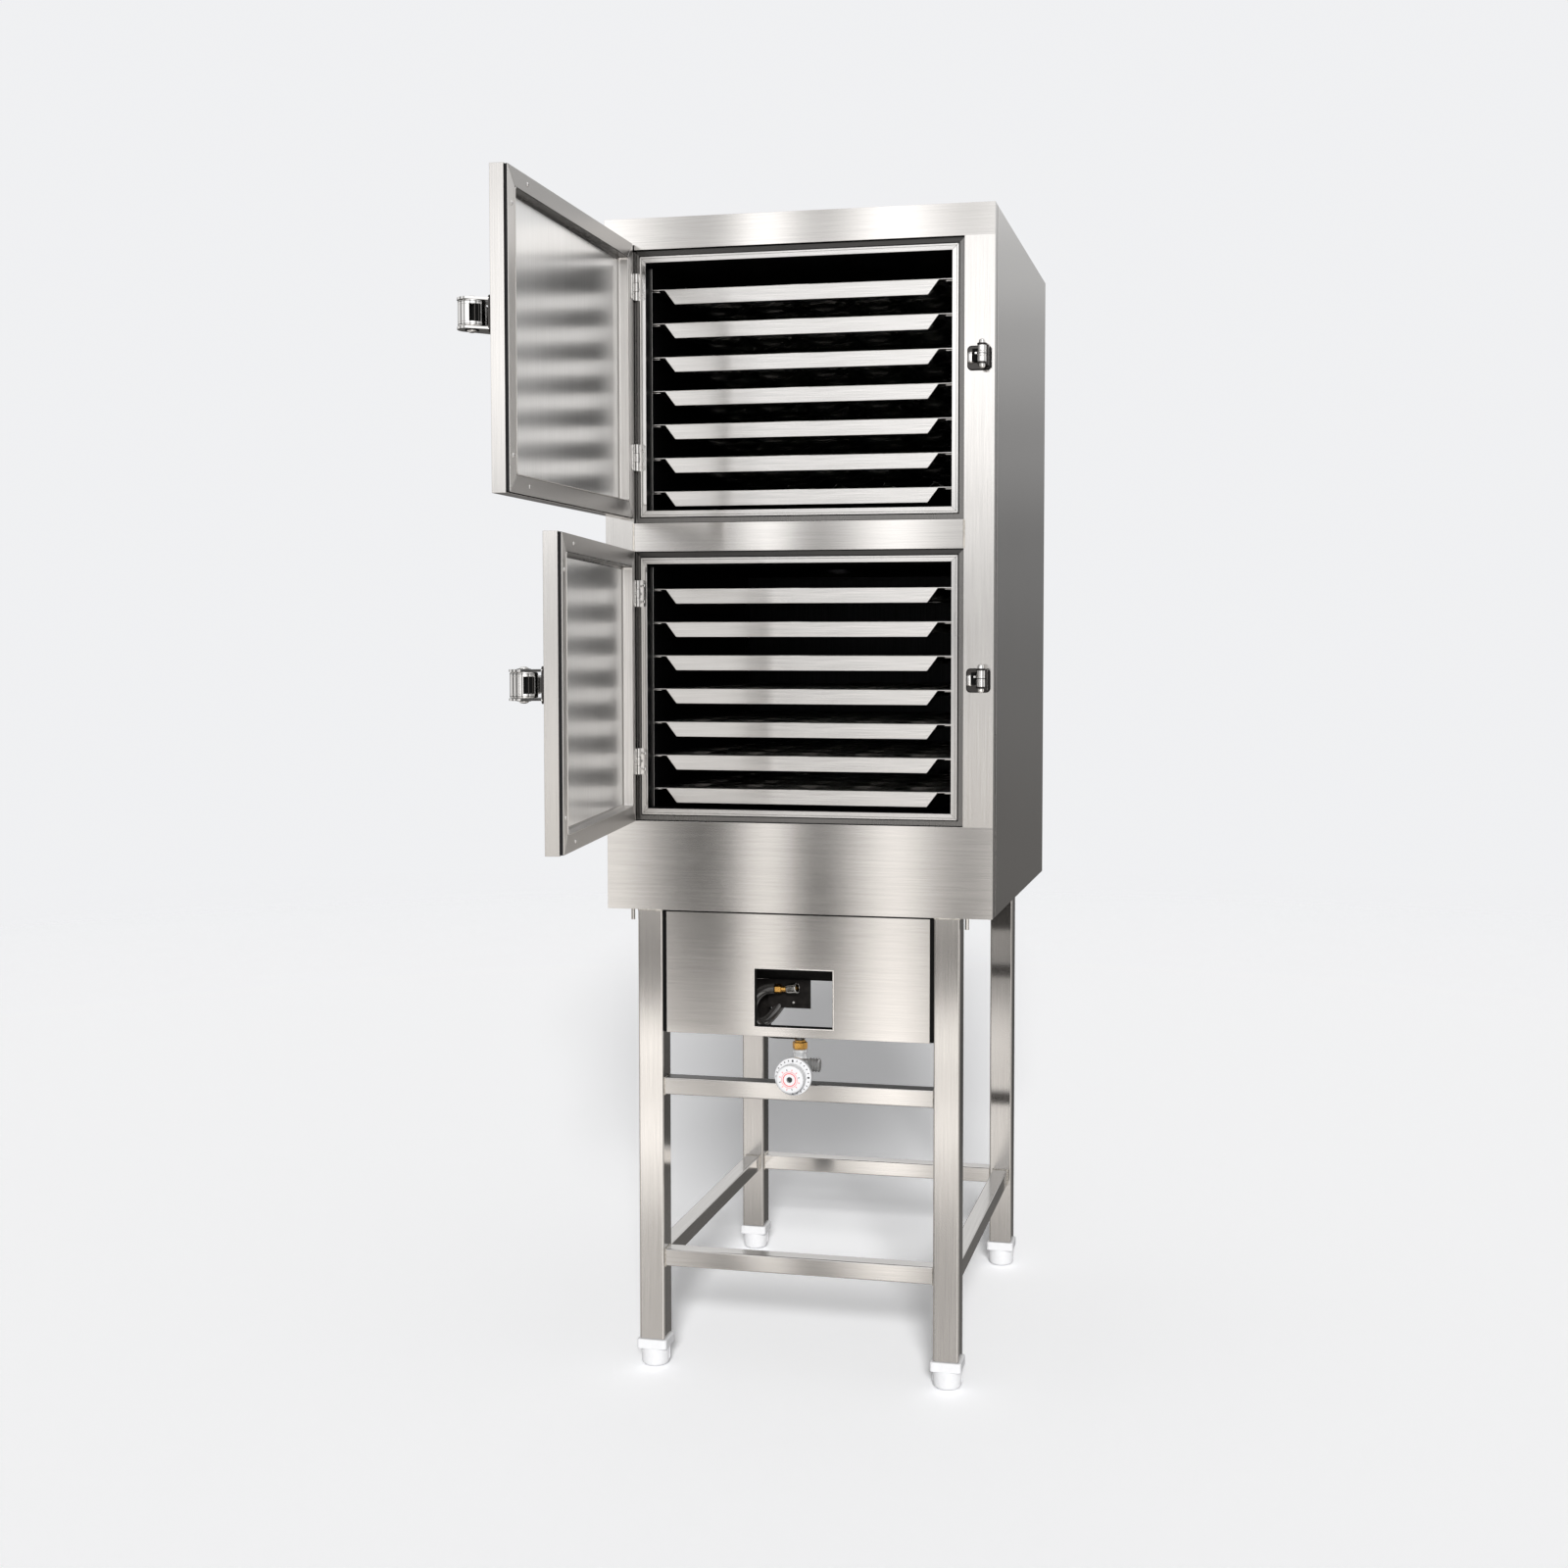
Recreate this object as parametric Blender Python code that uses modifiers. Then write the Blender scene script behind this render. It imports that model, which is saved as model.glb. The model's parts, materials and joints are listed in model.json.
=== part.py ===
"""Two-door gas idli steamer on a square-tube stand, modelled piece by piece.

All sizes are in metres and all angles in degrees. In the steamer's own layout x
runs across from the middle, y runs back from the front plane of the cabinet and
z runs up from the floor. The root empty moves that layout so that the part's
origin lies under the middle of the front left foot.

A door is laid out as if closed, in the axes of the empty on its hinge line, and
that empty turns it to the angle at which it stands open.
"""
import math

import bmesh
import bpy
from mathutils import Vector

# Shared sizes
CLEARANCE = 0.0003
CUT_OVERRUN = 0.004
PANEL_SHEET = 0.0015
INNER_SHEET = 0.0012
MERGE_DISTANCE = 0.00001
SMOOTH_ANGLE = 35
ROUND_STEPS = 20
SMALL_ROUND_STEPS = 12
CORNER_ROUND_SHARE = 0.5

# Cabinet
CABINET_WIDTH = 0.570
CABINET_DEPTH = 0.610
STAND_HEIGHT = 0.682
APRON_HEIGHT = 0.130
OPENING_HEIGHT = 0.392
MID_RAIL_HEIGHT = 0.041
TOP_RAIL_HEIGHT = 0.045
STILE_WIDTH = 0.043
FRAME_RETURN = 0.012
REBATE_DEPTH = 0.006
REBATE_WIDTH = 0.0085
HEAT_OPENING_SIDE_MARGIN = 0.110
HEAT_OPENING_END_MARGIN = 0.100
PIN_STUB_RADIUS = 0.003
PIN_STUB_LENGTH = 0.016
PIN_STUB_BEYOND_LEG = 0.009

# Steam chambers, with a bright flange that the doors close on
SEAT_GAP = 0.0006
SEAT_WIDTH = 0.0087
SEAT_FACE_Y = 0.005
CHAMBER_BACK_GAP = 0.045
STEAM_DUCT_RADIUS = 0.030
STEAM_DUCT_SHEET = 0.002
STEAM_DUCT_REACH = 0.004

# Trays and the racks that they slide on
TRAY_COUNT = 7
TRAY_PITCH = 0.0486
LOWEST_TRAY_HEIGHT = 0.0294
TRAY_SIDE_CLEARANCE = 0.0020
TRAY_FRONT_Y = 0.024
TRAY_DEPTH = 0.500
TRAY_SHEET = 0.0015
TRAY_LIP_DROP = 0.0205
TRAY_LIP_INSET = 0.0195
TRAY_LIP_SLANT = 0.0165
TRAY_BACK_LIP_DROP = 0.010
RUNNER_WIDTH = 0.013
RUNNER_SHEET = 0.0012
RACK_UPRIGHT_WIDTH = 0.022
RACK_BAR_HEIGHT = 0.018
RACK_FRONT_Y = 0.030
RACK_END_MARGIN = 0.004

# Water tank under the lower chamber
TANK_WALL_INSET = 0.010
TANK_LEDGE = 0.022

# Stand
LEG_SIZE = 0.038
LEG_WALL = 0.0015
LEG_CORNER = 0.0025
LEG_INSET = 0.046
RAIL_SIZE = 0.0254
RAIL_WALL = 0.0012
RAIL_CORNER = 0.0015
FRONT_UPPER_RAIL_BELOW_CABINET = 0.2615
FRONT_LOWER_RAIL_Z = 0.1640
REAR_RAIL_Z = 0.1560

# Feet
FOOT_COLLAR_SIZE = 0.0455
FOOT_COLLAR_HEIGHT = 0.014
FOOT_COLLAR_CORNER = 0.004
FOOT_STUB_HEIGHT = 0.028
FOOT_STUB_TOP_RADIUS = 0.0222
FOOT_STUB_BOTTOM_RADIUS = 0.0205
FOOT_EDGE_RADIUS = 0.005
FOOT_PLUG_HEIGHT = 0.018

# Burner cover between the front legs
COVER_SIDE_GAP = 0.0055
COVER_HEIGHT = 0.1795
COVER_TOP_GAP = 0.0008
COVER_FRONT_Y = 0.001
COVER_RETURN = 0.012
COVER_HANGER = 0.022
WINDOW_LEFT = -0.0623
WINDOW_RIGHT = 0.0539
WINDOW_ABOVE_EDGE = 0.0140
WINDOW_HEIGHT = 0.0845
WINDOW_FOLD = 0.005

# Burner, its shroud and the gas line
SHROUD_HALF_WIDTH = 0.158
SHROUD_FRONT_Y = 0.064
SHROUD_BACK_Y = 0.520
SHROUD_HEIGHT = 0.107
SHROUD_STRAP_WIDTH = 0.022
SHROUD_STRAP_SPREAD = 0.050
BURNER_CENTRE_Y = 0.300
BURNER_HEAD_RADIUS = 0.088
BURNER_HEAD_HEIGHT = 0.030
BURNER_HEAD_TOP_RADIUS = 0.070
BURNER_RISER_RADIUS = 0.018
MIXER_RADIUS = 0.015
MIXER_BELOW_SHROUD = 0.0217
MIXER_BOX_LEFT = -0.056
MIXER_BOX_RIGHT = 0.011
MIXER_BOX_FRONT_Y = 0.056
MIXER_BOX_DEPTH = 0.046
MIXER_BOX_HEIGHT = 0.038
MIXER_MOUTH_RADIUS = 0.0078
MIXER_MOUTH_BORE = 0.0060
MIXER_MOUTH_X = -0.0205
MIXER_MOUTH_LENGTH = 0.024
GAS_LINE_Y = 0.046
GAS_LINE_RISE = 0.0110
JET_HEX_RADIUS = 0.0072
JET_HEX_LENGTH = 0.010
JET_NOSE_RADIUS = 0.0046
JET_NOSE_LENGTH = 0.017
PIPE_RADIUS = 0.0080
PIPE_STUB_RADIUS = 0.0070
PIPE_ABOVE_EDGE = 0.0013
PIPE_LOW_Y = 0.022
PIPE_BEND_X = -0.0600
PIPE_CURVE_POINTS = 9
PIPE_BEND_DROP = 0.026

# Regulator below the cover
REGULATOR_X = 0.0005
REGULATOR_BELOW_COVER = 0.0522
REGULATOR_NECK_RISE = 0.0100
REGULATOR_HOUSING_RADIUS = 0.0205
REGULATOR_HOUSING_BACK_Y = 0.0055
REGULATOR_FLANGE_RADIUS = 0.0268
REGULATOR_FLANGE_BACK_Y = -0.010
REGULATOR_FLANGE_FRONT_Y = -0.022
REGULATOR_STEM_RADIUS = 0.0165
REGULATOR_STEM_LENGTH = 0.003
REGULATOR_NECK_RADIUS = 0.0108
REGULATOR_NUT_RADIUS = 0.0108
REGULATOR_NUT_HEIGHT = 0.0132
REGULATOR_INLET_RADIUS = 0.0100
REGULATOR_INLET_BARB_RADIUS = 0.0070
REGULATOR_INLET_LENGTH = 0.046
REGULATOR_INLET_RISE = 0.0135
DIAL_RADIUS = 0.0205
DIAL_DEPTH = 0.0165
DIAL_EDGE = 0.002
DIAL_HOLE_RADIUS = 0.0035
DIAL_HOLE_DEPTH = 0.005
DIAL_SPINDLE_RADIUS = 0.0030
DIAL_SPINDLE_LENGTH = 0.0070
DIAL_BORE_RADIUS = 0.0034

# Doors
DOOR_WIDTH = 0.4735
DOOR_OVERLAP = 0.0015
UPPER_DOOR_LIFT = 0.0080
UPPER_DOOR_ANGLE = 89.7
LOWER_DOOR_ANGLE = 82.0
PAN_DEPTH = 0.0183
DOOR_GASKET_THICKNESS = 0.0020
DOOR_GASKET_WIDTH = 0.020
LINER_EDGE = 0.0032
LINER_FLANGE = 0.0220
LINER_RECESS = 0.0140
LINER_SETBACK = 0.0012
PAN_EDGE_BEVEL = 0.0010

# Hinges, with three knuckles each
HINGE_HEIGHT = 0.0385
HINGE_KNUCKLE_RADIUS = 0.0028
HINGE_PIN_RADIUS = 0.0013
HINGE_BORE_RADIUS = 0.0017
HINGE_LEAF_SHEET = 0.0012
HINGE_LEAF_REACH = 0.0125
HINGE_KNUCKLE_GAP = 0.0004
HINGE_SIDE_CLEARANCE = 0.0047
HINGE_AXIS_Y = 0.0028
HINGE_FACE_OFFSET = 0.0032
HINGE_EDGE_OFFSET = 0.0056
HINGE_FROM_TOP = 0.0430
HINGE_FROM_BOTTOM = 0.0690

# Latches on the free edge of each door
LATCH_RISE_UPPER = 0.0185
LATCH_RISE_LOWER = 0.0110
LATCH_BASE_LENGTH = 0.062
LATCH_BASE_HEIGHT = 0.046
LATCH_BASE_SHEET = 0.0025
LATCH_CHEEK_HEIGHT = 0.038
LATCH_CHEEK_SHEET = 0.0030
LATCH_NOSE_RADIUS = 0.0180
LATCH_PIN_OUT = 0.0250
LATCH_PIN_FROM_EDGE = 0.0040
LATCH_PIN_RADIUS = 0.0030
LATCH_DOME_RADIUS = 0.0070
LATCH_DOME_HEIGHT = 0.0035
LATCH_DOME_TOP_RADIUS = 0.0035
LEVER_DRUM_RADIUS = 0.0170
LEVER_HANDLE_LENGTH = 0.096
LEVER_HANDLE_ROOT = 0.022
LEVER_HANDLE_TIP = 0.009
LEVER_HANDLE_STANDOFF = 0.0110
LEVER_HANDLE_HEIGHT = 0.026
LEVER_BORE_RADIUS = 0.0034
LEVER_WINDOW_HEIGHT = 0.021
LEVER_WINDOW_WIDTH = 0.0125
LEVER_WINDOW_DEPTH = 0.008
LEVER_WINDOW_OUT = 0.0155
PAWL_BAR_RADIUS = 0.0016
PAWL_BAR_SPREAD = 0.0060

# Strikes on the right stile
STRIKE_FROM_OPENING = 0.0215
STRIKE_BASE_WIDTH = 0.034
STRIKE_BASE_HEIGHT = 0.034
STRIKE_BASE_SHEET = 0.003
STRIKE_BASE_CORNER = 0.006
STRIKE_EAR_SHEET = 0.0022
STRIKE_EAR_HALF_WIDTH = 0.0068
STRIKE_ROLLER_X_OFFSET = 0.0065
STRIKE_ROLLER_OUT = 0.0205
STRIKE_ROLLER_RADIUS = 0.0062
STRIKE_ROLLER_HEIGHT = 0.024
STRIKE_ROLLER_RISE = 0.0030
STRIKE_CAP_RADIUS = 0.0046
STRIKE_CAP_HEIGHT = 0.0070
STRIKE_KEEPER_RADIUS = 0.0050
STRIKE_KEEPER_HEIGHT = 0.0160
STRIKE_KEEPER_OUT = 0.0100
STRIKE_KEEPER_X_OFFSET = -0.0115

# Derived places
CABINET_TOP_Z = (
    STAND_HEIGHT + APRON_HEIGHT + OPENING_HEIGHT + MID_RAIL_HEIGHT + OPENING_HEIGHT + TOP_RAIL_HEIGHT
)
HALF_WIDTH = CABINET_WIDTH / 2
OPENING_HALF_WIDTH = HALF_WIDTH - STILE_WIDTH
LOWER_OPENING_Z = STAND_HEIGHT + APRON_HEIGHT
UPPER_OPENING_Z = LOWER_OPENING_Z + OPENING_HEIGHT + MID_RAIL_HEIGHT
SEAT_OUTER_INSET = REBATE_WIDTH + SEAT_GAP
CHAMBER_INSET = SEAT_OUTER_INSET + SEAT_WIDTH
CHAMBER_HALF_WIDTH = OPENING_HALF_WIDTH - CHAMBER_INSET
CHAMBER_HEIGHT = OPENING_HEIGHT - CHAMBER_INSET - CHAMBER_INSET
CHAMBER_BACK_Y = CABINET_DEPTH - CHAMBER_BACK_GAP
LEG_HALF = LEG_SIZE / 2
LEG_X = HALF_WIDTH - LEG_INSET - LEG_HALF
FRONT_LEG_Y = LEG_HALF
BACK_LEG_Y = CABINET_DEPTH - LEG_HALF
FOOT_HEIGHT = FOOT_STUB_HEIGHT + FOOT_COLLAR_HEIGHT
DOOR_HEIGHT = OPENING_HEIGHT + DOOR_OVERLAP + DOOR_OVERLAP
HINGE_AXIS_X = -OPENING_HALF_WIDTH + HINGE_SIDE_CLEARANCE
DOOR_FREE_EDGE = HINGE_EDGE_OFFSET + DOOR_WIDTH
COVER_TOP_Z = STAND_HEIGHT - COVER_TOP_GAP
COVER_BOTTOM_Z = COVER_TOP_Z - COVER_HEIGHT
COVER_HALF_WIDTH = LEG_X - LEG_HALF - COVER_SIDE_GAP
FRONT_UPPER_RAIL_Z = STAND_HEIGHT - FRONT_UPPER_RAIL_BELOW_CABINET
SHROUD_BOTTOM_Z = STAND_HEIGHT - CLEARANCE - SHROUD_HEIGHT
MIXER_Z = SHROUD_BOTTOM_Z - MIXER_BELOW_SHROUD
GAS_LINE_Z = MIXER_Z + GAS_LINE_RISE
PIPE_LOW_Z = COVER_BOTTOM_Z + PIPE_ABOVE_EDGE
REGULATOR_Z = COVER_BOTTOM_Z - REGULATOR_BELOW_COVER
STRIKE_X = OPENING_HALF_WIDTH + STRIKE_FROM_OPENING
REGULATOR_NUT_TOP_Z = PIPE_LOW_Z - PIPE_RADIUS - CLEARANCE
REGULATOR_NECK_TOP_Z = REGULATOR_NUT_TOP_Z - REGULATOR_NUT_HEIGHT


def clear_scene():
    """Remove whatever the scene holds."""
    for thing in list(bpy.data.objects):
        bpy.data.objects.remove(thing, do_unlink=True)


def new_collection(name, hidden=False):
    """Make a collection in the scene; a hidden one holds cutters."""
    group = bpy.data.collections.new(name)
    bpy.context.scene.collection.children.link(group)
    group.hide_render = hidden
    return group


def make_material(name, colour, metallic, roughness):
    """Make a Principled material of one colour."""
    material = bpy.data.materials.new(name)
    material.use_nodes = True
    shader = material.node_tree.nodes["Principled BSDF"]
    shader.inputs["Base Color"].default_value = (*colour, 1)
    shader.inputs["Metallic"].default_value = metallic
    shader.inputs["Roughness"].default_value = roughness
    material.diffuse_color = (*colour, 1)
    return material


clear_scene()
PARTS = new_collection("idli_steamer")
CUTTERS = new_collection("cutters", hidden=True)

BRUSHED_STEEL = make_material("brushed_steel", (0.62, 0.60, 0.57), 1, 0.32)
CHAMBER_STEEL = make_material("chamber_steel", (0.30, 0.30, 0.30), 1, 0.45)
BRIGHT_STEEL = make_material("bright_steel", (0.74, 0.73, 0.71), 1, 0.22)
CHROME = make_material("chrome", (0.80, 0.80, 0.80), 1, 0.10)
BLACK_RUBBER = make_material("black_rubber", (0.02, 0.02, 0.02), 0, 0.70)
WHITE_PLASTIC = make_material("white_plastic", (0.86, 0.87, 0.90), 0, 0.45)
BLACK_IRON = make_material("black_iron", (0.03, 0.03, 0.03), 0.3, 0.60)
GREY_PIPE = make_material("grey_pipe", (0.10, 0.10, 0.10), 0.2, 0.50)
BRASS = make_material("brass", (0.65, 0.42, 0.14), 1, 0.30)
GREY_CASTING = make_material("grey_casting", (0.55, 0.57, 0.58), 0.6, 0.40)


def new_object(name, mesh, material, parent, location=(0, 0, 0), rotation=(0, 0, 0)):
    """Place a mesh as one named piece."""
    thing = bpy.data.objects.new(name, mesh)
    PARTS.objects.link(thing)
    if not thing.data.materials:
        thing.data.materials.append(material)
    thing.parent = parent
    thing.location = location
    thing.rotation_euler = rotation
    return thing


def new_empty(name, parent, location, turn=0):
    """Make an empty that carries a moving body on its joint's line."""
    empty = bpy.data.objects.new(name, None)
    PARTS.objects.link(empty)
    empty.parent = parent
    empty.location = location
    empty.rotation_euler = (0, 0, math.radians(turn))
    return empty


def box_mesh(name, low, high):
    """A box between two corners, in the axes of its object."""
    low = Vector(low)
    high = Vector(high)
    shape = bmesh.new()
    bmesh.ops.create_cube(shape, size=1)
    bmesh.ops.scale(shape, vec=high - low, verts=shape.verts)
    bmesh.ops.translate(shape, vec=(low + high) / 2, verts=shape.verts)
    mesh = bpy.data.meshes.new(name)
    shape.to_mesh(mesh)
    shape.free()
    return mesh


def cylinder_mesh(name, start, end, start_radius, end_radius, steps):
    """A straight cylinder or cone between two points."""
    start = Vector(start)
    end = Vector(end)
    axis = end - start
    shape = bmesh.new()
    bmesh.ops.create_cone(
        shape, cap_ends=True, segments=steps, radius1=start_radius, radius2=end_radius, depth=axis.length
    )
    turn = Vector((0, 0, 1)).rotation_difference(axis).to_matrix()
    bmesh.ops.rotate(shape, matrix=turn, verts=shape.verts)
    bmesh.ops.translate(shape, vec=(start + end) / 2, verts=shape.verts)
    mesh = bpy.data.meshes.new(name)
    shape.to_mesh(mesh)
    shape.free()
    return mesh


def turned_mesh(name, profile, steps):
    """Turn a profile of (radius, height) points, listed from the top down, about z."""
    shape = bmesh.new()
    corners = [shape.verts.new((radius, 0, height)) for radius, height in profile]
    for first, second in zip(corners, corners[1:]):
        shape.edges.new((first, second))
    mesh = bpy.data.meshes.new(name)
    shape.to_mesh(mesh)
    shape.free()
    carrier = bpy.data.objects.new(name, mesh)
    PARTS.objects.link(carrier)
    screw = carrier.modifiers.new("turn", "SCREW")
    screw.steps = steps
    screw.render_steps = steps
    screw.use_merge_vertices = True
    screw.merge_threshold = MERGE_DISTANCE
    return settled_mesh(carrier)


def outline_mesh(name, points, thickness):
    """A flat closed outline in x and y, thickened equally to both sides along z."""
    curve = bpy.data.curves.new(name, "CURVE")
    curve.dimensions = "2D"
    curve.fill_mode = "BOTH"
    curve.extrude = thickness / 2
    spline = curve.splines.new("POLY")
    spline.points.add(len(points) - 1)
    for point, (x, y) in zip(spline.points, points):
        point.co = (x, y, 0, 1)
    spline.use_cyclic_u = True
    carrier = bpy.data.objects.new(name, curve)
    PARTS.objects.link(carrier)
    return settled_mesh(carrier)


def tube_mesh(name, points, radius):
    """A round tube with closed ends along a row of points."""
    curve = bpy.data.curves.new(name, "CURVE")
    curve.dimensions = "3D"
    curve.bevel_depth = radius
    curve.bevel_resolution = 3
    curve.use_fill_caps = True
    curve.render_resolution_u = 0
    spline = curve.splines.new("POLY")
    spline.points.add(len(points) - 1)
    for point, place in zip(spline.points, points):
        point.co = (*place, 1)
    carrier = bpy.data.objects.new(name, curve)
    PARTS.objects.link(carrier)
    return settled_mesh(carrier)


def settled_mesh(carrier):
    """The evaluated mesh of an object, welded shut; the object goes away."""
    bpy.context.view_layer.update()
    evaluated = carrier.evaluated_get(bpy.context.evaluated_depsgraph_get())
    mesh = bpy.data.meshes.new_from_object(evaluated)
    name = carrier.name
    bpy.data.objects.remove(carrier, do_unlink=True)
    mesh.name = name
    shape = bmesh.new()
    shape.from_mesh(mesh)
    bmesh.ops.remove_doubles(shape, verts=shape.verts, dist=MERGE_DISTANCE)
    shape.to_mesh(mesh)
    shape.free()
    return mesh


def combine(target, mesh, operation, location=None, rotation=(0, 0, 0)):
    """Cut a mesh out of a piece, or join it on, in the piece's own axes by default."""
    tool = bpy.data.objects.new(target.name + "_" + operation.lower(), mesh)
    CUTTERS.objects.link(tool)
    tool.parent = target.parent
    tool.location = target.location if location is None else location
    tool.rotation_euler = target.rotation_euler if location is None else rotation
    tool.hide_render = True
    tool.display_type = "WIRE"
    modifier = target.modifiers.new(operation.lower(), "BOOLEAN")
    modifier.operation = operation
    modifier.solver = "EXACT"
    modifier.object = tool


def cut(target, mesh):
    """Take a mesh away from a piece."""
    combine(target, mesh, "DIFFERENCE")


def join(target, mesh):
    """Weld a mesh onto a piece."""
    combine(target, mesh, "UNION")


def bevel(target, width, segments=1, angle=SMOOTH_ANGLE):
    """Round the sharp edges of a piece."""
    modifier = target.modifiers.new("edges", "BEVEL")
    modifier.width = width
    modifier.segments = segments
    modifier.limit_method = "ANGLE"
    modifier.angle_limit = math.radians(angle)


def shade_round(mesh):
    """Shade a turned or bent mesh smooth, with its sharp edges kept."""
    mesh.shade_smooth()
    mesh.set_sharp_from_angle(angle=math.radians(SMOOTH_ANGLE))
    return mesh


def arc(centre_x, centre_y, radius, start, end, steps):
    """Points on an arc, from one angle to another."""
    points = []
    for step in range(steps + 1):
        angle = math.radians(start + (end - start) * step / steps)
        points.append((centre_x + radius * math.cos(angle), centre_y + radius * math.sin(angle)))
    return points


def rounded_rectangle(half_width, half_height, corner, steps=3):
    """The outline of a rectangle with round corners, about its centre."""
    points = []
    for sign_x, sign_y, start in ((1, 1, 0), (-1, 1, 90), (-1, -1, 180), (1, -1, 270)):
        centre_x = sign_x * (half_width - corner)
        centre_y = sign_y * (half_height - corner)
        points += arc(centre_x, centre_y, corner, start, start + 90, steps)
    return points


ROOT = new_empty("steamer", None, (LEG_X, -FRONT_LEG_Y, 0))


def build_outer_shell():
    """Sides, roof, back and underside of the cabinet, with the opening for the flame."""
    front = FRAME_RETURN + CLEARANCE
    shell = new_object(
        "outer_shell",
        box_mesh(
            "outer_shell", (-HALF_WIDTH, front, STAND_HEIGHT), (HALF_WIDTH, CABINET_DEPTH, CABINET_TOP_Z)
        ),
        BRUSHED_STEEL,
        ROOT,
    )
    inner_half = HALF_WIDTH - PANEL_SHEET
    cut(shell, box_mesh(
        "shell_inside",
        (-inner_half, front - CUT_OVERRUN, STAND_HEIGHT + PANEL_SHEET),
        (inner_half, CABINET_DEPTH - PANEL_SHEET, CABINET_TOP_Z - PANEL_SHEET),
    ))
    heat_half = HALF_WIDTH - HEAT_OPENING_SIDE_MARGIN
    cut(shell, box_mesh(
        "heat_opening",
        (-heat_half, HEAT_OPENING_END_MARGIN, STAND_HEIGHT - CUT_OVERRUN),
        (heat_half, CABINET_DEPTH - HEAT_OPENING_END_MARGIN, STAND_HEIGHT + PANEL_SHEET + CUT_OVERRUN),
    ))
    return shell


def build_front_frame():
    """Stiles, top rail, mid rail and apron in one welded front, with a rebate round each door opening."""
    frame = new_object(
        "front_frame",
        box_mesh("front_frame", (-HALF_WIDTH, 0, STAND_HEIGHT), (HALF_WIDTH, FRAME_RETURN, CABINET_TOP_Z)),
        BRUSHED_STEEL,
        ROOT,
    )
    inner_half = HALF_WIDTH - PANEL_SHEET
    cut(frame, box_mesh(
        "frame_back",
        (-inner_half, PANEL_SHEET, STAND_HEIGHT + PANEL_SHEET),
        (inner_half, FRAME_RETURN + CUT_OVERRUN, CABINET_TOP_Z - PANEL_SHEET),
    ))
    for opening_z in (LOWER_OPENING_Z, UPPER_OPENING_Z):
        add_rebate(frame, opening_z)
    stub_y = FRAME_RETURN / 2
    for side in (-1, 1):
        stub_x = side * (LEG_X + LEG_HALF + PIN_STUB_BEYOND_LEG)
        join(frame, cylinder_mesh(
            "pin_stub",
            (stub_x, stub_y, STAND_HEIGHT - PIN_STUB_LENGTH),
            (stub_x, stub_y, STAND_HEIGHT + PANEL_SHEET / 2),
            PIN_STUB_RADIUS,
            PIN_STUB_RADIUS,
            SMALL_ROUND_STEPS,
        ))
    return frame


def add_rebate(frame, opening_z):
    """Fold the front frame back round one door opening."""
    fold_half = OPENING_HALF_WIDTH + PANEL_SHEET
    top = opening_z + OPENING_HEIGHT
    join(frame, box_mesh(
        "frame_folds",
        (-fold_half, PANEL_SHEET / 2, opening_z - PANEL_SHEET),
        (fold_half, REBATE_DEPTH + PANEL_SHEET, top + PANEL_SHEET),
    ))
    cut(frame, box_mesh(
        "frame_rebate",
        (-OPENING_HALF_WIDTH, -CUT_OVERRUN, opening_z),
        (OPENING_HALF_WIDTH, REBATE_DEPTH, top),
    ))
    through_half = OPENING_HALF_WIDTH - REBATE_WIDTH
    cut(frame, box_mesh(
        "frame_opening",
        (-through_half, -CUT_OVERRUN, opening_z + REBATE_WIDTH),
        (through_half, FRAME_RETURN + CUT_OVERRUN, top - REBATE_WIDTH),
    ))


def build_chamber(name, opening_z):
    """A steam chamber: a box open to the front, with the flange that the door closes on."""
    floor_z = opening_z + CHAMBER_INSET
    half = CHAMBER_HALF_WIDTH
    chamber = new_object(
        name,
        box_mesh(
            name,
            (-half - INNER_SHEET, SEAT_FACE_Y, floor_z - INNER_SHEET),
            (half + INNER_SHEET, CHAMBER_BACK_Y, floor_z + CHAMBER_HEIGHT + INNER_SHEET),
        ),
        CHAMBER_STEEL,
        ROOT,
    )
    seat_half = OPENING_HALF_WIDTH - SEAT_OUTER_INSET
    join(chamber, box_mesh(
        name + "_seat",
        (-seat_half, SEAT_FACE_Y, opening_z + SEAT_OUTER_INSET),
        (seat_half, SEAT_FACE_Y + INNER_SHEET, opening_z + OPENING_HEIGHT - SEAT_OUTER_INSET),
    ))
    cut(chamber, box_mesh(
        name + "_inside",
        (-half, SEAT_FACE_Y - CUT_OVERRUN, floor_z),
        (half, CHAMBER_BACK_Y - INNER_SHEET, floor_z + CHAMBER_HEIGHT),
    ))
    return chamber


def duct_place():
    """Where the steam duct stands between the two chambers."""
    return (0, (SEAT_FACE_Y + CHAMBER_BACK_Y) / 2)


def build_upper_chamber():
    """The upper chamber, with the duct that brings steam up from the lower one."""
    chamber = build_chamber("upper_chamber", UPPER_OPENING_Z)
    duct_x, duct_y = duct_place()
    floor_z = UPPER_OPENING_Z + CHAMBER_INSET
    low = LOWER_OPENING_Z + OPENING_HEIGHT - CHAMBER_INSET - STEAM_DUCT_REACH
    join(chamber, cylinder_mesh(
        "duct_wall", (duct_x, duct_y, low), (duct_x, duct_y, floor_z),
        STEAM_DUCT_RADIUS, STEAM_DUCT_RADIUS, ROUND_STEPS,
    ))
    bore = STEAM_DUCT_RADIUS - STEAM_DUCT_SHEET
    cut(chamber, cylinder_mesh(
        "duct_bore", (duct_x, duct_y, low - CUT_OVERRUN), (duct_x, duct_y, floor_z + CUT_OVERRUN),
        bore, bore, ROUND_STEPS,
    ))
    return chamber


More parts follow.
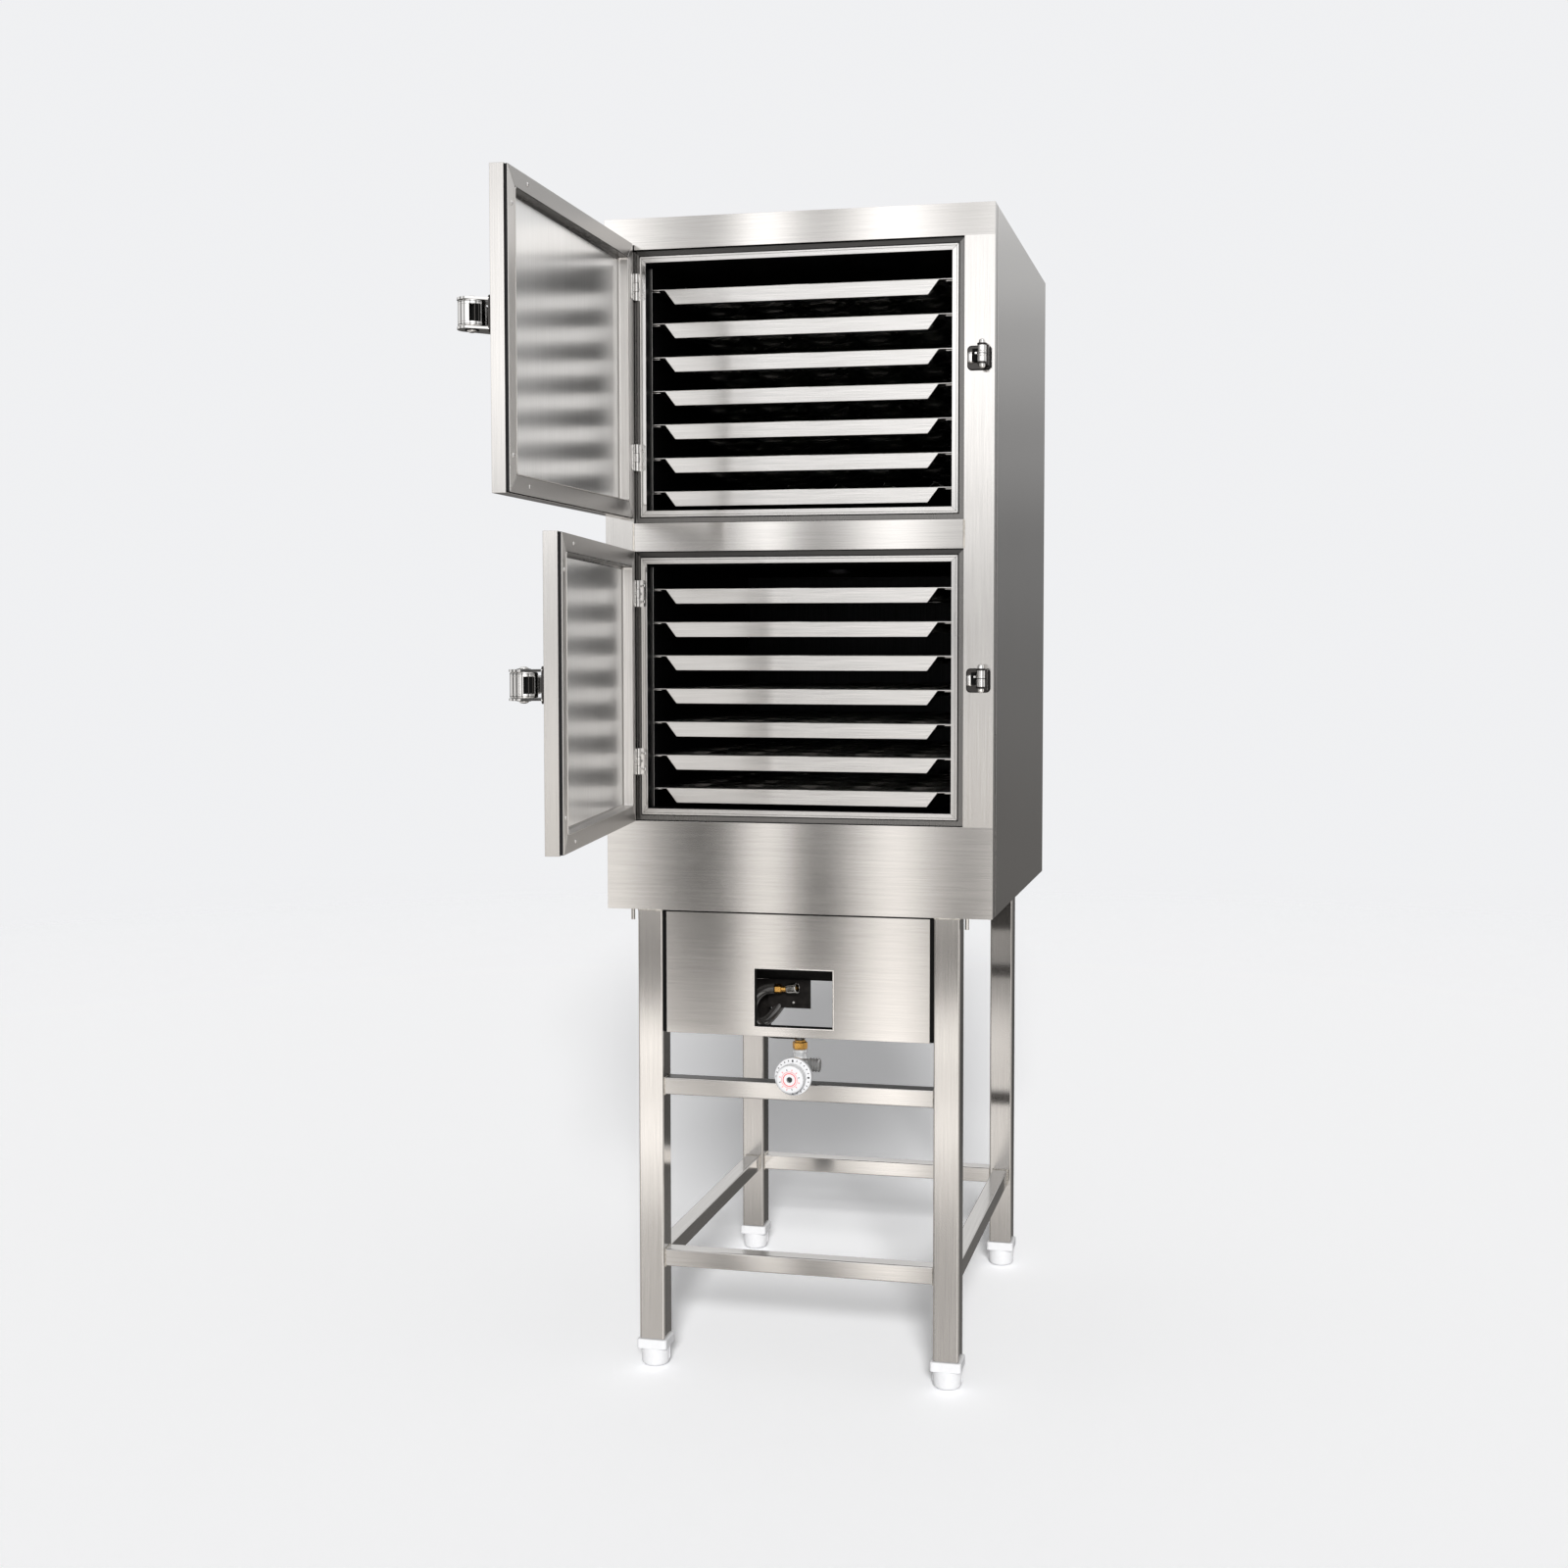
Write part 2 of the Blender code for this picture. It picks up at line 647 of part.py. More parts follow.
def build_lower_chamber():
    """The lower chamber, with the open water tank welded under its floor and the hole for the duct."""
    chamber = build_chamber("lower_chamber", LOWER_OPENING_Z)
    floor_z = LOWER_OPENING_Z + CHAMBER_INSET
    add_water_tank(chamber, floor_z)
    duct_x, duct_y = duct_place()
    ceiling_z = floor_z + CHAMBER_HEIGHT
    hole = STEAM_DUCT_RADIUS + CLEARANCE
    cut(chamber, cylinder_mesh(
        "duct_hole", (duct_x, duct_y, ceiling_z - CUT_OVERRUN), (duct_x, duct_y, ceiling_z + CUT_OVERRUN),
        hole, hole, ROUND_STEPS,
    ))
    return chamber


def add_water_tank(chamber, floor_z):
    """The tank that stands on the cabinet's underside over the flame, open to the chamber inside a ledge."""
    low = STAND_HEIGHT + PANEL_SHEET + CLEARANCE
    half = CHAMBER_HALF_WIDTH - TANK_WALL_INSET
    front = SEAT_FACE_Y + TANK_WALL_INSET
    back = CHAMBER_BACK_Y - TANK_WALL_INSET
    join(chamber, box_mesh("water_tank", (-half, front, low), (half, back, floor_z - INNER_SHEET / 2)))
    cut(chamber, box_mesh(
        "tank_inside",
        (-half + INNER_SHEET, front + INNER_SHEET, low + INNER_SHEET),
        (half - INNER_SHEET, back - INNER_SHEET, floor_z - INNER_SHEET),
    ))
    cut(chamber, box_mesh(
        "tank_opening",
        (-half + TANK_LEDGE, front + TANK_LEDGE, floor_z - CUT_OVERRUN),
        (half - TANK_LEDGE, back - TANK_LEDGE, floor_z + CUT_OVERRUN),
    ))


def tray_seat_heights(floor_z):
    """The heights of the trays' undersides in a chamber, from the lowest up."""
    return [floor_z + LOWEST_TRAY_HEIGHT - TRAY_SHEET + TRAY_PITCH * step for step in range(TRAY_COUNT)]


def build_rack(name, opening_z):
    """A lift-out rack: runners on two uprights a side, tied together across the back."""
    floor_z = opening_z + CHAMBER_INSET
    outer = CHAMBER_HALF_WIDTH - CLEARANCE
    back_y = CHAMBER_BACK_Y - INNER_SHEET - CLEARANCE
    low = floor_z + CLEARANCE
    high = floor_z + CHAMBER_HEIGHT - RACK_END_MARGIN
    seam = RUNNER_SHEET / 2
    rack = new_object(
        name,
        box_mesh(
            name, (-outer + seam, back_y - RUNNER_SHEET, low), (outer - seam, back_y, low + RACK_BAR_HEIGHT)
        ),
        CHAMBER_STEEL,
        ROOT,
    )
    join(rack, box_mesh(
        name + "_top_bar",
        (-outer + seam, back_y - RUNNER_SHEET, high - RACK_BAR_HEIGHT),
        (outer - seam, back_y, high - seam),
    ))
    for side in (-1, 1):
        wall_x = side * outer
        inner_x = side * (outer - RUNNER_SHEET)
        for upright_y in (RACK_FRONT_Y, back_y - seam - RACK_UPRIGHT_WIDTH):
            join(rack, box_mesh(
                name + "_upright",
                (min(wall_x, inner_x), upright_y, low + seam),
                (max(wall_x, inner_x), upright_y + RACK_UPRIGHT_WIDTH, high),
            ))
        for seat_z in tray_seat_heights(floor_z):
            root_x = side * (outer - seam)
            ledge_x = side * (outer - RUNNER_WIDTH)
            top = seat_z - CLEARANCE
            join(rack, box_mesh(
                name + "_ledge",
                (min(root_x, ledge_x), RACK_FRONT_Y + seam, top - RUNNER_SHEET),
                (max(root_x, ledge_x), back_y - seam / 2, top),
            ))
    return rack


def tray_mesh():
    """One tray: a flat sheet with a slanted front lip and a short back lip, about its front edge."""
    half = CHAMBER_HALF_WIDTH - TRAY_SIDE_CLEARANCE
    carrier = bpy.data.objects.new(
        "tray",
        box_mesh("tray", (-half, 0, 0), (half, TRAY_DEPTH, TRAY_SHEET)),
    )
    PARTS.objects.link(carrier)
    lip_half = half - TRAY_LIP_INSET
    lip = outline_mesh("tray_lip", [
        (-lip_half, TRAY_SHEET),
        (-lip_half + TRAY_LIP_SLANT, -TRAY_LIP_DROP),
        (lip_half - TRAY_LIP_SLANT, -TRAY_LIP_DROP),
        (lip_half, TRAY_SHEET),
    ], TRAY_SHEET)
    combine(carrier, lip, "UNION", (0, TRAY_SHEET / 2, 0), (math.radians(90), 0, 0))
    back_half = half - RUNNER_WIDTH - TRAY_LIP_INSET
    join(carrier, box_mesh(
        "tray_back_lip",
        (-back_half, TRAY_DEPTH - TRAY_SHEET, -TRAY_BACK_LIP_DROP),
        (back_half, TRAY_DEPTH, TRAY_SHEET),
    ))
    return settled_mesh(carrier)


def build_trays(mesh, prefix, opening_z):
    """The trays of one chamber, counted from the top, each on its own slide."""
    floor_z = opening_z + CHAMBER_INSET
    for step, seat_z in enumerate(reversed(tray_seat_heights(floor_z))):
        new_object(f"{prefix}_tray_{step + 1}", mesh, BRIGHT_STEEL, ROOT, (0, TRAY_FRONT_Y, seat_z))


def square_tube(name, low, high, axis, wall, corner, material=BRUSHED_STEEL):
    """A square tube between two corners, open along one axis."""
    tube = new_object(name, box_mesh(name, low, high), material, ROOT)
    inner_low = Vector(low) + Vector((wall, wall, wall))
    inner_high = Vector(high) - Vector((wall, wall, wall))
    inner_low[axis] = low[axis] - CUT_OVERRUN
    inner_high[axis] = high[axis] + CUT_OVERRUN
    bevel_along(tube.data, axis, corner)
    cut(tube, box_mesh(name + "_bore", inner_low, inner_high))
    return tube


def bevel_along(mesh, axis, width):
    """Round the edges of a box that run along one axis."""
    shape = bmesh.new()
    shape.from_mesh(mesh)
    others = [index for index in range(3) if index != axis]
    chosen = []
    for edge in shape.edges:
        first, second = (corner.co for corner in edge.verts)
        if all(abs(first[index] - second[index]) < MERGE_DISTANCE for index in others):
            chosen.append(edge)
    bmesh.ops.bevel(shape, geom=chosen, offset=width, segments=2, profile=CORNER_ROUND_SHARE, affect="EDGES")
    shape.to_mesh(mesh)
    shape.free()


def build_stand():
    """Four legs, the two front rails and the rear rail frame of side rails and back rail."""
    leg_low = FOOT_HEIGHT + CLEARANCE
    leg_high = STAND_HEIGHT - CLEARANCE
    places = (
        ("front_left", -LEG_X, FRONT_LEG_Y),
        ("front_right", LEG_X, FRONT_LEG_Y),
        ("back_left", -LEG_X, BACK_LEG_Y),
        ("back_right", LEG_X, BACK_LEG_Y),
    )
    for place, leg_x, leg_y in places:
        square_tube(
            place + "_leg",
            (leg_x - LEG_HALF, leg_y - LEG_HALF, leg_low),
            (leg_x + LEG_HALF, leg_y + LEG_HALF, leg_high),
            2, LEG_WALL, LEG_CORNER,
        )
        build_foot(place + "_foot", leg_x, leg_y)
    rail_half = RAIL_SIZE / 2
    rail_end = LEG_X - LEG_HALF - CLEARANCE
    for name, rail_z in (("front_upper_rail", FRONT_UPPER_RAIL_Z), ("front_lower_rail", FRONT_LOWER_RAIL_Z)):
        square_tube(
            name,
            (-rail_end, FRONT_LEG_Y - rail_half, rail_z - rail_half),
            (rail_end, FRONT_LEG_Y + rail_half, rail_z + rail_half),
            0, RAIL_WALL, RAIL_CORNER,
        )
    build_rear_rails(rail_half, rail_end)


def build_rear_rails(rail_half, rail_end):
    """The back rail and the two side rails, each a square tube between the legs."""
    square_tube(
        "back_lower_rail",
        (-rail_end, BACK_LEG_Y - rail_half, REAR_RAIL_Z - rail_half),
        (rail_end, BACK_LEG_Y + rail_half, REAR_RAIL_Z + rail_half),
        0, RAIL_WALL, RAIL_CORNER,
    )
    front = FRONT_LEG_Y + LEG_HALF + CLEARANCE
    back = BACK_LEG_Y - LEG_HALF - CLEARANCE
    for name, rail_x in (("left_lower_rail", -LEG_X), ("right_lower_rail", LEG_X)):
        square_tube(
            name,
            (rail_x - rail_half, front, REAR_RAIL_Z - rail_half),
            (rail_x + rail_half, back, REAR_RAIL_Z + rail_half),
            1, RAIL_WALL, RAIL_CORNER,
        )


def build_foot(name, foot_x, foot_y):
    """A plastic foot: a round stub, a square collar and the plug that sits in the leg."""
    edge = FOOT_EDGE_RADIUS
    bottom = FOOT_STUB_BOTTOM_RADIUS
    profile = [(0, FOOT_STUB_HEIGHT), (FOOT_STUB_TOP_RADIUS, FOOT_STUB_HEIGHT), (bottom, edge)]
    rounded = arc(bottom - edge, edge, edge, 0, -90, 3)
    profile += rounded[1:]
    profile.append((0, 0))
    foot = new_object(
        name, shade_round(turned_mesh(name, profile, ROUND_STEPS)), WHITE_PLASTIC, ROOT, (foot_x, foot_y, 0)
    )
    half = FOOT_COLLAR_SIZE / 2
    overlap = CUT_OVERRUN
    collar = outline_mesh(
        name + "_collar",
        rounded_rectangle(half, half, FOOT_COLLAR_CORNER, 2),
        FOOT_COLLAR_HEIGHT,
    )
    combine(foot, collar, "UNION", (foot_x, foot_y, FOOT_STUB_HEIGHT + FOOT_COLLAR_HEIGHT / 2))
    plug_half = LEG_HALF - LEG_WALL - CLEARANCE
    join(foot, box_mesh(
        name + "_plug",
        (-plug_half, -plug_half, FOOT_HEIGHT - overlap),
        (plug_half, plug_half, FOOT_HEIGHT + FOOT_PLUG_HEIGHT),
    ))
    return foot


def build_burner_cover():
    """The folded panel between the front legs, with the window over the gas line."""
    half = COVER_HALF_WIDTH
    cover = new_object(
        "burner_cover",
        box_mesh(
            "burner_cover",
            (-half, COVER_FRONT_Y, COVER_BOTTOM_Z),
            (half, COVER_FRONT_Y + COVER_RETURN, COVER_TOP_Z),
        ),
        BRUSHED_STEEL,
        ROOT,
    )
    window_low = COVER_BOTTOM_Z + WINDOW_ABOVE_EDGE
    window_high = window_low + WINDOW_HEIGHT
    join(cover, box_mesh(
        "cover_hanger",
        (-half, COVER_FRONT_Y, COVER_TOP_Z - PANEL_SHEET),
        (half, COVER_FRONT_Y + COVER_HANGER, COVER_TOP_Z),
    ))
    cut(cover, box_mesh(
        "cover_back",
        (-half + PANEL_SHEET, COVER_FRONT_Y + PANEL_SHEET, COVER_BOTTOM_Z + PANEL_SHEET),
        (half - PANEL_SHEET, COVER_FRONT_Y + COVER_RETURN + CUT_OVERRUN, COVER_TOP_Z - PANEL_SHEET),
    ))
    join(cover, box_mesh(
        "window_fold",
        (WINDOW_LEFT - PANEL_SHEET, COVER_FRONT_Y + PANEL_SHEET / 2, window_low - PANEL_SHEET),
        (WINDOW_RIGHT + PANEL_SHEET, COVER_FRONT_Y + WINDOW_FOLD, window_high + PANEL_SHEET),
    ))
    cut(cover, box_mesh(
        "cover_window",
        (WINDOW_LEFT, COVER_FRONT_Y - CUT_OVERRUN, window_low),
        (WINDOW_RIGHT, COVER_FRONT_Y + WINDOW_FOLD + CUT_OVERRUN, window_high),
    ))
    return cover


def build_burner_shroud():
    """The wind shroud hung under the cabinet, with two straps that carry the burner."""
    half = SHROUD_HALF_WIDTH
    top = STAND_HEIGHT - CLEARANCE
    shroud = new_object(
        "burner_shroud",
        box_mesh("burner_shroud", (-half, SHROUD_FRONT_Y, SHROUD_BOTTOM_Z), (half, SHROUD_BACK_Y, top)),
        BLACK_IRON,
        ROOT,
    )
    cut(shroud, box_mesh(
        "shroud_inside",
        (-half + PANEL_SHEET, SHROUD_FRONT_Y + PANEL_SHEET, SHROUD_BOTTOM_Z - CUT_OVERRUN),
        (half - PANEL_SHEET, SHROUD_BACK_Y - PANEL_SHEET, top + CUT_OVERRUN),
    ))
    for side in (-1, 1):
        strap_y = BURNER_CENTRE_Y + side * SHROUD_STRAP_SPREAD
        join(shroud, box_mesh(
            "burner_strap",
            (-half + PANEL_SHEET / 2, strap_y - SHROUD_STRAP_WIDTH / 2, SHROUD_BOTTOM_Z),
            (half - PANEL_SHEET / 2, strap_y + SHROUD_STRAP_WIDTH / 2, SHROUD_BOTTOM_Z + PANEL_SHEET),
        ))
    return shroud


def build_burner():
    """The cast burner: head, riser, mixing tube, air box and the mouth that faces the jet."""
    head_low = SHROUD_BOTTOM_Z + PANEL_SHEET + CLEARANCE
    head_high = head_low + BURNER_HEAD_HEIGHT
    rim = head_low + BURNER_HEAD_HEIGHT / 2
    head = turned_mesh("burner", [
        (0, head_high),
        (BURNER_HEAD_TOP_RADIUS, head_high),
        (BURNER_HEAD_RADIUS, rim),
        (BURNER_HEAD_RADIUS, head_low),
        (0, head_low),
    ], ROUND_STEPS)
    burner = new_object("burner", shade_round(head), BLACK_IRON, ROOT, (0, BURNER_CENTRE_Y, 0))
    join(burner, cylinder_mesh(
        "burner_riser", (0, 0, MIXER_Z), (0, 0, rim),
        BURNER_RISER_RADIUS, BURNER_RISER_RADIUS, SMALL_ROUND_STEPS,
    ))
    tube_start = MIXER_BOX_FRONT_Y + MIXER_BOX_DEPTH / 2 - BURNER_CENTRE_Y
    join(burner, cylinder_mesh(
        "mixing_tube", (0, tube_start, MIXER_Z), (0, 0, MIXER_Z),
        MIXER_RADIUS, MIXER_RADIUS, SMALL_ROUND_STEPS,
    ))
    box_front = MIXER_BOX_FRONT_Y - BURNER_CENTRE_Y
    join(burner, box_mesh(
        "air_box",
        (MIXER_BOX_LEFT, box_front, MIXER_Z - MIXER_BOX_HEIGHT / 2),
        (MIXER_BOX_RIGHT, box_front + MIXER_BOX_DEPTH, MIXER_Z + MIXER_BOX_HEIGHT / 2),
    ))
    mouth_y = GAS_LINE_Y - BURNER_CENTRE_Y
    mouth_end = MIXER_MOUTH_X + MIXER_MOUTH_LENGTH
    join(burner, cylinder_mesh(
        "mouth", (MIXER_MOUTH_X, mouth_y, GAS_LINE_Z), (mouth_end, mouth_y, GAS_LINE_Z),
        MIXER_MOUTH_RADIUS, MIXER_MOUTH_RADIUS, SMALL_ROUND_STEPS,
    ))
    join(burner, cylinder_mesh(
        "mouth_elbow",
        (mouth_end - MIXER_MOUTH_RADIUS, mouth_y, GAS_LINE_Z),
        (mouth_end - MIXER_MOUTH_RADIUS, box_front + MIXER_BOX_DEPTH / 2, GAS_LINE_Z),
        MIXER_MOUTH_RADIUS, MIXER_MOUTH_RADIUS, SMALL_ROUND_STEPS,
    ))
    cut(burner, cylinder_mesh(
        "mouth_bore",
        (MIXER_MOUTH_X - CUT_OVERRUN, mouth_y, GAS_LINE_Z),
        (mouth_end - MIXER_MOUTH_RADIUS, mouth_y, GAS_LINE_Z),
        MIXER_MOUTH_BORE, MIXER_MOUTH_BORE, SMALL_ROUND_STEPS,
    ))
    return burner


def build_gas_line():
    """The pipe from the regulator up to the brass jet, and the jet in front of the burner's mouth."""
    nose_end = MIXER_MOUTH_X + JET_NOSE_RADIUS
    hex_end = nose_end - JET_NOSE_LENGTH
    hex_start = hex_end - JET_HEX_LENGTH
    jet = new_object(
        "brass_jet",
        cylinder_mesh(
            "brass_jet", (hex_start, GAS_LINE_Y, GAS_LINE_Z), (hex_end, GAS_LINE_Y, GAS_LINE_Z),
            JET_HEX_RADIUS, JET_HEX_RADIUS, 6,
        ),
        BRASS,
        ROOT,
    )
    join(jet, cylinder_mesh(
        "jet_nose",
        (hex_start + JET_HEX_LENGTH / 2, GAS_LINE_Y, GAS_LINE_Z),
        (nose_end, GAS_LINE_Y, GAS_LINE_Z),
        JET_NOSE_RADIUS, JET_NOSE_RADIUS, SMALL_ROUND_STEPS,
    ))
    pipe_end = hex_start - CLEARANCE
    points = [
        (REGULATOR_X + PIPE_STUB_RADIUS, PIPE_LOW_Y, PIPE_LOW_Z),
        (PIPE_BEND_X + PIPE_BEND_DROP, PIPE_LOW_Y, PIPE_LOW_Z),
    ]
    low_bend = (PIPE_BEND_X + PIPE_BEND_DROP, PIPE_LOW_Y, PIPE_LOW_Z)
    high_bend = (pipe_end - JET_HEX_RADIUS / 2, GAS_LINE_Y, GAS_LINE_Z)
    control_low = (PIPE_BEND_X - PIPE_BEND_DROP, PIPE_LOW_Y, PIPE_LOW_Z)
    control_high = (PIPE_BEND_X - PIPE_BEND_DROP, GAS_LINE_Y, GAS_LINE_Z)
    for step in range(1, PIPE_CURVE_POINTS + 1):
        points.append(bezier(low_bend, control_low, control_high, high_bend, step / PIPE_CURVE_POINTS))
    points.append((pipe_end, GAS_LINE_Y, GAS_LINE_Z))
    pipe = new_object("gas_pipe", shade_round(tube_mesh("gas_pipe", points, PIPE_RADIUS)), GREY_PIPE, ROOT)
    join(pipe, cylinder_mesh(
        "pipe_stub",
        (REGULATOR_X, PIPE_LOW_Y, REGULATOR_NUT_TOP_Z + CLEARANCE),
        (REGULATOR_X, PIPE_LOW_Y, PIPE_LOW_Z),
        PIPE_STUB_RADIUS, PIPE_STUB_RADIUS, SMALL_ROUND_STEPS,
    ))


def bezier(start, first_control, second_control, end, share):
    """A point on a cubic curve."""
    rest = 1 - share
    point = Vector(start) * rest ** 3
    point += Vector(first_control) * (3 * rest ** 2 * share)
    point += Vector(second_control) * (3 * rest * share ** 2)
    point += Vector(end) * share ** 3
    return tuple(point)


def build_regulator():
    """The regulator: housing, flange, neck, nut and inlet in one casting, and the dial on its front."""
    stem_front = -REGULATOR_FLANGE_FRONT_Y + REGULATOR_STEM_LENGTH
    profile = [
        (0, stem_front + DIAL_SPINDLE_LENGTH),
        (DIAL_SPINDLE_RADIUS, stem_front + DIAL_SPINDLE_LENGTH),
        (DIAL_SPINDLE_RADIUS, stem_front),
        (REGULATOR_STEM_RADIUS, stem_front),
        (REGULATOR_STEM_RADIUS, -REGULATOR_FLANGE_FRONT_Y),
        (REGULATOR_FLANGE_RADIUS, -REGULATOR_FLANGE_FRONT_Y),
        (REGULATOR_FLANGE_RADIUS, -REGULATOR_FLANGE_BACK_Y),
        (REGULATOR_HOUSING_RADIUS, -REGULATOR_FLANGE_BACK_Y),
        (REGULATOR_HOUSING_RADIUS, -REGULATOR_HOUSING_BACK_Y),
        (0, -REGULATOR_HOUSING_BACK_Y),
    ]
    body = new_object(
        "regulator_body",
        shade_round(turned_mesh("regulator_body", profile, ROUND_STEPS)),
        GREY_CASTING,
        ROOT,
        (REGULATOR_X, 0, REGULATOR_Z),
        (math.radians(90), 0, 0),
    )
    neck_root = REGULATOR_Z + REGULATOR_NECK_RISE
    neck_y = PIPE_LOW_Y
    combine(body, cylinder_mesh(
        "neck_link", (0, 0, 0), (0, neck_y, 0),
        REGULATOR_NECK_RADIUS, REGULATOR_NECK_RADIUS, SMALL_ROUND_STEPS,
    ), "UNION", (REGULATOR_X, 0, neck_root))
    combine(body, cylinder_mesh(
        "regulator_neck", (0, 0, 0), (0, 0, REGULATOR_NECK_TOP_Z - neck_root),
        REGULATOR_NECK_RADIUS, REGULATOR_NECK_RADIUS, SMALL_ROUND_STEPS,
    ), "UNION", (REGULATOR_X, neck_y, neck_root))
    nut_root = REGULATOR_NECK_TOP_Z - CUT_OVERRUN
    combine(body, cylinder_mesh(
        "regulator_nut", (0, 0, 0), (0, 0, REGULATOR_NUT_TOP_Z - nut_root),
        REGULATOR_NUT_RADIUS, REGULATOR_NUT_RADIUS, 6,
    ), "UNION", (REGULATOR_X, neck_y, nut_root))
    combine(body, cylinder_mesh(
        "regulator_inlet", (0, 0, 0), (REGULATOR_INLET_LENGTH, 0, 0),
        REGULATOR_INLET_BARB_RADIUS, REGULATOR_INLET_RADIUS, SMALL_ROUND_STEPS,
    ), "UNION", (REGULATOR_X, REGULATOR_HOUSING_BACK_Y / 2, REGULATOR_Z + REGULATOR_INLET_RISE))
    build_dial()
    return body


def build_dial():
    """The round dial that turns on the regulator's front, with a hole in its middle."""
    back = REGULATOR_FLANGE_FRONT_Y - REGULATOR_STEM_LENGTH - CLEARANCE
    axle = new_empty("dial_axis", ROOT, (REGULATOR_X, back, REGULATOR_Z))
    profile = [
        (0, DIAL_DEPTH - DIAL_HOLE_DEPTH),
        (DIAL_HOLE_RADIUS, DIAL_DEPTH - DIAL_HOLE_DEPTH),
        (DIAL_HOLE_RADIUS, DIAL_DEPTH),
        (DIAL_RADIUS - DIAL_EDGE, DIAL_DEPTH),
        (DIAL_RADIUS, DIAL_DEPTH - DIAL_EDGE),
        (DIAL_RADIUS, 0),
        (DIAL_BORE_RADIUS, 0),
        (DIAL_BORE_RADIUS, DIAL_SPINDLE_LENGTH),
        (0, DIAL_SPINDLE_LENGTH),
    ]
    dial = shade_round(turned_mesh("regulator_dial", profile, ROUND_STEPS))
    new_object("regulator_dial", dial, WHITE_PLASTIC, axle, (0, 0, 0), (math.radians(90), 0, 0))


def build_door(prefix, opening_z, lift, angle, latch_rise):
    """One door on its hinge line: pan, gasket, liner, hinge leaves and latch."""
    bottom_z = opening_z - DOOR_OVERLAP + lift
    hinge_line = new_empty(prefix + "_door_hinge_line", ROOT, (HINGE_AXIS_X, HINGE_AXIS_Y, bottom_z), -angle)
    build_pan(prefix, hinge_line)
    build_door_gasket(prefix, hinge_line)
    build_liner(prefix, hinge_line)
    for place, low in (("top", DOOR_HEIGHT - HINGE_FROM_TOP - HINGE_HEIGHT), ("bottom", HINGE_FROM_BOTTOM)):
        build_door_leaf(f"{prefix}_{place}_hinge_door_leaf", hinge_line, low)
        build_frame_leaf(f"{prefix}_{place}_hinge_frame_leaf", bottom_z + low)
    build_latch(prefix, hinge_line, DOOR_HEIGHT / 2 + latch_rise)
    build_strike(prefix, bottom_z + DOOR_HEIGHT / 2 + latch_rise)


def door_layers():
    """Depths of the door's layers from the hinge line, outwards along -y."""
    liner_face = -HINGE_FACE_OFFSET
    liner_back = liner_face - LINER_EDGE
    pan_back = liner_back - DOOR_GASKET_THICKNESS
    pan_front = pan_back - PAN_DEPTH
    return liner_face, liner_back, pan_back, pan_front


def build_pan(prefix, parent):
    """The outer pan of a door, folded from one sheet and open to the inside."""
    liner_face, liner_back, pan_back, pan_front = door_layers()
    name = prefix + "_door_pan"
    mesh = box_mesh(
        name,
        (HINGE_EDGE_OFFSET, pan_front, 0),
        (DOOR_FREE_EDGE, pan_back, DOOR_HEIGHT),
    )
    pan = new_object(name, mesh, BRUSHED_STEEL, parent)
    bevel(pan, PAN_EDGE_BEVEL)
    cut(pan, box_mesh(
        name + "_inside",
        (HINGE_EDGE_OFFSET + PANEL_SHEET, pan_front + PANEL_SHEET, PANEL_SHEET),
        (DOOR_FREE_EDGE - PANEL_SHEET, pan_back + CUT_OVERRUN, DOOR_HEIGHT - PANEL_SHEET),
    ))
    return pan


def build_door_gasket(prefix, parent):
    """The black gasket between a door's pan and its liner."""
    liner_face, liner_back, pan_back, pan_front = door_layers()
    name = prefix + "_door_gasket"
    inset = LINER_SETBACK
    gasket = new_object(
        name,
        box_mesh(
            name,
            (HINGE_EDGE_OFFSET + inset, pan_back + CLEARANCE, inset),
            (DOOR_FREE_EDGE - inset, liner_back - CLEARANCE, DOOR_HEIGHT - inset),
        ),
        BLACK_RUBBER,
        parent,
    )
    hole = inset + DOOR_GASKET_WIDTH
    cut(gasket, box_mesh(
        name + "_inside",
        (HINGE_EDGE_OFFSET + hole, pan_back - CUT_OVERRUN, hole),
        (DOOR_FREE_EDGE - hole, liner_back + CUT_OVERRUN, DOOR_HEIGHT - hole),
    ))
    return gasket


def build_liner(prefix, parent):
    """The inner liner of a door: a flat flange round a recessed panel."""
    liner_face, liner_back, pan_back, pan_front = door_layers()
    name = prefix + "_door_liner"
    inset = LINER_SETBACK
    left = HINGE_EDGE_OFFSET + inset
    right = DOOR_FREE_EDGE - inset
    top = DOOR_HEIGHT - inset
    liner = new_object(
        name,
        box_mesh(name, (left, liner_back, inset), (right, liner_face, top)),
        BRUSHED_STEEL,
        parent,
    )
    cut(liner, box_mesh(
        name + "_flange_back",
        (left + INNER_SHEET, liner_back - CUT_OVERRUN, inset + INNER_SHEET),
        (right - INNER_SHEET, liner_face - INNER_SHEET, top - INNER_SHEET),
    ))
    wall = LINER_FLANGE - INNER_SHEET
    join(liner, box_mesh(
        name + "_recess_wall",
        (left + wall, liner_face - LINER_RECESS - INNER_SHEET, inset + wall),
        (right - wall, liner_face - INNER_SHEET / 2, top - wall),
    ))
    cut(liner, box_mesh(
        name + "_recess",
        (left + LINER_FLANGE, liner_face - LINER_RECESS, inset + LINER_FLANGE),
        (right - LINER_FLANGE, liner_face + CUT_OVERRUN, top - LINER_FLANGE),
    ))
    return liner


def knuckle_heights():
    """The lower and upper ends of a hinge's three knuckles, from its lower end."""
    third = HINGE_HEIGHT / 3
    gap = HINGE_KNUCKLE_GAP / 2
    return (0, third - gap), (third + gap, third + third - gap), (third + third + gap, HINGE_HEIGHT)


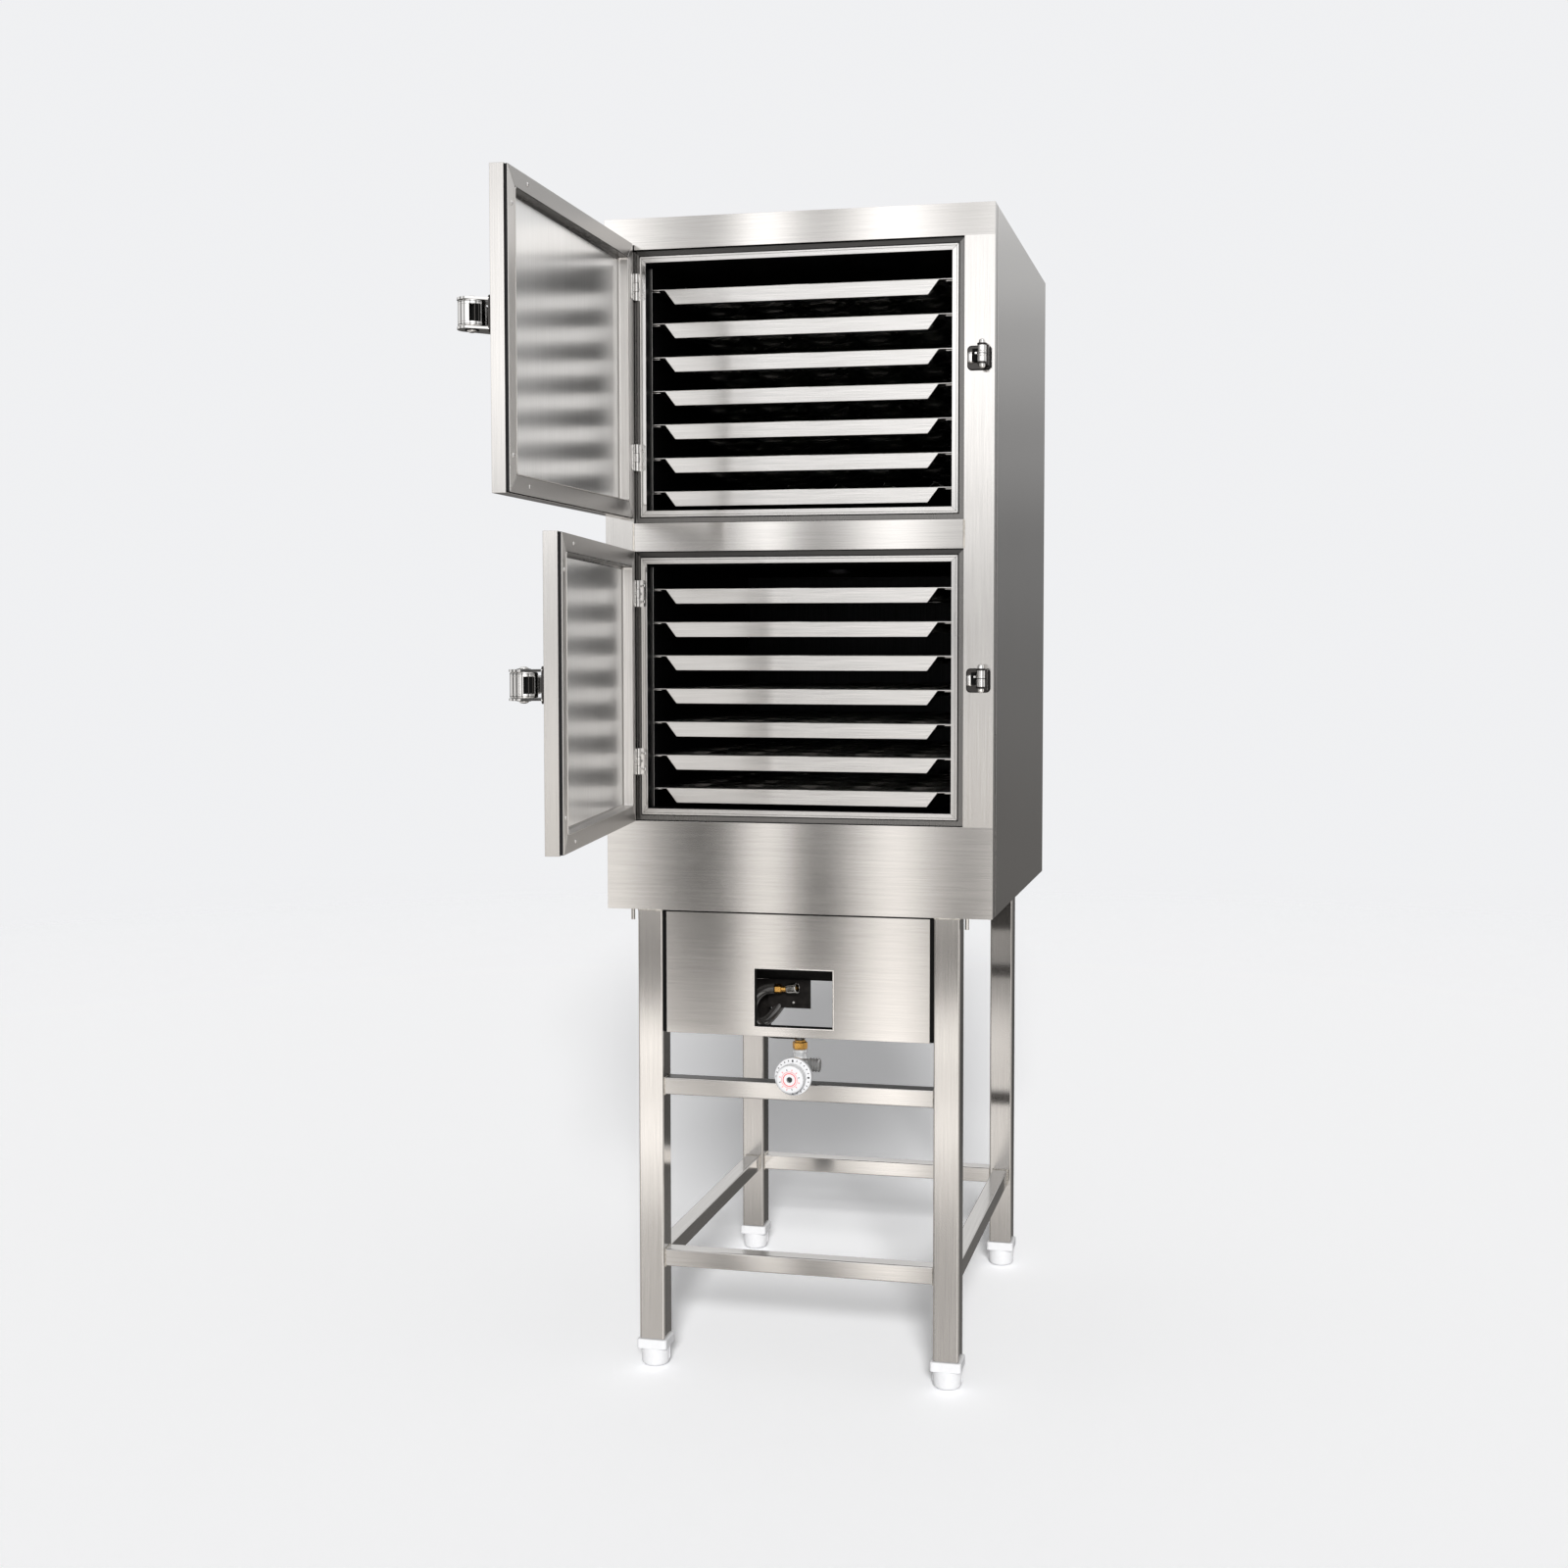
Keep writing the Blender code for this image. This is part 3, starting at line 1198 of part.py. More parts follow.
def build_frame_leaf(name, low):
    """The leaf on the chamber's flange, with the outer two knuckles, bored for the pin."""
    bottom, middle, top = knuckle_heights()
    centre = (HINGE_AXIS_X, HINGE_AXIS_Y, low)
    leaf_back = SEAT_FACE_Y - CLEARANCE - HINGE_AXIS_Y
    leaf = new_object(
        name,
        box_mesh(name, (0, leaf_back - HINGE_LEAF_SHEET, 0), (HINGE_LEAF_REACH, leaf_back, HINGE_HEIGHT)),
        CHROME,
        ROOT,
        centre,
    )
    cut(leaf, box_mesh(
        name + "_notch",
        (-CUT_OVERRUN, leaf_back - HINGE_LEAF_SHEET - CUT_OVERRUN, bottom[1]),
        (HINGE_KNUCKLE_RADIUS + HINGE_KNUCKLE_GAP, leaf_back + CUT_OVERRUN, top[0]),
    ))
    for start, end in (bottom, top):
        join(leaf, cylinder_mesh(
            name + "_knuckle", (0, 0, start), (0, 0, end),
            HINGE_KNUCKLE_RADIUS, HINGE_KNUCKLE_RADIUS, SMALL_ROUND_STEPS,
        ))
    cut(leaf, cylinder_mesh(
        name + "_bore", (0, 0, -CUT_OVERRUN), (0, 0, HINGE_HEIGHT + CUT_OVERRUN),
        HINGE_BORE_RADIUS, HINGE_BORE_RADIUS, SMALL_ROUND_STEPS,
    ))
    return leaf


def build_door_leaf(name, parent, low):
    """The leaf on the door's liner, with the middle knuckle and the pin."""
    bottom, middle, top = knuckle_heights()
    face = -HINGE_FACE_OFFSET + CLEARANCE
    leaf = new_object(
        name,
        box_mesh(
            name,
            (HINGE_KNUCKLE_RADIUS + HINGE_KNUCKLE_GAP, face, 0),
            (HINGE_EDGE_OFFSET + HINGE_LEAF_REACH, face + HINGE_LEAF_SHEET, HINGE_HEIGHT),
        ),
        CHROME,
        parent,
        (0, 0, low),
    )
    join(leaf, box_mesh(
        name + "_root",
        (0, face, middle[0]),
        (HINGE_EDGE_OFFSET, face + HINGE_LEAF_SHEET, middle[1]),
    ))
    join(leaf, cylinder_mesh(
        name + "_knuckle", (0, 0, middle[0]), (0, 0, middle[1]),
        HINGE_KNUCKLE_RADIUS, HINGE_KNUCKLE_RADIUS, SMALL_ROUND_STEPS,
    ))
    join(leaf, cylinder_mesh(
        name + "_pin", (0, 0, 0), (0, 0, HINGE_HEIGHT),
        HINGE_PIN_RADIUS, HINGE_PIN_RADIUS, SMALL_ROUND_STEPS,
    ))
    return leaf


def build_latch(prefix, parent, height):
    """The latch bracket with its pin, and the lever that turns on the pin."""
    liner_face, liner_back, pan_back, pan_front = door_layers()
    pin = (DOOR_FREE_EDGE - LATCH_PIN_FROM_EDGE, pan_front - LATCH_PIN_OUT, height)
    build_latch_bracket(prefix, parent, pin)
    build_latch_lever(prefix, parent, pin)


def build_latch_bracket(prefix, parent, pin):
    """Base plate, two rounded cheeks, pin and pin domes, about the pin."""
    name = prefix + "_latch_bracket"
    base_back = LATCH_PIN_OUT - CLEARANCE
    base_front = base_back - LATCH_BASE_SHEET
    right = LATCH_PIN_FROM_EDGE
    left = right - LATCH_BASE_LENGTH
    bracket = new_object(
        name,
        box_mesh(
            name,
            (left, base_front, -LATCH_BASE_HEIGHT / 2),
            (right, base_back, LATCH_BASE_HEIGHT / 2),
        ),
        CHROME,
        parent,
        pin,
    )
    outline = arc(0, 0, LATCH_NOSE_RADIUS, 0, -120, 7)
    outline.append((left + LATCH_NOSE_RADIUS / 2, base_front))
    outline.append((left + LATCH_NOSE_RADIUS / 2, base_back - LATCH_BASE_SHEET / 2))
    outline.append((right, base_back - LATCH_BASE_SHEET / 2))
    outline.append((right, base_front))
    cheek_z = LATCH_CHEEK_HEIGHT / 2 - LATCH_CHEEK_SHEET / 2
    for side in (-1, 1):
        cheek = outline_mesh(name + "_cheek", outline, LATCH_CHEEK_SHEET)
        combine(bracket, cheek, "UNION", (pin[0], pin[1], pin[2] + side * cheek_z))
        dome_foot = side * (LATCH_CHEEK_HEIGHT / 2 - LATCH_CHEEK_SHEET / 2)
        dome_top = side * (LATCH_CHEEK_HEIGHT / 2 + LATCH_DOME_HEIGHT)
        join(bracket, cylinder_mesh(
            name + "_dome", (0, 0, dome_foot), (0, 0, dome_top),
            LATCH_DOME_RADIUS, LATCH_DOME_TOP_RADIUS, SMALL_ROUND_STEPS,
        ))
    join(bracket, cylinder_mesh(
        name + "_pin", (0, 0, -cheek_z), (0, 0, cheek_z),
        LATCH_PIN_RADIUS, LATCH_PIN_RADIUS, SMALL_ROUND_STEPS,
    ))
    return bracket


def build_latch_lever(prefix, parent, pin):
    """The drum and handle in one casting, with a window that shows the pawl's two bars."""
    name = prefix + "_latch_lever"
    pivot = new_empty(prefix + "_latch_pivot", parent, pin)
    drum_height = LATCH_CHEEK_HEIGHT - (LATCH_CHEEK_SHEET + CLEARANCE) * 2
    drum = cylinder_mesh(
        name, (0, 0, -drum_height / 2), (0, 0, drum_height / 2),
        LEVER_DRUM_RADIUS, LEVER_DRUM_RADIUS, ROUND_STEPS,
    )
    lever = new_object(name, shade_round(drum), CHROME, pivot)
    handle_in = LATCH_PIN_OUT - LEVER_HANDLE_STANDOFF
    tip = LEVER_HANDLE_TIP / 2
    end_x = -LEVER_HANDLE_LENGTH
    outline = [(0, handle_in), (0, handle_in - LEVER_HANDLE_ROOT)]
    outline += arc(end_x, handle_in - tip, tip, -90, -270, 4)
    handle = outline_mesh(name + "_handle", outline, LEVER_HANDLE_HEIGHT)
    join(lever, handle)
    window_y = LATCH_PIN_OUT - LEVER_WINDOW_OUT
    floor_x = LEVER_DRUM_RADIUS - LEVER_WINDOW_DEPTH
    cut(lever, box_mesh(
        name + "_window",
        (floor_x, window_y - LEVER_WINDOW_WIDTH / 2, -LEVER_WINDOW_HEIGHT / 2),
        (LEVER_DRUM_RADIUS + CUT_OVERRUN, window_y + LEVER_WINDOW_WIDTH / 2, LEVER_WINDOW_HEIGHT / 2),
    ))
    for side in (-1, 1):
        bar_y = window_y + side * PAWL_BAR_SPREAD / 2
        bar_x = floor_x + PAWL_BAR_RADIUS
        join(lever, cylinder_mesh(
            name + "_pawl_bar",
            (bar_x, bar_y, -LEVER_WINDOW_HEIGHT / 2 - PAWL_BAR_RADIUS),
            (bar_x, bar_y, LEVER_WINDOW_HEIGHT / 2 + PAWL_BAR_RADIUS),
            PAWL_BAR_RADIUS, PAWL_BAR_RADIUS, 6,
        ))
    cut(lever, cylinder_mesh(
        name + "_bore", (0, 0, -LATCH_CHEEK_HEIGHT), (0, 0, LATCH_CHEEK_HEIGHT),
        LEVER_BORE_RADIUS, LEVER_BORE_RADIUS, SMALL_ROUND_STEPS,
    ))
    return lever


def build_strike(prefix, height):
    """The strike on the right stile: base, two ears, the roller between them and the keeper."""
    name = prefix + "_strike"
    place = (STRIKE_X, -CLEARANCE, height)
    upright_turn = (math.radians(90), 0, 0)
    base = outline_mesh(
        name,
        rounded_rectangle(STRIKE_BASE_WIDTH / 2, STRIKE_BASE_HEIGHT / 2, STRIKE_BASE_CORNER, 2),
        STRIKE_BASE_SHEET,
    )
    strike = new_object(
        name, base, CHROME, ROOT, (place[0], place[1] - STRIKE_BASE_SHEET / 2, place[2]), upright_turn
    )
    roller_x = STRIKE_ROLLER_X_OFFSET
    ear_half = STRIKE_EAR_HALF_WIDTH
    outline = arc(roller_x, -STRIKE_ROLLER_OUT, ear_half, -180, 0, 6)
    outline.append((roller_x + ear_half, -STRIKE_BASE_SHEET / 2))
    outline.append((roller_x - ear_half, -STRIKE_BASE_SHEET / 2))
    for side in (-1, 1):
        ear_z = STRIKE_ROLLER_RISE + side * (STRIKE_ROLLER_HEIGHT + STRIKE_EAR_SHEET) / 2
        ear = outline_mesh(name + "_ear", outline, STRIKE_EAR_SHEET)
        combine(strike, ear, "UNION", (place[0], place[1], place[2] + ear_z))
    roller_half = (STRIKE_ROLLER_HEIGHT + STRIKE_EAR_SHEET) / 2
    combine(strike, cylinder_mesh(
        name + "_roller", (0, 0, -roller_half), (0, 0, roller_half),
        STRIKE_ROLLER_RADIUS, STRIKE_ROLLER_RADIUS, SMALL_ROUND_STEPS,
    ), "UNION", (place[0] + roller_x, place[1] - STRIKE_ROLLER_OUT, place[2] + STRIKE_ROLLER_RISE))
    cap_half = roller_half + STRIKE_CAP_HEIGHT
    combine(strike, cylinder_mesh(
        name + "_caps", (0, 0, -cap_half), (0, 0, cap_half),
        STRIKE_CAP_RADIUS, STRIKE_CAP_RADIUS, SMALL_ROUND_STEPS,
    ), "UNION", (place[0] + roller_x, place[1] - STRIKE_ROLLER_OUT, place[2] + STRIKE_ROLLER_RISE))
    keeper_half = STRIKE_KEEPER_HEIGHT / 2
    combine(strike, cylinder_mesh(
        name + "_keeper", (0, 0, -keeper_half), (0, 0, keeper_half),
        STRIKE_KEEPER_RADIUS, STRIKE_KEEPER_RADIUS, SMALL_ROUND_STEPS,
    ), "UNION", (
        place[0] + STRIKE_KEEPER_X_OFFSET, place[1] - STRIKE_KEEPER_OUT + STRIKE_KEEPER_RADIUS, place[2]
    ))
    return strike


build_outer_shell()
build_front_frame()
build_upper_chamber()
build_lower_chamber()
build_rack("upper_tray_rack", UPPER_OPENING_Z)
build_rack("lower_tray_rack", LOWER_OPENING_Z)
TRAY = tray_mesh()
build_trays(TRAY, "upper", UPPER_OPENING_Z)
build_trays(TRAY, "lower", LOWER_OPENING_Z)
build_stand()
build_burner_cover()
build_burner_shroud()
build_burner()
build_gas_line()
build_regulator()
build_door("upper", UPPER_OPENING_Z, UPPER_DOOR_LIFT, UPPER_DOOR_ANGLE, LATCH_RISE_UPPER)
build_door("lower", LOWER_OPENING_Z, 0, LOWER_DOOR_ANGLE, LATCH_RISE_LOWER)
bpy.context.view_layer.update()
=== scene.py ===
"""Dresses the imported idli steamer: finishes, folded sheet, welds, trays with cups, latches and gas parts.

Sizes are in metres. Door pieces are laid out as if the door were shut, about its hinge line, and
are then turned to where the door stands open. Upright shapes are drawn in x and z, and their
third measure runs out towards the person who stands in front of the doors.
"""
import json
import math

import bmesh
import bpy
from mathutils import Matrix, Vector, noise


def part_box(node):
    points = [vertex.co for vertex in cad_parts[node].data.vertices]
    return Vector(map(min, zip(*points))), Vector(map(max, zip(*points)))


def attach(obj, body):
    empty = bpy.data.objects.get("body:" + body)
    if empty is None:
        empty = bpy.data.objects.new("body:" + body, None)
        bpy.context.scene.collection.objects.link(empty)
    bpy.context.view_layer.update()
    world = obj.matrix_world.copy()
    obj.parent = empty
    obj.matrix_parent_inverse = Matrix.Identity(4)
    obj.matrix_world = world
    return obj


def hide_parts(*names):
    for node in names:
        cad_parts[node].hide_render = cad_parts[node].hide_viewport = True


bl_info = {
    "name": "Idli steamer looks",
    "version": (1, 0, 0),
    "blender": (4, 5, 0),
    "location": "3D View > Sidebar > Steamer",
    "description": "Builds the finishes and fine pieces of a two-door gas idli steamer",
    "category": "Object",
}

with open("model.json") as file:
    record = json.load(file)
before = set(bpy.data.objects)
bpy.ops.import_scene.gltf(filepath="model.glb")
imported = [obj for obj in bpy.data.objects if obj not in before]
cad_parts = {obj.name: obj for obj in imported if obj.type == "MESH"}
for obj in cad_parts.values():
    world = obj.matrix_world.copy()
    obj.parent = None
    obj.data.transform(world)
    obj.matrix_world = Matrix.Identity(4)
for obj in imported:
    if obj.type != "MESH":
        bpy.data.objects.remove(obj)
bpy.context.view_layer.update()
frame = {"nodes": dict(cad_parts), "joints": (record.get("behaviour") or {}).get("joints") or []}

WELD_DISTANCE = 0.00002
FLAT_ANGLE = math.radians(1.5)
EDGE_ANGLE = math.radians(28)
ROUND_STEPS = 48
FINE_STEPS = 32
SMALL_STEPS = 20
LIFT = 0.0002
UPRIGHT = Matrix.Rotation(math.radians(90), 4, "X")
FLIP = Matrix.Rotation(math.pi, 4, "X")
SIDES = (-1, 1)

# Places that the frame gives
SHELL_LOW, SHELL_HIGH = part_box("outer_shell")
FRONT_LOW, FRONT_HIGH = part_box("front_frame")
MIDDLE_X = (FRONT_LOW.x + FRONT_HIGH.x) / 2
FRONT_Y = FRONT_LOW.y

# Openings and gas parts, in the frame
OPENING_HALF = 0.242
OPENINGS = {"lower": (0.812, 1.204), "upper": (1.245, 1.637)}
PIPE_LEVEL = 0.503
PIPE_RADIUS = 0.008
PIPE_OUT = 0.022
NUT_TOP = PIPE_LEVEL - PIPE_RADIUS - 0.0003
NUT_HEIGHT = 0.0132

# Doors, in the layout of a shut door about its hinge line
DOOR_SHEET = 0.0012
DOOR_HEIGHT = 0.395
LINER_LEFT = 0.0068
LINER_RIGHT = 0.4779
LINER_LOW = 0.0012
LINER_TOP = DOOR_HEIGHT - LINER_LOW
LINER_BOX = (LINER_LEFT, LINER_LOW, LINER_RIGHT, LINER_TOP)
LINER_FACE = 0.0032
LINER_BACK = 0.0064
PAN_BACK = 0.0084
PAN_FRONT = 0.0267
PAN_HINGE_EDGE = 0.0056
PAN_FREE_EDGE = 0.4791


def joint_named(name):
    """The frame's joint of that name."""
    for joint in frame["joints"]:
        if joint["name"] == name:
            return joint
    raise ValueError("the frame has no joint " + name)


def joint_point(name):
    """Where a joint stands in the frame."""
    return Vector(joint_named(name)["pos_m"])


def door_place(prefix):
    """The matrix that takes a shut door's layout to where the door stands."""
    name = prefix + "_door_hinge"
    turn = Matrix.Rotation(math.radians(joint_named(name)["range_deg"][0]), 4, "Z")
    return Matrix.Translation(joint_point(name)) @ turn


def latch_place(prefix):
    """The matrix of a latch's pin, turned as its door is."""
    place = door_place(prefix)
    return place @ Matrix.Translation(place.inverted() @ joint_point(prefix + "_latch_pivot"))


# Shapes

def arc(centre_x, centre_y, radius, start, end, steps):
    """Points on an arc, from one angle to another, both in degrees."""
    points = []
    for step in range(steps + 1):
        angle = math.radians(start + (end - start) * step / steps)
        points.append((centre_x + radius * math.cos(angle), centre_y + radius * math.sin(angle)))
    return points


def rectangle(low_x, low_y, high_x, high_y, inset=0):
    """The outline of a rectangle, counter-clockwise, drawn inwards by the inset."""
    return [
        (low_x + inset, low_y + inset), (high_x - inset, low_y + inset),
        (high_x - inset, high_y - inset), (low_x + inset, high_y - inset),
    ]


def round_rectangle(low_x, low_y, high_x, high_y, corner, steps=6, inset=0):
    """The outline of a rectangle with round corners, counter-clockwise from the low right one."""
    left, right = low_x + inset + corner, high_x - inset - corner
    bottom, top = low_y + inset + corner, high_y - inset - corner
    points = []
    for x, y, start in ((right, bottom, -90), (right, top, 0), (left, top, 90), (left, bottom, 180)):
        points += arc(x, y, corner, start, start + 90, steps)
    return points


def square(half, corner, steps=6):
    """The outline of a square with round corners about the middle."""
    return round_rectangle(-half, -half, half, half, corner, steps)


def circle(radius, steps):
    """The outline of a circle about the middle."""
    return arc(0, 0, radius, 0, 360 - 360 / steps, steps - 1)


def turned_over(place, side):
    """A place, turned over about its own x on the negative side."""
    return place if side > 0 else place @ FLIP


def mitred_strips(outer, inner, gap):
    """The four strips between two rectangles, cut at their corners with a gap at each end."""
    strips = []
    for index in range(4):
        after = (index + 1) % 4
        along = (Vector(outer[after]) - Vector(outer[index])).normalized() * gap
        strips.append((
            Vector(outer[index]) + along, Vector(outer[after]) - along,
            Vector(inner[after]) - along, Vector(inner[index]) + along,
        ))
    return strips


def close_faces(faces, slot):
    """Give new faces their finish and smooth shading."""
    for face in faces:
        face.material_index = slot
        face.smooth = True


def bridge(shape, rings, slot=0, looped=False):
    """Join neighbouring rings of points with faces, and the last with the first where looped."""
    faces = []
    for first, second in zip(rings, rings[1:] + rings[:1] if looped else rings[1:]):
        for index in range(len(first)):
            after = (index + 1) % len(first)
            faces.append(shape.faces.new((first[index], first[after], second[after], second[index])))
    close_faces(faces, slot)
    return faces


def add_loft(shape, outlines, matrix=Matrix.Identity(4), slot=0, looped=False):
    """Skin over outlines of the same count, each (points, height), with closed ends or looped."""
    rings = []
    for outline, height in outlines:
        rings.append([shape.verts.new(matrix @ Vector((x, y, height))) for x, y in outline])
    if not looped:
        close_faces([shape.faces.new(rings[0][::-1]), shape.faces.new(rings[-1])], slot)
    bridge(shape, rings, slot, looped)


def add_prism(shape, outline, low, high, matrix=Matrix.Identity(4), slot=0):
    """An outline in x and y, raised along z from low to high."""
    add_loft(shape, ((outline, low), (outline, high)), matrix, slot)


def add_box(shape, low, high, matrix=Matrix.Identity(4), slot=0):
    """A box between two corners."""
    add_prism(shape, rectangle(low[0], low[1], high[0], high[1]), low[2], high[2], matrix, slot)


def add_ring(shape, outer, inner, low, high, matrix=Matrix.Identity(4), slot=0):
    """A flat ring between two outlines of the same count, raised along z."""
    add_loft(shape, ((outer, low), (outer, high), (inner, high), (inner, low)), matrix, slot, looped=True)


def add_turned(shape, profile, steps, matrix=Matrix.Identity(4), slot=0, wave=None, looped=False):
    """A profile of (radius, height) points, listed from the top down, turned about z."""
    rings = []
    for radius, height in profile:
        ring = []
        for step in range(steps if radius > WELD_DISTANCE else 1):
            angle = math.tau * step / steps
            reach = radius + wave(angle, radius) if wave else radius
            point = (reach * math.cos(angle), reach * math.sin(angle), height)
            ring.append(shape.verts.new(matrix @ Vector(point)))
        rings.append(ring)
    if looped:
        rings.append(rings[0])
    faces = []
    for upper, lower in zip(rings, rings[1:]):
        for step in range(steps):
            after = (step + 1) % steps
            if len(upper) == 1 and len(lower) == 1:
                continue
            if len(upper) == 1:
                corners = (upper[0], lower[step], lower[after])
            elif len(lower) == 1:
                corners = (upper[step], lower[0], upper[after])
            else:
                corners = (upper[step], lower[step], lower[after], upper[after])
            faces.append(shape.faces.new(corners))
    close_faces(faces, slot)


def add_rod(shape, radius, low, high, steps, matrix, slot=0):
    """A plain round rod along z."""
    add_turned(shape, [(0, high), (radius, high), (radius, low), (0, low)], steps, matrix, slot)


def add_band(shape, inner, outer, low, high, steps, matrix, slot):
    """A flat ring about z between two radii."""
    profile = [(inner, high), (outer, high), (outer, low), (inner, low)]
    add_turned(shape, profile, steps, matrix, slot, looped=True)


def add_hexagons(shape, levels, matrix):
    """A hexagonal solid through levels of (reach, height)."""
    add_loft(shape, [(circle(reach, 6), height) for reach, height in levels], matrix)


def add_sweep(shape, points, radius, steps, slot=0, closed=False):
    """A round rod along a row of points; the radius may be a function of the point's number."""
    path = [Vector(point) for point in points]
    count = len(path)
    rings = []
    side = None
    for index, point in enumerate(path):
        before = path[index - 1] if index or closed else point
        after = path[(index + 1) % count] if index < count - 1 or closed else point
        heading = (after - before).normalized()
        if side is None:
            side = heading.orthogonal().normalized()
        side = (side - heading * side.dot(heading)).normalized()
        across = heading.cross(side)
        reach = radius(index) if callable(radius) else radius
        angles = [math.tau * step / steps for step in range(steps)]
        around = [side * math.cos(angle) + across * math.sin(angle) for angle in angles]
        rings.append([shape.verts.new(point + direction * reach) for direction in around])
    if not closed:
        close_faces([shape.faces.new(rings[0][::-1]), shape.faces.new(rings[-1])], slot)
    bridge(shape, rings, slot, closed)


def add_weld(shape, corners, radius, ripple, closed=False, seed=0):
    """A weld bead with its ripples, along straight runs between corners."""
    points = []
    for start, end in zip(corners, corners[1:] + corners[:1] if closed else corners[1:]):
        run = Vector(end) - Vector(start)
        count = max(2, round(run.length / ripple * 3))
        points += [Vector(start).lerp(Vector(end), step / count) for step in range(count)]
    if not closed:
        points.append(Vector(corners[-1]))

    def reach(index):
        wobble = noise.noise(points[index] * 170 + Vector((seed, 0, 0)))
        return radius * (0.86 + 0.20 * (index % 3 == 1) + 0.22 * wobble)

    add_sweep(shape, points, reach, 8, closed=closed)


def add_screw(shape, place, head_radius, recess_shade_slot):
    """A low domed screw head with a hexagonal recess, facing out along its own z."""
    dome = ((0, 0.45), (0.34, 0.45), (0.36, 0.98), (0.62, 0.86), (0.88, 0.52), (1, 0.12), (1, 0))
    recess = ((0, 0.60), (0.345, 0.60), (0.345, 0.30), (0, 0.30))
    # The hexagonal recess takes its own slot, which every caller gives the black painted shadow
    for profile, steps, slot in ((dome, SMALL_STEPS, 0), (recess, 6, recess_shade_slot)):
        scaled = [(head_radius * reach, head_radius * 0.42 * rise) for reach, rise in profile]
        add_turned(shape, scaled, steps, place, slot)


# Pieces

def mesh_from(name, shape):
    """A mesh made from a shape."""
    mesh = bpy.data.meshes.new(name)
    shape.to_mesh(mesh)
    shape.free()
    return mesh


def linked(name, data):
    """An object with that data, linked to the scene."""
    thing = bpy.data.objects.new(name, data)
    bpy.context.scene.collection.objects.link(thing)
    return thing


def finish_piece(name, shape, finishes, body, replaced=(), edge=0.0, segments=2):
    """Turn a shape into a piece of the scene that rides on a body."""
    bmesh.ops.recalc_face_normals(shape, faces=shape.faces)
    place_piece(name, mesh_from(name, shape), finishes, body, replaced, edge, segments)


def place_piece(name, mesh, finishes, body, replaced=(), edge=0.0, segments=2):
    """Place a mesh as a piece of the scene that rides on a body, with its finishes named in one string."""
    piece = linked(name, mesh)
    for key in finishes.split():
        mesh.materials.append(FINISHES[key])
    mesh.shade_smooth()
    if edge:
        round_edges(piece, edge, segments)
    else:
        mesh.set_sharp_from_angle(angle=EDGE_ANGLE)
        keep_flat(piece)
    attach(piece, body)
    if replaced:
        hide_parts(*replaced)


def round_edges(piece, width, segments):
    """Round the sharp edges of a piece and keep its flat faces flat."""
    rounding = piece.modifiers.new("rounded_edges", "BEVEL")
    rounding.width = width
    rounding.segments = segments
    rounding.limit_method = "ANGLE"
    rounding.angle_limit = EDGE_ANGLE
    keep_flat(piece)


def keep_flat(piece):
    """Let the large faces of a piece set the shading of the corners beside them."""
    flat = piece.modifiers.new("flat_faces", "WEIGHTED_NORMAL")
    flat.mode = "FACE_AREA"
    flat.weight = 100
    flat.keep_sharp = True


def cad_piece(name, node, finishes, edge, segments=2, chooser=None, splits=()):
    """A node's solid on the cabinet, with whole flat faces, a finish for each face and rounded edges.

    The chooser gives the finish's number from a face's middle and its normal. The splits are planes,
    each an axis and a place on it, that keep a flat face from closing round a hole.
    """
    shape = bmesh.new()
    shape.from_mesh(frame["nodes"][node].data)
    bmesh.ops.remove_doubles(shape, verts=shape.verts, dist=WELD_DISTANCE)
    for axis, level in splits:
        normal = [0, 0, 0]
        normal[axis] = 1
        place = [level * part for part in normal]
        cut = bmesh.ops.bisect_plane(
            shape, geom=list(shape.verts) + list(shape.edges) + list(shape.faces), dist=WELD_DISTANCE,
            plane_co=place, plane_no=normal,
        )
        for part in cut["geom_cut"]:
            if isinstance(part, bmesh.types.BMEdge):
                part.seam = True
    for face in shape.faces:
        face.normal_update()
        face.material_index = chooser(face.calc_center_median(), face.normal) if chooser else 0
    bmesh.ops.dissolve_limit(
        shape, angle_limit=FLAT_ANGLE, verts=shape.verts, edges=shape.edges, delimit={"MATERIAL", "SEAM"}
    )
    place_piece(name, mesh_from(name, shape), finishes, "cabinet", (node,), edge, segments)


# Materials

def feed(tree, socket, value):
    """Link a socket to another one, or give it a plain value."""
    if isinstance(value, bpy.types.NodeSocket):
        tree.links.new(value, socket)
    else:
        socket.default_value = value


def add_node(tree, kind, inputs=(), **settings):
    """A shader node with its settings, and with its inputs linked or given plain values."""
    node = tree.nodes.new(kind)
    for key, value in settings.items():
        setattr(node, key, value)
    for label, value in dict(inputs).items():
        feed(tree, node.inputs[label], value)
    return node


def shader_group(name, vectors, numbers):
    """A shader node group that makes a tone, a roughness and a height from its inputs."""
    tree = bpy.data.node_groups.new(name, "ShaderNodeTree")
    for labels, in_out, kind in (
        (vectors, "INPUT", "NodeSocketVector"), (numbers, "INPUT", "NodeSocketFloat"),
        (("Tone", "Roughness", "Height"), "OUTPUT", "NodeSocketFloat"),
    ):
        for label in labels:
            tree.interface.new_socket(name=label, in_out=in_out, socket_type=kind)
    return tree, tree.nodes.new("NodeGroupInput").outputs, tree.nodes.new("NodeGroupOutput").inputs


def noise_node(tree, vector, scale, detail, roughness):
    """A noise texture's value over a vector."""
    inputs = {"Vector": vector, "Scale": scale, "Detail": detail, "Roughness": roughness}
    return add_node(tree, "ShaderNodeTexNoise", inputs).outputs["Fac"]


def maths(tree, operation, *values):
    """A maths node over links or plain numbers."""
    return add_node(tree, "ShaderNodeMath", enumerate(values), operation=operation).outputs[0]


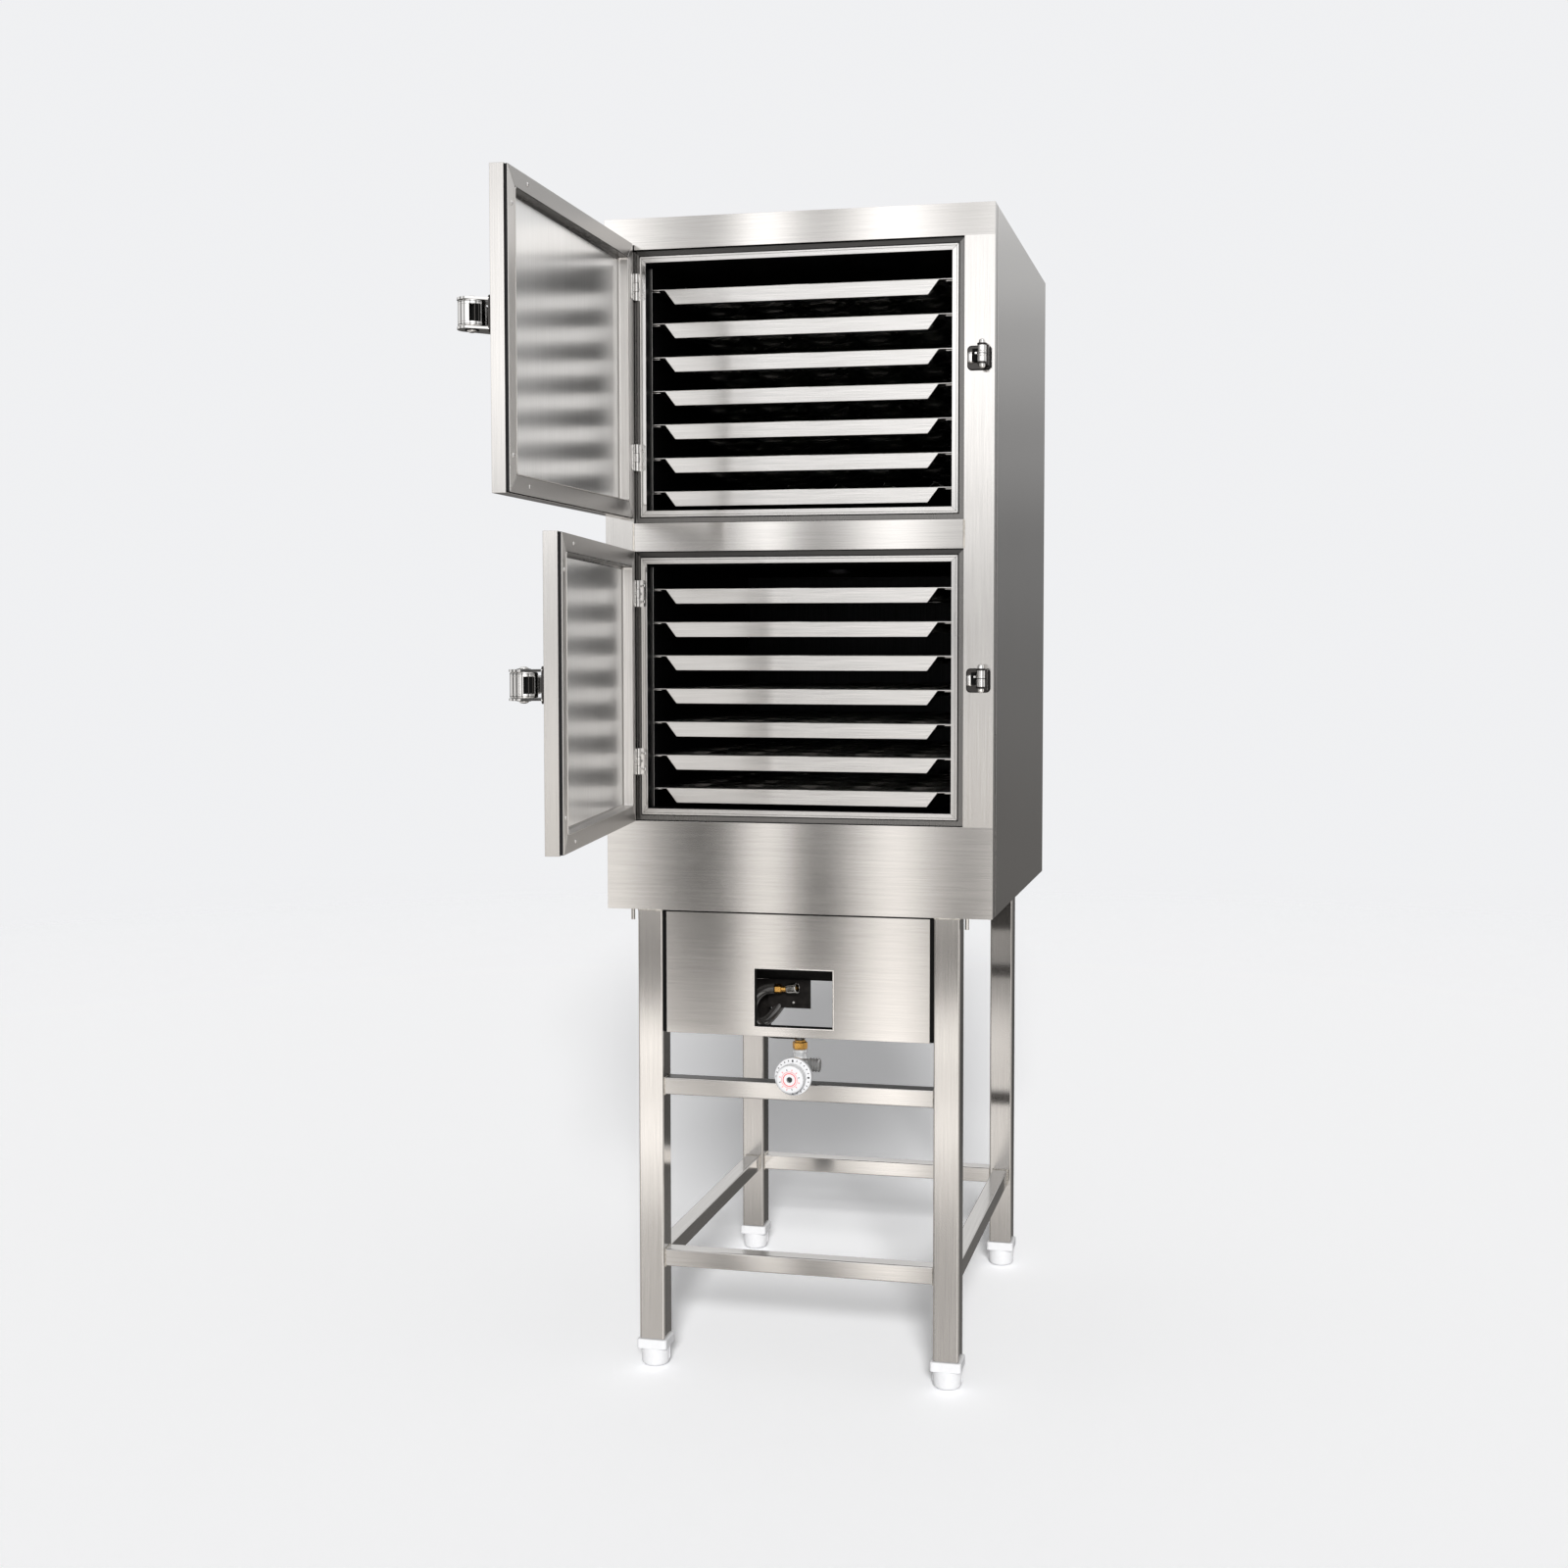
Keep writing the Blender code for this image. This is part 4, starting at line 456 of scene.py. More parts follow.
def wavering(tree, middle, parts):
    """A number that noise values move about a middle, each by its own amount."""
    total = middle
    for value, amount in parts:
        total = maths(tree, "MULTIPLY_ADD", maths(tree, "SUBTRACT", value, 0.5), amount, total)
    return total


def grain_group():
    """Brushed grain: long fine scratches, broader streaks and slow cloudy drift."""
    numbers = ("Fine", "Streak", "Cloud", "Depth")
    tree, given, result = shader_group("brushed_grain", ("Grain", "Place"), numbers)
    fine = noise_node(tree, given["Grain"], 1500, 2, 0.6)
    streak = noise_node(tree, given["Grain"], 620, 2, 0.5)
    cloud = noise_node(tree, given["Place"], 7, 3, 0.5)
    smear = noise_node(tree, given["Place"], 38, 2, 0.6)
    parts = ((fine, given["Fine"]), (streak, given["Streak"]), (cloud, given["Cloud"]))
    feed(tree, result["Tone"], wavering(tree, 0.5, parts))
    feed(tree, result["Roughness"], wavering(tree, 0.0, ((streak, 0.012), (cloud, 0.03), (smear, 0.01))))
    height = maths(tree, "MULTIPLY_ADD", streak, 0.25, fine)
    feed(tree, result["Height"], maths(tree, "MULTIPLY", height, given["Depth"]))
    return tree


def skin_group():
    """Moulded or cast skin: fine pebbling and a slow drift of tone."""
    tree, given, result = shader_group("cast_skin", ("Place",), ("Scale", "Drift", "Depth"))
    scaled = add_node(
        tree, "ShaderNodeVectorMath", {0: given["Place"], "Scale": given["Scale"]}, operation="SCALE"
    )
    pebble = noise_node(tree, scaled.outputs[0], 1, 3, 0.6)
    drift = noise_node(tree, scaled.outputs[0], 0.06, 4, 0.6)
    feed(tree, result["Tone"], wavering(tree, 0.5, ((drift, given["Drift"]),)))
    feed(tree, result["Roughness"], wavering(tree, 0.0, ((pebble, 0.12), (drift, 0.16))))
    feed(tree, result["Height"], maths(tree, "MULTIPLY", pebble, given["Depth"]))
    return tree


def blank_material(name, preview):
    """A new material, with its tree, its surface shader and the place on the object."""
    material = bpy.data.materials.new(name)
    material.use_nodes = True
    material.diffuse_color = (*preview, 1)
    tree = material.node_tree
    coordinates = tree.nodes.new("ShaderNodeTexCoord")
    return material, tree, tree.nodes["Principled BSDF"], coordinates.outputs["Object"]


def tone_colour(tree, tone, dark, light, low=0.2, high=0.8):
    """A colour between dark and light, by a tone from low to high."""
    ramp = add_node(tree, "ShaderNodeValToRGB", {"Fac": tone})
    for element, position, colour in zip(ramp.color_ramp.elements, (low, high), (dark, light)):
        element.position = position
        element.color = (*colour, 1)
    return ramp.outputs["Color"]


def colour_between(tree, share, first, second):
    """A colour between two others, by a share of the second."""
    mix = add_node(tree, "ShaderNodeMix", {"Factor": share}, data_type="RGBA")
    ends = [socket for socket in mix.inputs if socket.type == "RGBA"]
    feed(tree, ends[0], first)
    feed(tree, ends[1], second)
    return next(socket for socket in mix.outputs if socket.type == "RGBA")


def scaled_tone(colour, share):
    """A colour made darker or lighter by a share."""
    return tuple(min(1.0, part * share) for part in colour)


def dress(tree, shader, skin, colour, contrast, roughness, metallic, bump_strength, bump_distance):
    """Lead a group's tone, roughness and height into a shader."""
    dark, light = (scaled_tone(colour, 1 + side * contrast) for side in SIDES)
    feed(tree, shader.inputs["Base Color"], tone_colour(tree, skin["Tone"], dark, light))
    feed(tree, shader.inputs["Roughness"], maths(tree, "ADD", skin["Roughness"], roughness))
    shader.inputs["Metallic"].default_value = metallic
    inputs = {"Strength": bump_strength, "Distance": bump_distance, "Height": skin["Height"]}
    bump = add_node(tree, "ShaderNodeBump", inputs)
    feed(tree, shader.inputs["Normal"], bump.outputs["Normal"])


def steel_material(group, name, colour, along, roughness, contrast, anisotropic, cloud):
    """Stainless sheet brushed along one axis of its object."""
    material, tree, shader, place = blank_material(name, colour)
    squeeze = [1.0, 1.0, 1.0]
    squeeze[along] = 0.012
    mapping = add_node(tree, "ShaderNodeMapping", {"Scale": squeeze, "Vector": place})
    grain = add_node(tree, "ShaderNodeGroup", node_tree=group)
    for label, value in (
        ("Fine", 0.8), ("Streak", 0.8), ("Cloud", cloud), ("Depth", 1.0),
        ("Grain", mapping.outputs["Vector"]), ("Place", place),
    ):
        feed(tree, grain.inputs[label], value)
    dress(tree, shader, grain.outputs, colour, contrast, roughness, 1.0, 0.2, 0.00002)
    shader.inputs["Anisotropic"].default_value = anisotropic
    if anisotropic:
        tangent = add_node(tree, "ShaderNodeTangent", direction_type="RADIAL", axis="XYZ"[along])
        feed(tree, shader.inputs["Tangent"], tangent.outputs["Tangent"])
    return material


def skin_material(
    group, name, colour, roughness, metallic, scale, drift, depth, contrast, coat=0.0, specular=0.5
):
    """A cast, moulded, plated or painted finish."""
    material, tree, shader, place = blank_material(name, colour)
    skin = add_node(tree, "ShaderNodeGroup", node_tree=group)
    for label, value in (("Scale", scale), ("Drift", drift), ("Depth", 1.0), ("Place", place)):
        feed(tree, skin.inputs[label], value)
    dress(tree, shader, skin.outputs, colour, contrast, roughness, metallic, 0.3, depth)
    shader.inputs["Coat Weight"].default_value = coat
    shader.inputs["Specular IOR Level"].default_value = specular
    return material


def chrome_material(group, colour):
    """Bright plating whose colour is painted darker towards its outline, as a painted dark reflection along
    its edges.
    """
    material = skin_material(group, "chrome_plate", colour, 0.07, 1.0, 300, 0.6, 0.00002, 0.06)
    tree = material.node_tree
    base = tree.nodes["Principled BSDF"].inputs["Base Color"]
    # Painted reflection: the base colour turns near black where the surface turns away from the camera
    facing = add_node(tree, "ShaderNodeLayerWeight", {"Blend": 0.22}).outputs["Facing"]
    feed(tree, base, colour_between(tree, facing, base.links[0].from_socket, (0.05, 0.048, 0.046, 1)))
    return material


# Each steel: its material's name, which of the set colours it takes and what share of it, the axis of its
# brushing, how much rougher it is than the sheet, its contrast, its anisotropy and its clouds
STEELS = {
    "steel_across": ("steel_brushed_across", "sheet", 1.0, 0, 0.0, 0.07, 0.95, 0.4),
    "steel_deep": ("steel_brushed_deep", "sheet", 1.0, 1, 0.0, 0.07, 0.95, 0.4),
    "steel_upright": ("steel_brushed_upright", "sheet", 1.0, 2, 0.0, 0.07, 0.95, 0.4),
    "side_steel": ("steel_side_panel", "sheet", 0.94, 2, 0.05, 0.05, 0.5, 0.6),
    "roof_steel": ("steel_roof", "sheet", 0.94, 1, 0.08, 0.08, 0.0, 0.7),
    "liner_steel": ("steel_door_liner", "liner", 1.0, 2, 0.17, 0.07, 0.88, 0.8),
    # Painted light and shade: a lighter copy of the sheet for the liner's side strips and a darker one for
    # its top and bottom strips
    "liner_frame": ("steel_liner_frame", "sheet", 1.08, 2, 0.26, 0.08, 0.2, 0.4),
    "liner_strip": ("steel_liner_strip", "sheet", 0.74, 0, 0.24, 0.08, 0.3, 0.4),
    "liner_edge": ("steel_liner_edge", "sheet", 1.05, 2, 0.30, 0.12, 0.0, 0.4),
    # Painted shade: darker copies of the sheet for rebates, chamber edges, the liner recess's top walls and
    # the upper rail's top
    "rebate_steel": ("steel_rebate", "sheet", 0.30, 2, 0.16, 0.12, 0.4, 0.4),
    "rebate_dark": ("steel_dark_rebate", "sheet", 0.10, 0, 0.16, 0.12, 0.4, 0.4),
    # Painted shade for the band by the front seam, and a painted highlight for bands beside folds and rims
    "seam_steel": ("steel_side_seam", "sheet", 0.50, 2, 0.16, 0.12, 0.4, 0.4),
    "fold_steel": ("steel_side_fold", "sheet", 1.45, 2, 0.16, 0.08, 0.4, 0.4),
    # Painted shade: darker copies of the upright steel for the front right leg and, darker still, the back
    # legs
    "leg_steel": ("steel_leg", "sheet", 0.84, 2, 0.0, 0.07, 0.95, 0.4),
    "far_leg_steel": ("steel_far_leg", "sheet", 0.66, 2, 0.0, 0.07, 0.95, 0.4),
    "bright_across": ("steel_bright_across", "bright", 1.0, 0, 0.10, 0.12, 0.75, 0.4),
    "bright_upright": ("steel_bright_upright", "bright", 1.0, 2, -0.05, 0.12, 0.95, 0.4),
    # Painted shade: near black steel for the inside of the chambers
    "chamber": ("steel_dark_chamber", "chamber", 1.0, 2, 0.335, 0.3, 0.3, 0.4),
}

# Each skin: its material's name, colour, roughness, metal, scale of the pebbling, drift of tone, depth,
# contrast, coat and how strongly it mirrors
SKINS = {
    "weld": ("weld_bead", (0.58, 0.55, 0.50), 0.28, 1.0, 900, 1.2, 0.0003, 0.35),
    # Painted shade: a near black copy of the chrome for the latch and strike plates, ears and bars
    "dark_chrome": ("dark_plate", (0.055, 0.052, 0.050), 0.18, 1.0, 300, 0.6, 0.00002, 0.10),
    "hinge_plate": ("hinge_plate", (0.62, 0.61, 0.60), 0.14, 1.0, 300, 0.8, 0.00004, 0.3),
    # Painted shadow: a black, dull finish for pieces set in gaps, holes and recesses where there is only
    # shade
    "shadow": ("dark_recess", (0.006, 0.006, 0.006), 0.7, 0.0, 400, 0.6, 0.0001, 0.3, 0.0, 0.04),
    "rubber": ("black_rubber_seal", (0.014, 0.014, 0.015), 0.62, 0.0, 2500, 0.8, 0.0001, 0.35, 0.0, 0.2),
    "plastic": ("white_moulded_plastic", (0.66, 0.665, 0.68), 0.46, 0.0, 2200, 0.8, 0.00005, 0.05, 0.0, 0.3),
    "iron": ("heat_stained_iron", (0.009, 0.008, 0.0075), 0.58, 0.0, 1400, 1.6, 0.0004, 0.55, 0.0, 0.12),
    "pipe": ("dark_painted_pipe", (0.022, 0.021, 0.020), 0.20, 0.0, 900, 1.2, 0.00006, 0.3, 0.5, 0.6),
    "brass": ("tarnished_brass", (0.56, 0.31, 0.08), 0.26, 1.0, 700, 1.6, 0.00008, 0.28),
    "casting": ("grey_die_casting", (0.66, 0.67, 0.68), 0.34, 0.55, 2600, 1.1, 0.0002, 0.16),
    "dull_casting": ("dull_die_casting", (0.34, 0.34, 0.34), 0.34, 0.7, 2600, 1.1, 0.0002, 0.2),
    "silvery": ("grey_mouth", (0.42, 0.42, 0.41), 0.18, 1.0, 900, 0.8, 0.00005, 0.10),
    # Black print for ticks, also used as painted shade in the dial's centre hole
    "mark": ("printed_mark", (0.03, 0.03, 0.032), 0.5, 0.0, 1500, 0.5, 0.00002, 0.2),
    "red_mark": ("printed_red_ring", (0.70, 0.16, 0.17), 0.45, 0.0, 1500, 0.8, 0.00002, 0.15),
}
FINISHES = {}


def build_finishes(steel):
    """Make every finish of the steamer."""
    grain = grain_group()
    skin = skin_group()
    for key, (name, source, share, along, rougher, *rest) in STEELS.items():
        colour = scaled_tone(getattr(steel, source + "_colour"), share)
        FINISHES[key] = steel_material(grain, name, colour, along, steel.sheet_roughness + rougher, *rest)
    for key, row in SKINS.items():
        FINISHES[key] = skin_material(skin, *row)
    FINISHES["chrome"] = chrome_material(skin, tuple(steel.chrome_colour))


# Settings that a user would change

class SteelSettings(bpy.types.PropertyGroup):
    """Colours and roughness of the metal."""
    sheet_colour: bpy.props.FloatVectorProperty(
        name="Sheet colour", description="Base colour of the brushed sheet and tube", subtype="COLOR",
        default=(0.595, 0.58, 0.565), min=0, max=1, size=3)
    liner_colour: bpy.props.FloatVectorProperty(
        name="Liner colour", description="Base colour of the sunken panels inside the doors",
        subtype="COLOR", default=(0.90, 0.897, 0.89), min=0, max=1, size=3)
    bright_colour: bpy.props.FloatVectorProperty(
        name="Bright sheet colour", description="Base colour of the trays and the door seats",
        subtype="COLOR", default=(0.64, 0.63, 0.62), min=0, max=1, size=3)
    # Painted shade: the inside of the chambers is given a near black steel
    chamber_colour: bpy.props.FloatVectorProperty(
        name="Chamber colour", description="Base colour of the dark inside of the chambers", subtype="COLOR",
        default=(0.030, 0.030, 0.032), min=0, max=1, size=3)
    chrome_colour: bpy.props.FloatVectorProperty(
        name="Chrome colour", description="Base colour of the plated latches and hinges", subtype="COLOR",
        default=(0.84, 0.83, 0.82), min=0, max=1, size=3)
    sheet_roughness: bpy.props.FloatProperty(
        name="Sheet roughness", description="Mean roughness of the brushed sheet",
        default=0.115, min=0, max=1)


class TraySettings(bpy.types.PropertyGroup):
    """Sizes of the idli cups in each tray."""
    cups_across: bpy.props.IntProperty(
        name="Cups across", description="Number of cups in a row across the tray", default=5, min=1)
    cups_deep: bpy.props.IntProperty(
        name="Cups deep", description="Number of rows from front to back", default=5, min=1)
    cup_diameter: bpy.props.FloatProperty(
        name="Cup diameter", description="Diameter of a cup at its rim", default=0.074, unit="LENGTH", min=0)
    cup_depth: bpy.props.FloatProperty(
        name="Cup depth", description="Depth of a cup below the tray", default=0.013, unit="LENGTH", min=0)


class DetailSettings(bpy.types.PropertyGroup):
    """Sizes of folds, welds and screws."""
    fold_radius: bpy.props.FloatProperty(
        name="Fold radius", description="Radius at the folded edges of the sheet", default=0.0010,
        unit="LENGTH", min=0)
    weld_radius: bpy.props.FloatProperty(
        name="Weld radius", description="Radius of the weld beads", default=0.0017, unit="LENGTH", min=0)
    weld_ripple: bpy.props.FloatProperty(
        name="Weld ripple", description="Distance between the ripples of a weld", default=0.0027,
        unit="LENGTH", min=0.0005)
    screw_radius: bpy.props.FloatProperty(
        name="Screw head radius", description="Radius of the screw heads on the liners", default=0.0030,
        unit="LENGTH", min=0)
    recess_corner: bpy.props.FloatProperty(
        name="Recess corner", description="Radius at the corners of the liner's sunken panel",
        default=0.0040, unit="LENGTH", min=0)


class StageSettings(bpy.types.PropertyGroup):
    """The floor, the lamps and the camera."""
    floor_colour: bpy.props.FloatVectorProperty(
        name="Floor colour", description="Colour of the floor", subtype="COLOR",
        default=(0.86, 0.87, 0.89), min=0, max=1, size=3)
    backdrop_colour: bpy.props.FloatVectorProperty(
        name="Backdrop colour", description="Colour of the background", subtype="COLOR",
        default=(0.87, 0.875, 0.89), min=0, max=1, size=3)
    key_strength: bpy.props.FloatProperty(
        name="Key strength", description="Strength of the lamp above the camera", default=3.6, min=0)
    key_spread: bpy.props.FloatProperty(
        name="Key spread", description="Angle that the lamp fills, which softens its shadows",
        default=math.radians(13), subtype="ANGLE", min=0)
    room_strength: bpy.props.FloatProperty(
        name="Room strength", description="Strength of the soft light from all round", default=0.29, min=0)
    lens: bpy.props.FloatProperty(
        name="Lens", description="Focal length of the camera", default=44.04,
        subtype="DISTANCE_CAMERA", min=1)


SETTINGS = (
    ("steamer_steel", SteelSettings), ("steamer_trays", TraySettings), ("steamer_details", DetailSettings),
    ("steamer_stage", StageSettings),
)


# The stage

# Seen by the camera, the floor is so much paler than where it only throws light back
FLOOR_SEEN = 1.32
FLOOR_RADIUS = 7.0
FADE_START = 2.6
FADE_END = 6.5

LAMP_PLACE = (1.6, -5.6, 3.9)
LAMP_HEADING = (-1.38, 5.70, -2.72)
CAMERA_PLACE = (0.88, -2.6869, 1.0633)
CAMERA_TURN = 0.2129
CAMERA_DIP = 0.05
CAMERA_ROLL = 0.0008
CAMERA_SHIFT = (-0.04375, -0.025)

# Brightness that the metal sees: (degrees across, tone) for upright bands, (degrees up, tone) for level
# ones, and how far each set of level bands holds at (degrees across, share)
WIDE_BANDS = (
    (-180, 0.0), (-150, 0.0), (-135, 0.50), (-122, 1.25), (-113, 1.25), (-104, 0.45), (-80, 0.45),
    (-70, 1.05), (-58, 0.05), (-46, 0.90), (-32, 1.90), (-16, 1.80), (-8, 0.05), (0, 0.70), (30, 0.60),
    (42, 0.05), (58, 1.00), (78, 0.10), (100, 1.20), (125, 0.60), (145, 0.05), (160, 0.0), (180, 0.0),
)
NEAR_BANDS = (
    (0, 0.70), (5.2, 1.45), (7.4, 0.85), (8.9, 0.42), (9.6, 0.65), (10.3, 1.25), (11.0, 1.65), (11.8, 1.10),
    (12.4, 0.55), (13.1, 0.02), (13.8, 0.25), (14.4, 1.45), (15.2, 1.50), (15.9, 0.20), (16.7, 0.05),
    (17.5, 0.25), (18.2, 0.60), (18.8, 1.10), (19.8, 1.30), (22.0, 0.70), (25, 0.50), (30, 0.60),
)
LEVEL_BANDS = (
    (-30, 0.05), (-19, 0.0), (-17, 0.05), (-15.8, 0.45), (-14.4, 0.90), (-12.6, 0.65), (-11.6, 0.95),
    (-10.9, 0.60), (-10.1, -0.25), (-9.0, -0.40), (-7.8, -0.20), (-6.5, 0.00), (-3.0, 0.10), (0.3, 0.02),
    (1.8, 0.12), (4.0, 0.42), (6.0, 0.72), (8.0, 0.92), (11.5, 0.85), (14, 0.60), (18, 0.30), (30, 0.0),
)
BACK_BANDS = (
    (-30, 0.18), (-17, 0.16), (-13, 0.09), (-6, 0.15), (-1, 0.18), (3, 0.22), (6, 0.32), (9, 0.45),
    (11, 0.60), (14, 0.85), (30, 1.0),
)
LEVEL_SHARE = (
    (-180, 0.0), (-100, 0.0), (-40, 0.20), (-10, 0.35), (0, 1.0), (30, 1.0), (44, 0.30), (90, 0.15),
    (110, 0.0), (180, 0.0),
)
FOOT_BANDS = ((-30, 1.0), (-17, 1.0), (-15, 0.8), (-11.8, 0.7), (-11.0, 0.2), (-10.5, 0.0), (30, 0.0))
FOOT_SHARE = (
    (-180, 0.0), (7.5, 0.0), (9.0, -0.25), (11.0, -0.25), (12.2, 0.10), (13.2, 0.45), (13.8, 0.10),
    (14.6, -0.60), (15.5, -0.60), (16.2, 0.0), (16.8, 0.50), (17.6, 0.55), (18.2, 0.15), (19.0, 0.0),
    (180, 0.0),
)
BACK_SHARE = (
    (-180, 1.0), (-150, 1.0), (-110, 0.15), (-60, 0.0), (60, 0.0), (110, 0.15), (150, 1.0), (180, 1.0),
)


def room_light(tree, direction):
    """Brightness of the studio as metal sees it, from upright bands and level bands."""
    split = add_node(tree, "ShaderNodeSeparateXYZ", {0: direction}).outputs
    across, ahead = (maths(tree, "MULTIPLY", split[axis], -1.0) for axis in "XY")
    turn = maths(tree, "MULTIPLY", maths(tree, "ARCTAN2", across, ahead), 180 / math.pi)
    rise = maths(tree, "MULTIPLY", maths(tree, "ARCSINE", split["Z"]), 180 / math.pi)
    past, before = maths(tree, "GREATER_THAN", turn, 0.0), maths(tree, "LESS_THAN", turn, 30.0)
    inside = maths(tree, "MULTIPLY", past, before)
    outside = maths(tree, "SUBTRACT", 1.0, inside)
    total = maths(tree, "MULTIPLY", tone_stops(tree, turn, WIDE_BANDS), outside)
    total = maths(tree, "MULTIPLY_ADD", tone_stops(tree, turn, NEAR_BANDS), inside, total)
    for bands, shares in ((LEVEL_BANDS, LEVEL_SHARE), (BACK_BANDS, BACK_SHARE), (FOOT_BANDS, FOOT_SHARE)):
        total = maths(
            tree, "MULTIPLY_ADD", tone_stops(tree, rise, bands), tone_stops(tree, turn, shares), total
        )
    overhead = maths(tree, "MULTIPLY", maths(tree, "SUBTRACT", rise, 30.0), 0.012)
    high = maths(tree, "SMOOTH_MAX", overhead, 0.0, 0.05)
    return maths(tree, "MAXIMUM", maths(tree, "ADD", total, high), 0.02), rise


def warm_light(tree, rise):
    """The colour of the studio: neutral above the camera's height and warmer low down."""
    warmth = add_node(
        tree, "ShaderNodeMapRange", {"Value": rise, "From Min": 4.0, "From Max": -9.0},
        interpolation_type="SMOOTHSTEP",
    )
    return tone_colour(tree, warmth.outputs["Result"], (1.0, 0.995, 0.99), (1.0, 0.965, 0.925), 0.0, 1.0)


def tone_stops(tree, degrees, stops):
    """A brightness that follows stops of (degrees, brightness) from the first to the last."""
    start, end = stops[0][0], stops[-1][0]
    place = maths(tree, "DIVIDE", maths(tree, "SUBTRACT", degrees, start), end - start)
    ramp = add_node(tree, "ShaderNodeValToRGB", {"Fac": place})
    elements = ramp.color_ramp.elements
    ramp.color_ramp.interpolation = "EASE"
    for index, (angle, tone) in enumerate(stops):
        position = (angle - start) / (end - start)
        element = elements[index] if index < len(elements) else elements.new(position)
        element.position = position
        element.color = (*[tone / 4 + 0.5] * 3, 1)
    return maths(tree, "MULTIPLY", maths(tree, "SUBTRACT", ramp.outputs["Color"], 0.5), 4.0)


def build_floor(stage):
    """A pale floor that fades into the background."""
    shape = bmesh.new()
    bmesh.ops.create_circle(shape, cap_ends=True, segments=96, radius=FLOOR_RADIUS)
    floor = linked("floor", mesh_from("floor", shape))
    floor.location = (MIDDLE_X, 0.3, -LIFT)
    floor.visible_glossy = False
    material, tree, shader, place = blank_material("pale_floor", tuple(stage.floor_colour))
    camera_ray = tree.nodes.new("ShaderNodeLightPath").outputs["Is Camera Ray"]
    seen = (*(value * FLOOR_SEEN for value in stage.floor_colour), 1)
    feed(tree, shader.inputs["Base Color"], colour_between(tree, camera_ray, (*stage.floor_colour, 1), seen))
    shader.inputs["Roughness"].default_value = 0.75
    length = add_node(tree, "ShaderNodeVectorMath", {0: place}, operation="LENGTH")
    fade = add_node(tree, "ShaderNodeMapRange", {
        "Value": length.outputs["Value"], "From Min": FADE_START, "From Max": FADE_END, "To Min": 1.0,
        "To Max": 0.0,
    }, interpolation_type="SMOOTHSTEP")
    feed(tree, shader.inputs["Alpha"], fade.outputs["Result"])
    floor.data.materials.append(material)


def build_world(context, stage):
    """Soft room light, with a plain background and bands that the metal reflects."""
    world = bpy.data.worlds.new("studio")
    world.use_nodes = True
    context.scene.world = world
    tree = world.node_tree
    tree.nodes.remove(tree.nodes["Background"])
    rays = tree.nodes.new("ShaderNodeLightPath").outputs
    brightness, rise = room_light(tree, tree.nodes.new("ShaderNodeTexCoord").outputs["Generated"])
    soft, seen, mirrored = (
        add_node(tree, "ShaderNodeBackground", {"Color": colour, "Strength": strength}).outputs[0]
        for colour, strength in (
            ((1.0, 0.99, 0.98, 1), stage.room_strength), ((*stage.backdrop_colour, 1), 1.0),
            (warm_light(tree, rise), brightness),
        )
    )
    glossy = add_node(tree, "ShaderNodeMixShader", {"Fac": rays["Is Glossy Ray"], 1: soft, 2: mirrored})
    seen_rays = maths(tree, "MAXIMUM", rays["Is Camera Ray"], rays["Is Transmission Ray"])
    camera = add_node(tree, "ShaderNodeMixShader", {"Fac": seen_rays, 1: glossy.outputs[0], 2: seen})
    tree.links.new(camera.outputs[0], tree.nodes["World Output"].inputs["Surface"])


def build_lamp(stage):
    """One broad far lamp over the camera, which throws the soft shadow behind the stand."""
    lamp = bpy.data.lights.new("key_lamp", "SUN")
    lamp.energy = stage.key_strength
    lamp.angle = stage.key_spread
    lamp.color = (1.0, 0.99, 0.975)
    holder = linked("key_lamp", lamp)
    holder.location = LAMP_PLACE
    holder.rotation_euler = Vector(LAMP_HEADING).to_track_quat("-Z", "Y").to_euler()
    holder.visible_glossy = False


def build_camera(context, stage):
    """The camera at the photograph's place, with the same frame."""
    camera = bpy.data.cameras.new("camera")
    camera.lens = stage.lens
    camera.sensor_width = 36
    camera.sensor_fit = "HORIZONTAL"
    camera.shift_x, camera.shift_y = CAMERA_SHIFT
    camera.clip_start = 0.05
    holder = linked("camera", camera)
    turn = Matrix.Rotation(CAMERA_TURN, 4, "Z") @ Matrix.Rotation(math.pi / 2 - CAMERA_DIP, 4, "X")
    holder.matrix_world = Matrix.Translation(CAMERA_PLACE) @ turn @ Matrix.Rotation(CAMERA_ROLL, 4, "Z")
    context.scene.camera = holder


class STEAMER_OT_stage(bpy.types.Operator):
    """Build the floor, the studio light and the camera"""
    bl_idname = "steamer.stage"
    bl_label = "Stage"

    def execute(self, context):
        stage = context.scene.steamer_stage
        context.scene.view_settings.view_transform = "Standard"
        build_floor(stage)
        build_world(context, stage)
        build_lamp(stage)
        build_camera(context, stage)
        return {"FINISHED"}


# The cabinet

def build_shell(details):
    """The outer sheet, with a band of painted seam shade and a band of painted highlight on its sides near
    the front edge.
    """
    bands = [SHELL_LOW.y + reach for reach in (0.005, 0.014, 0.020)]

    def choose(middle, normal):
        if abs(normal.z) > 0.7:
            return 1
        # Painted shade on a band of the sides by the front seam, and a painted highlight on the band behind
        # it
        if abs(normal.x) > 0.7 and bands[0] < middle.y < bands[1]:
            return 2
        if abs(normal.x) > 0.7 and bands[1] < middle.y < bands[2]:
            return 3
        return 0

    inner = 0.0015
    splits = [(0, SHELL_LOW.x + inner), (0, SHELL_HIGH.x - inner)] + [(1, level) for level in bands]
    splits += [(2, SHELL_LOW.z + inner), (2, SHELL_HIGH.z - inner)]
    cad_piece(
        "cabinet_shell", "outer_shell", "side_steel roof_steel seam_steel fold_steel",
        details.fold_radius * 1.3, 3, choose, splits,
    )


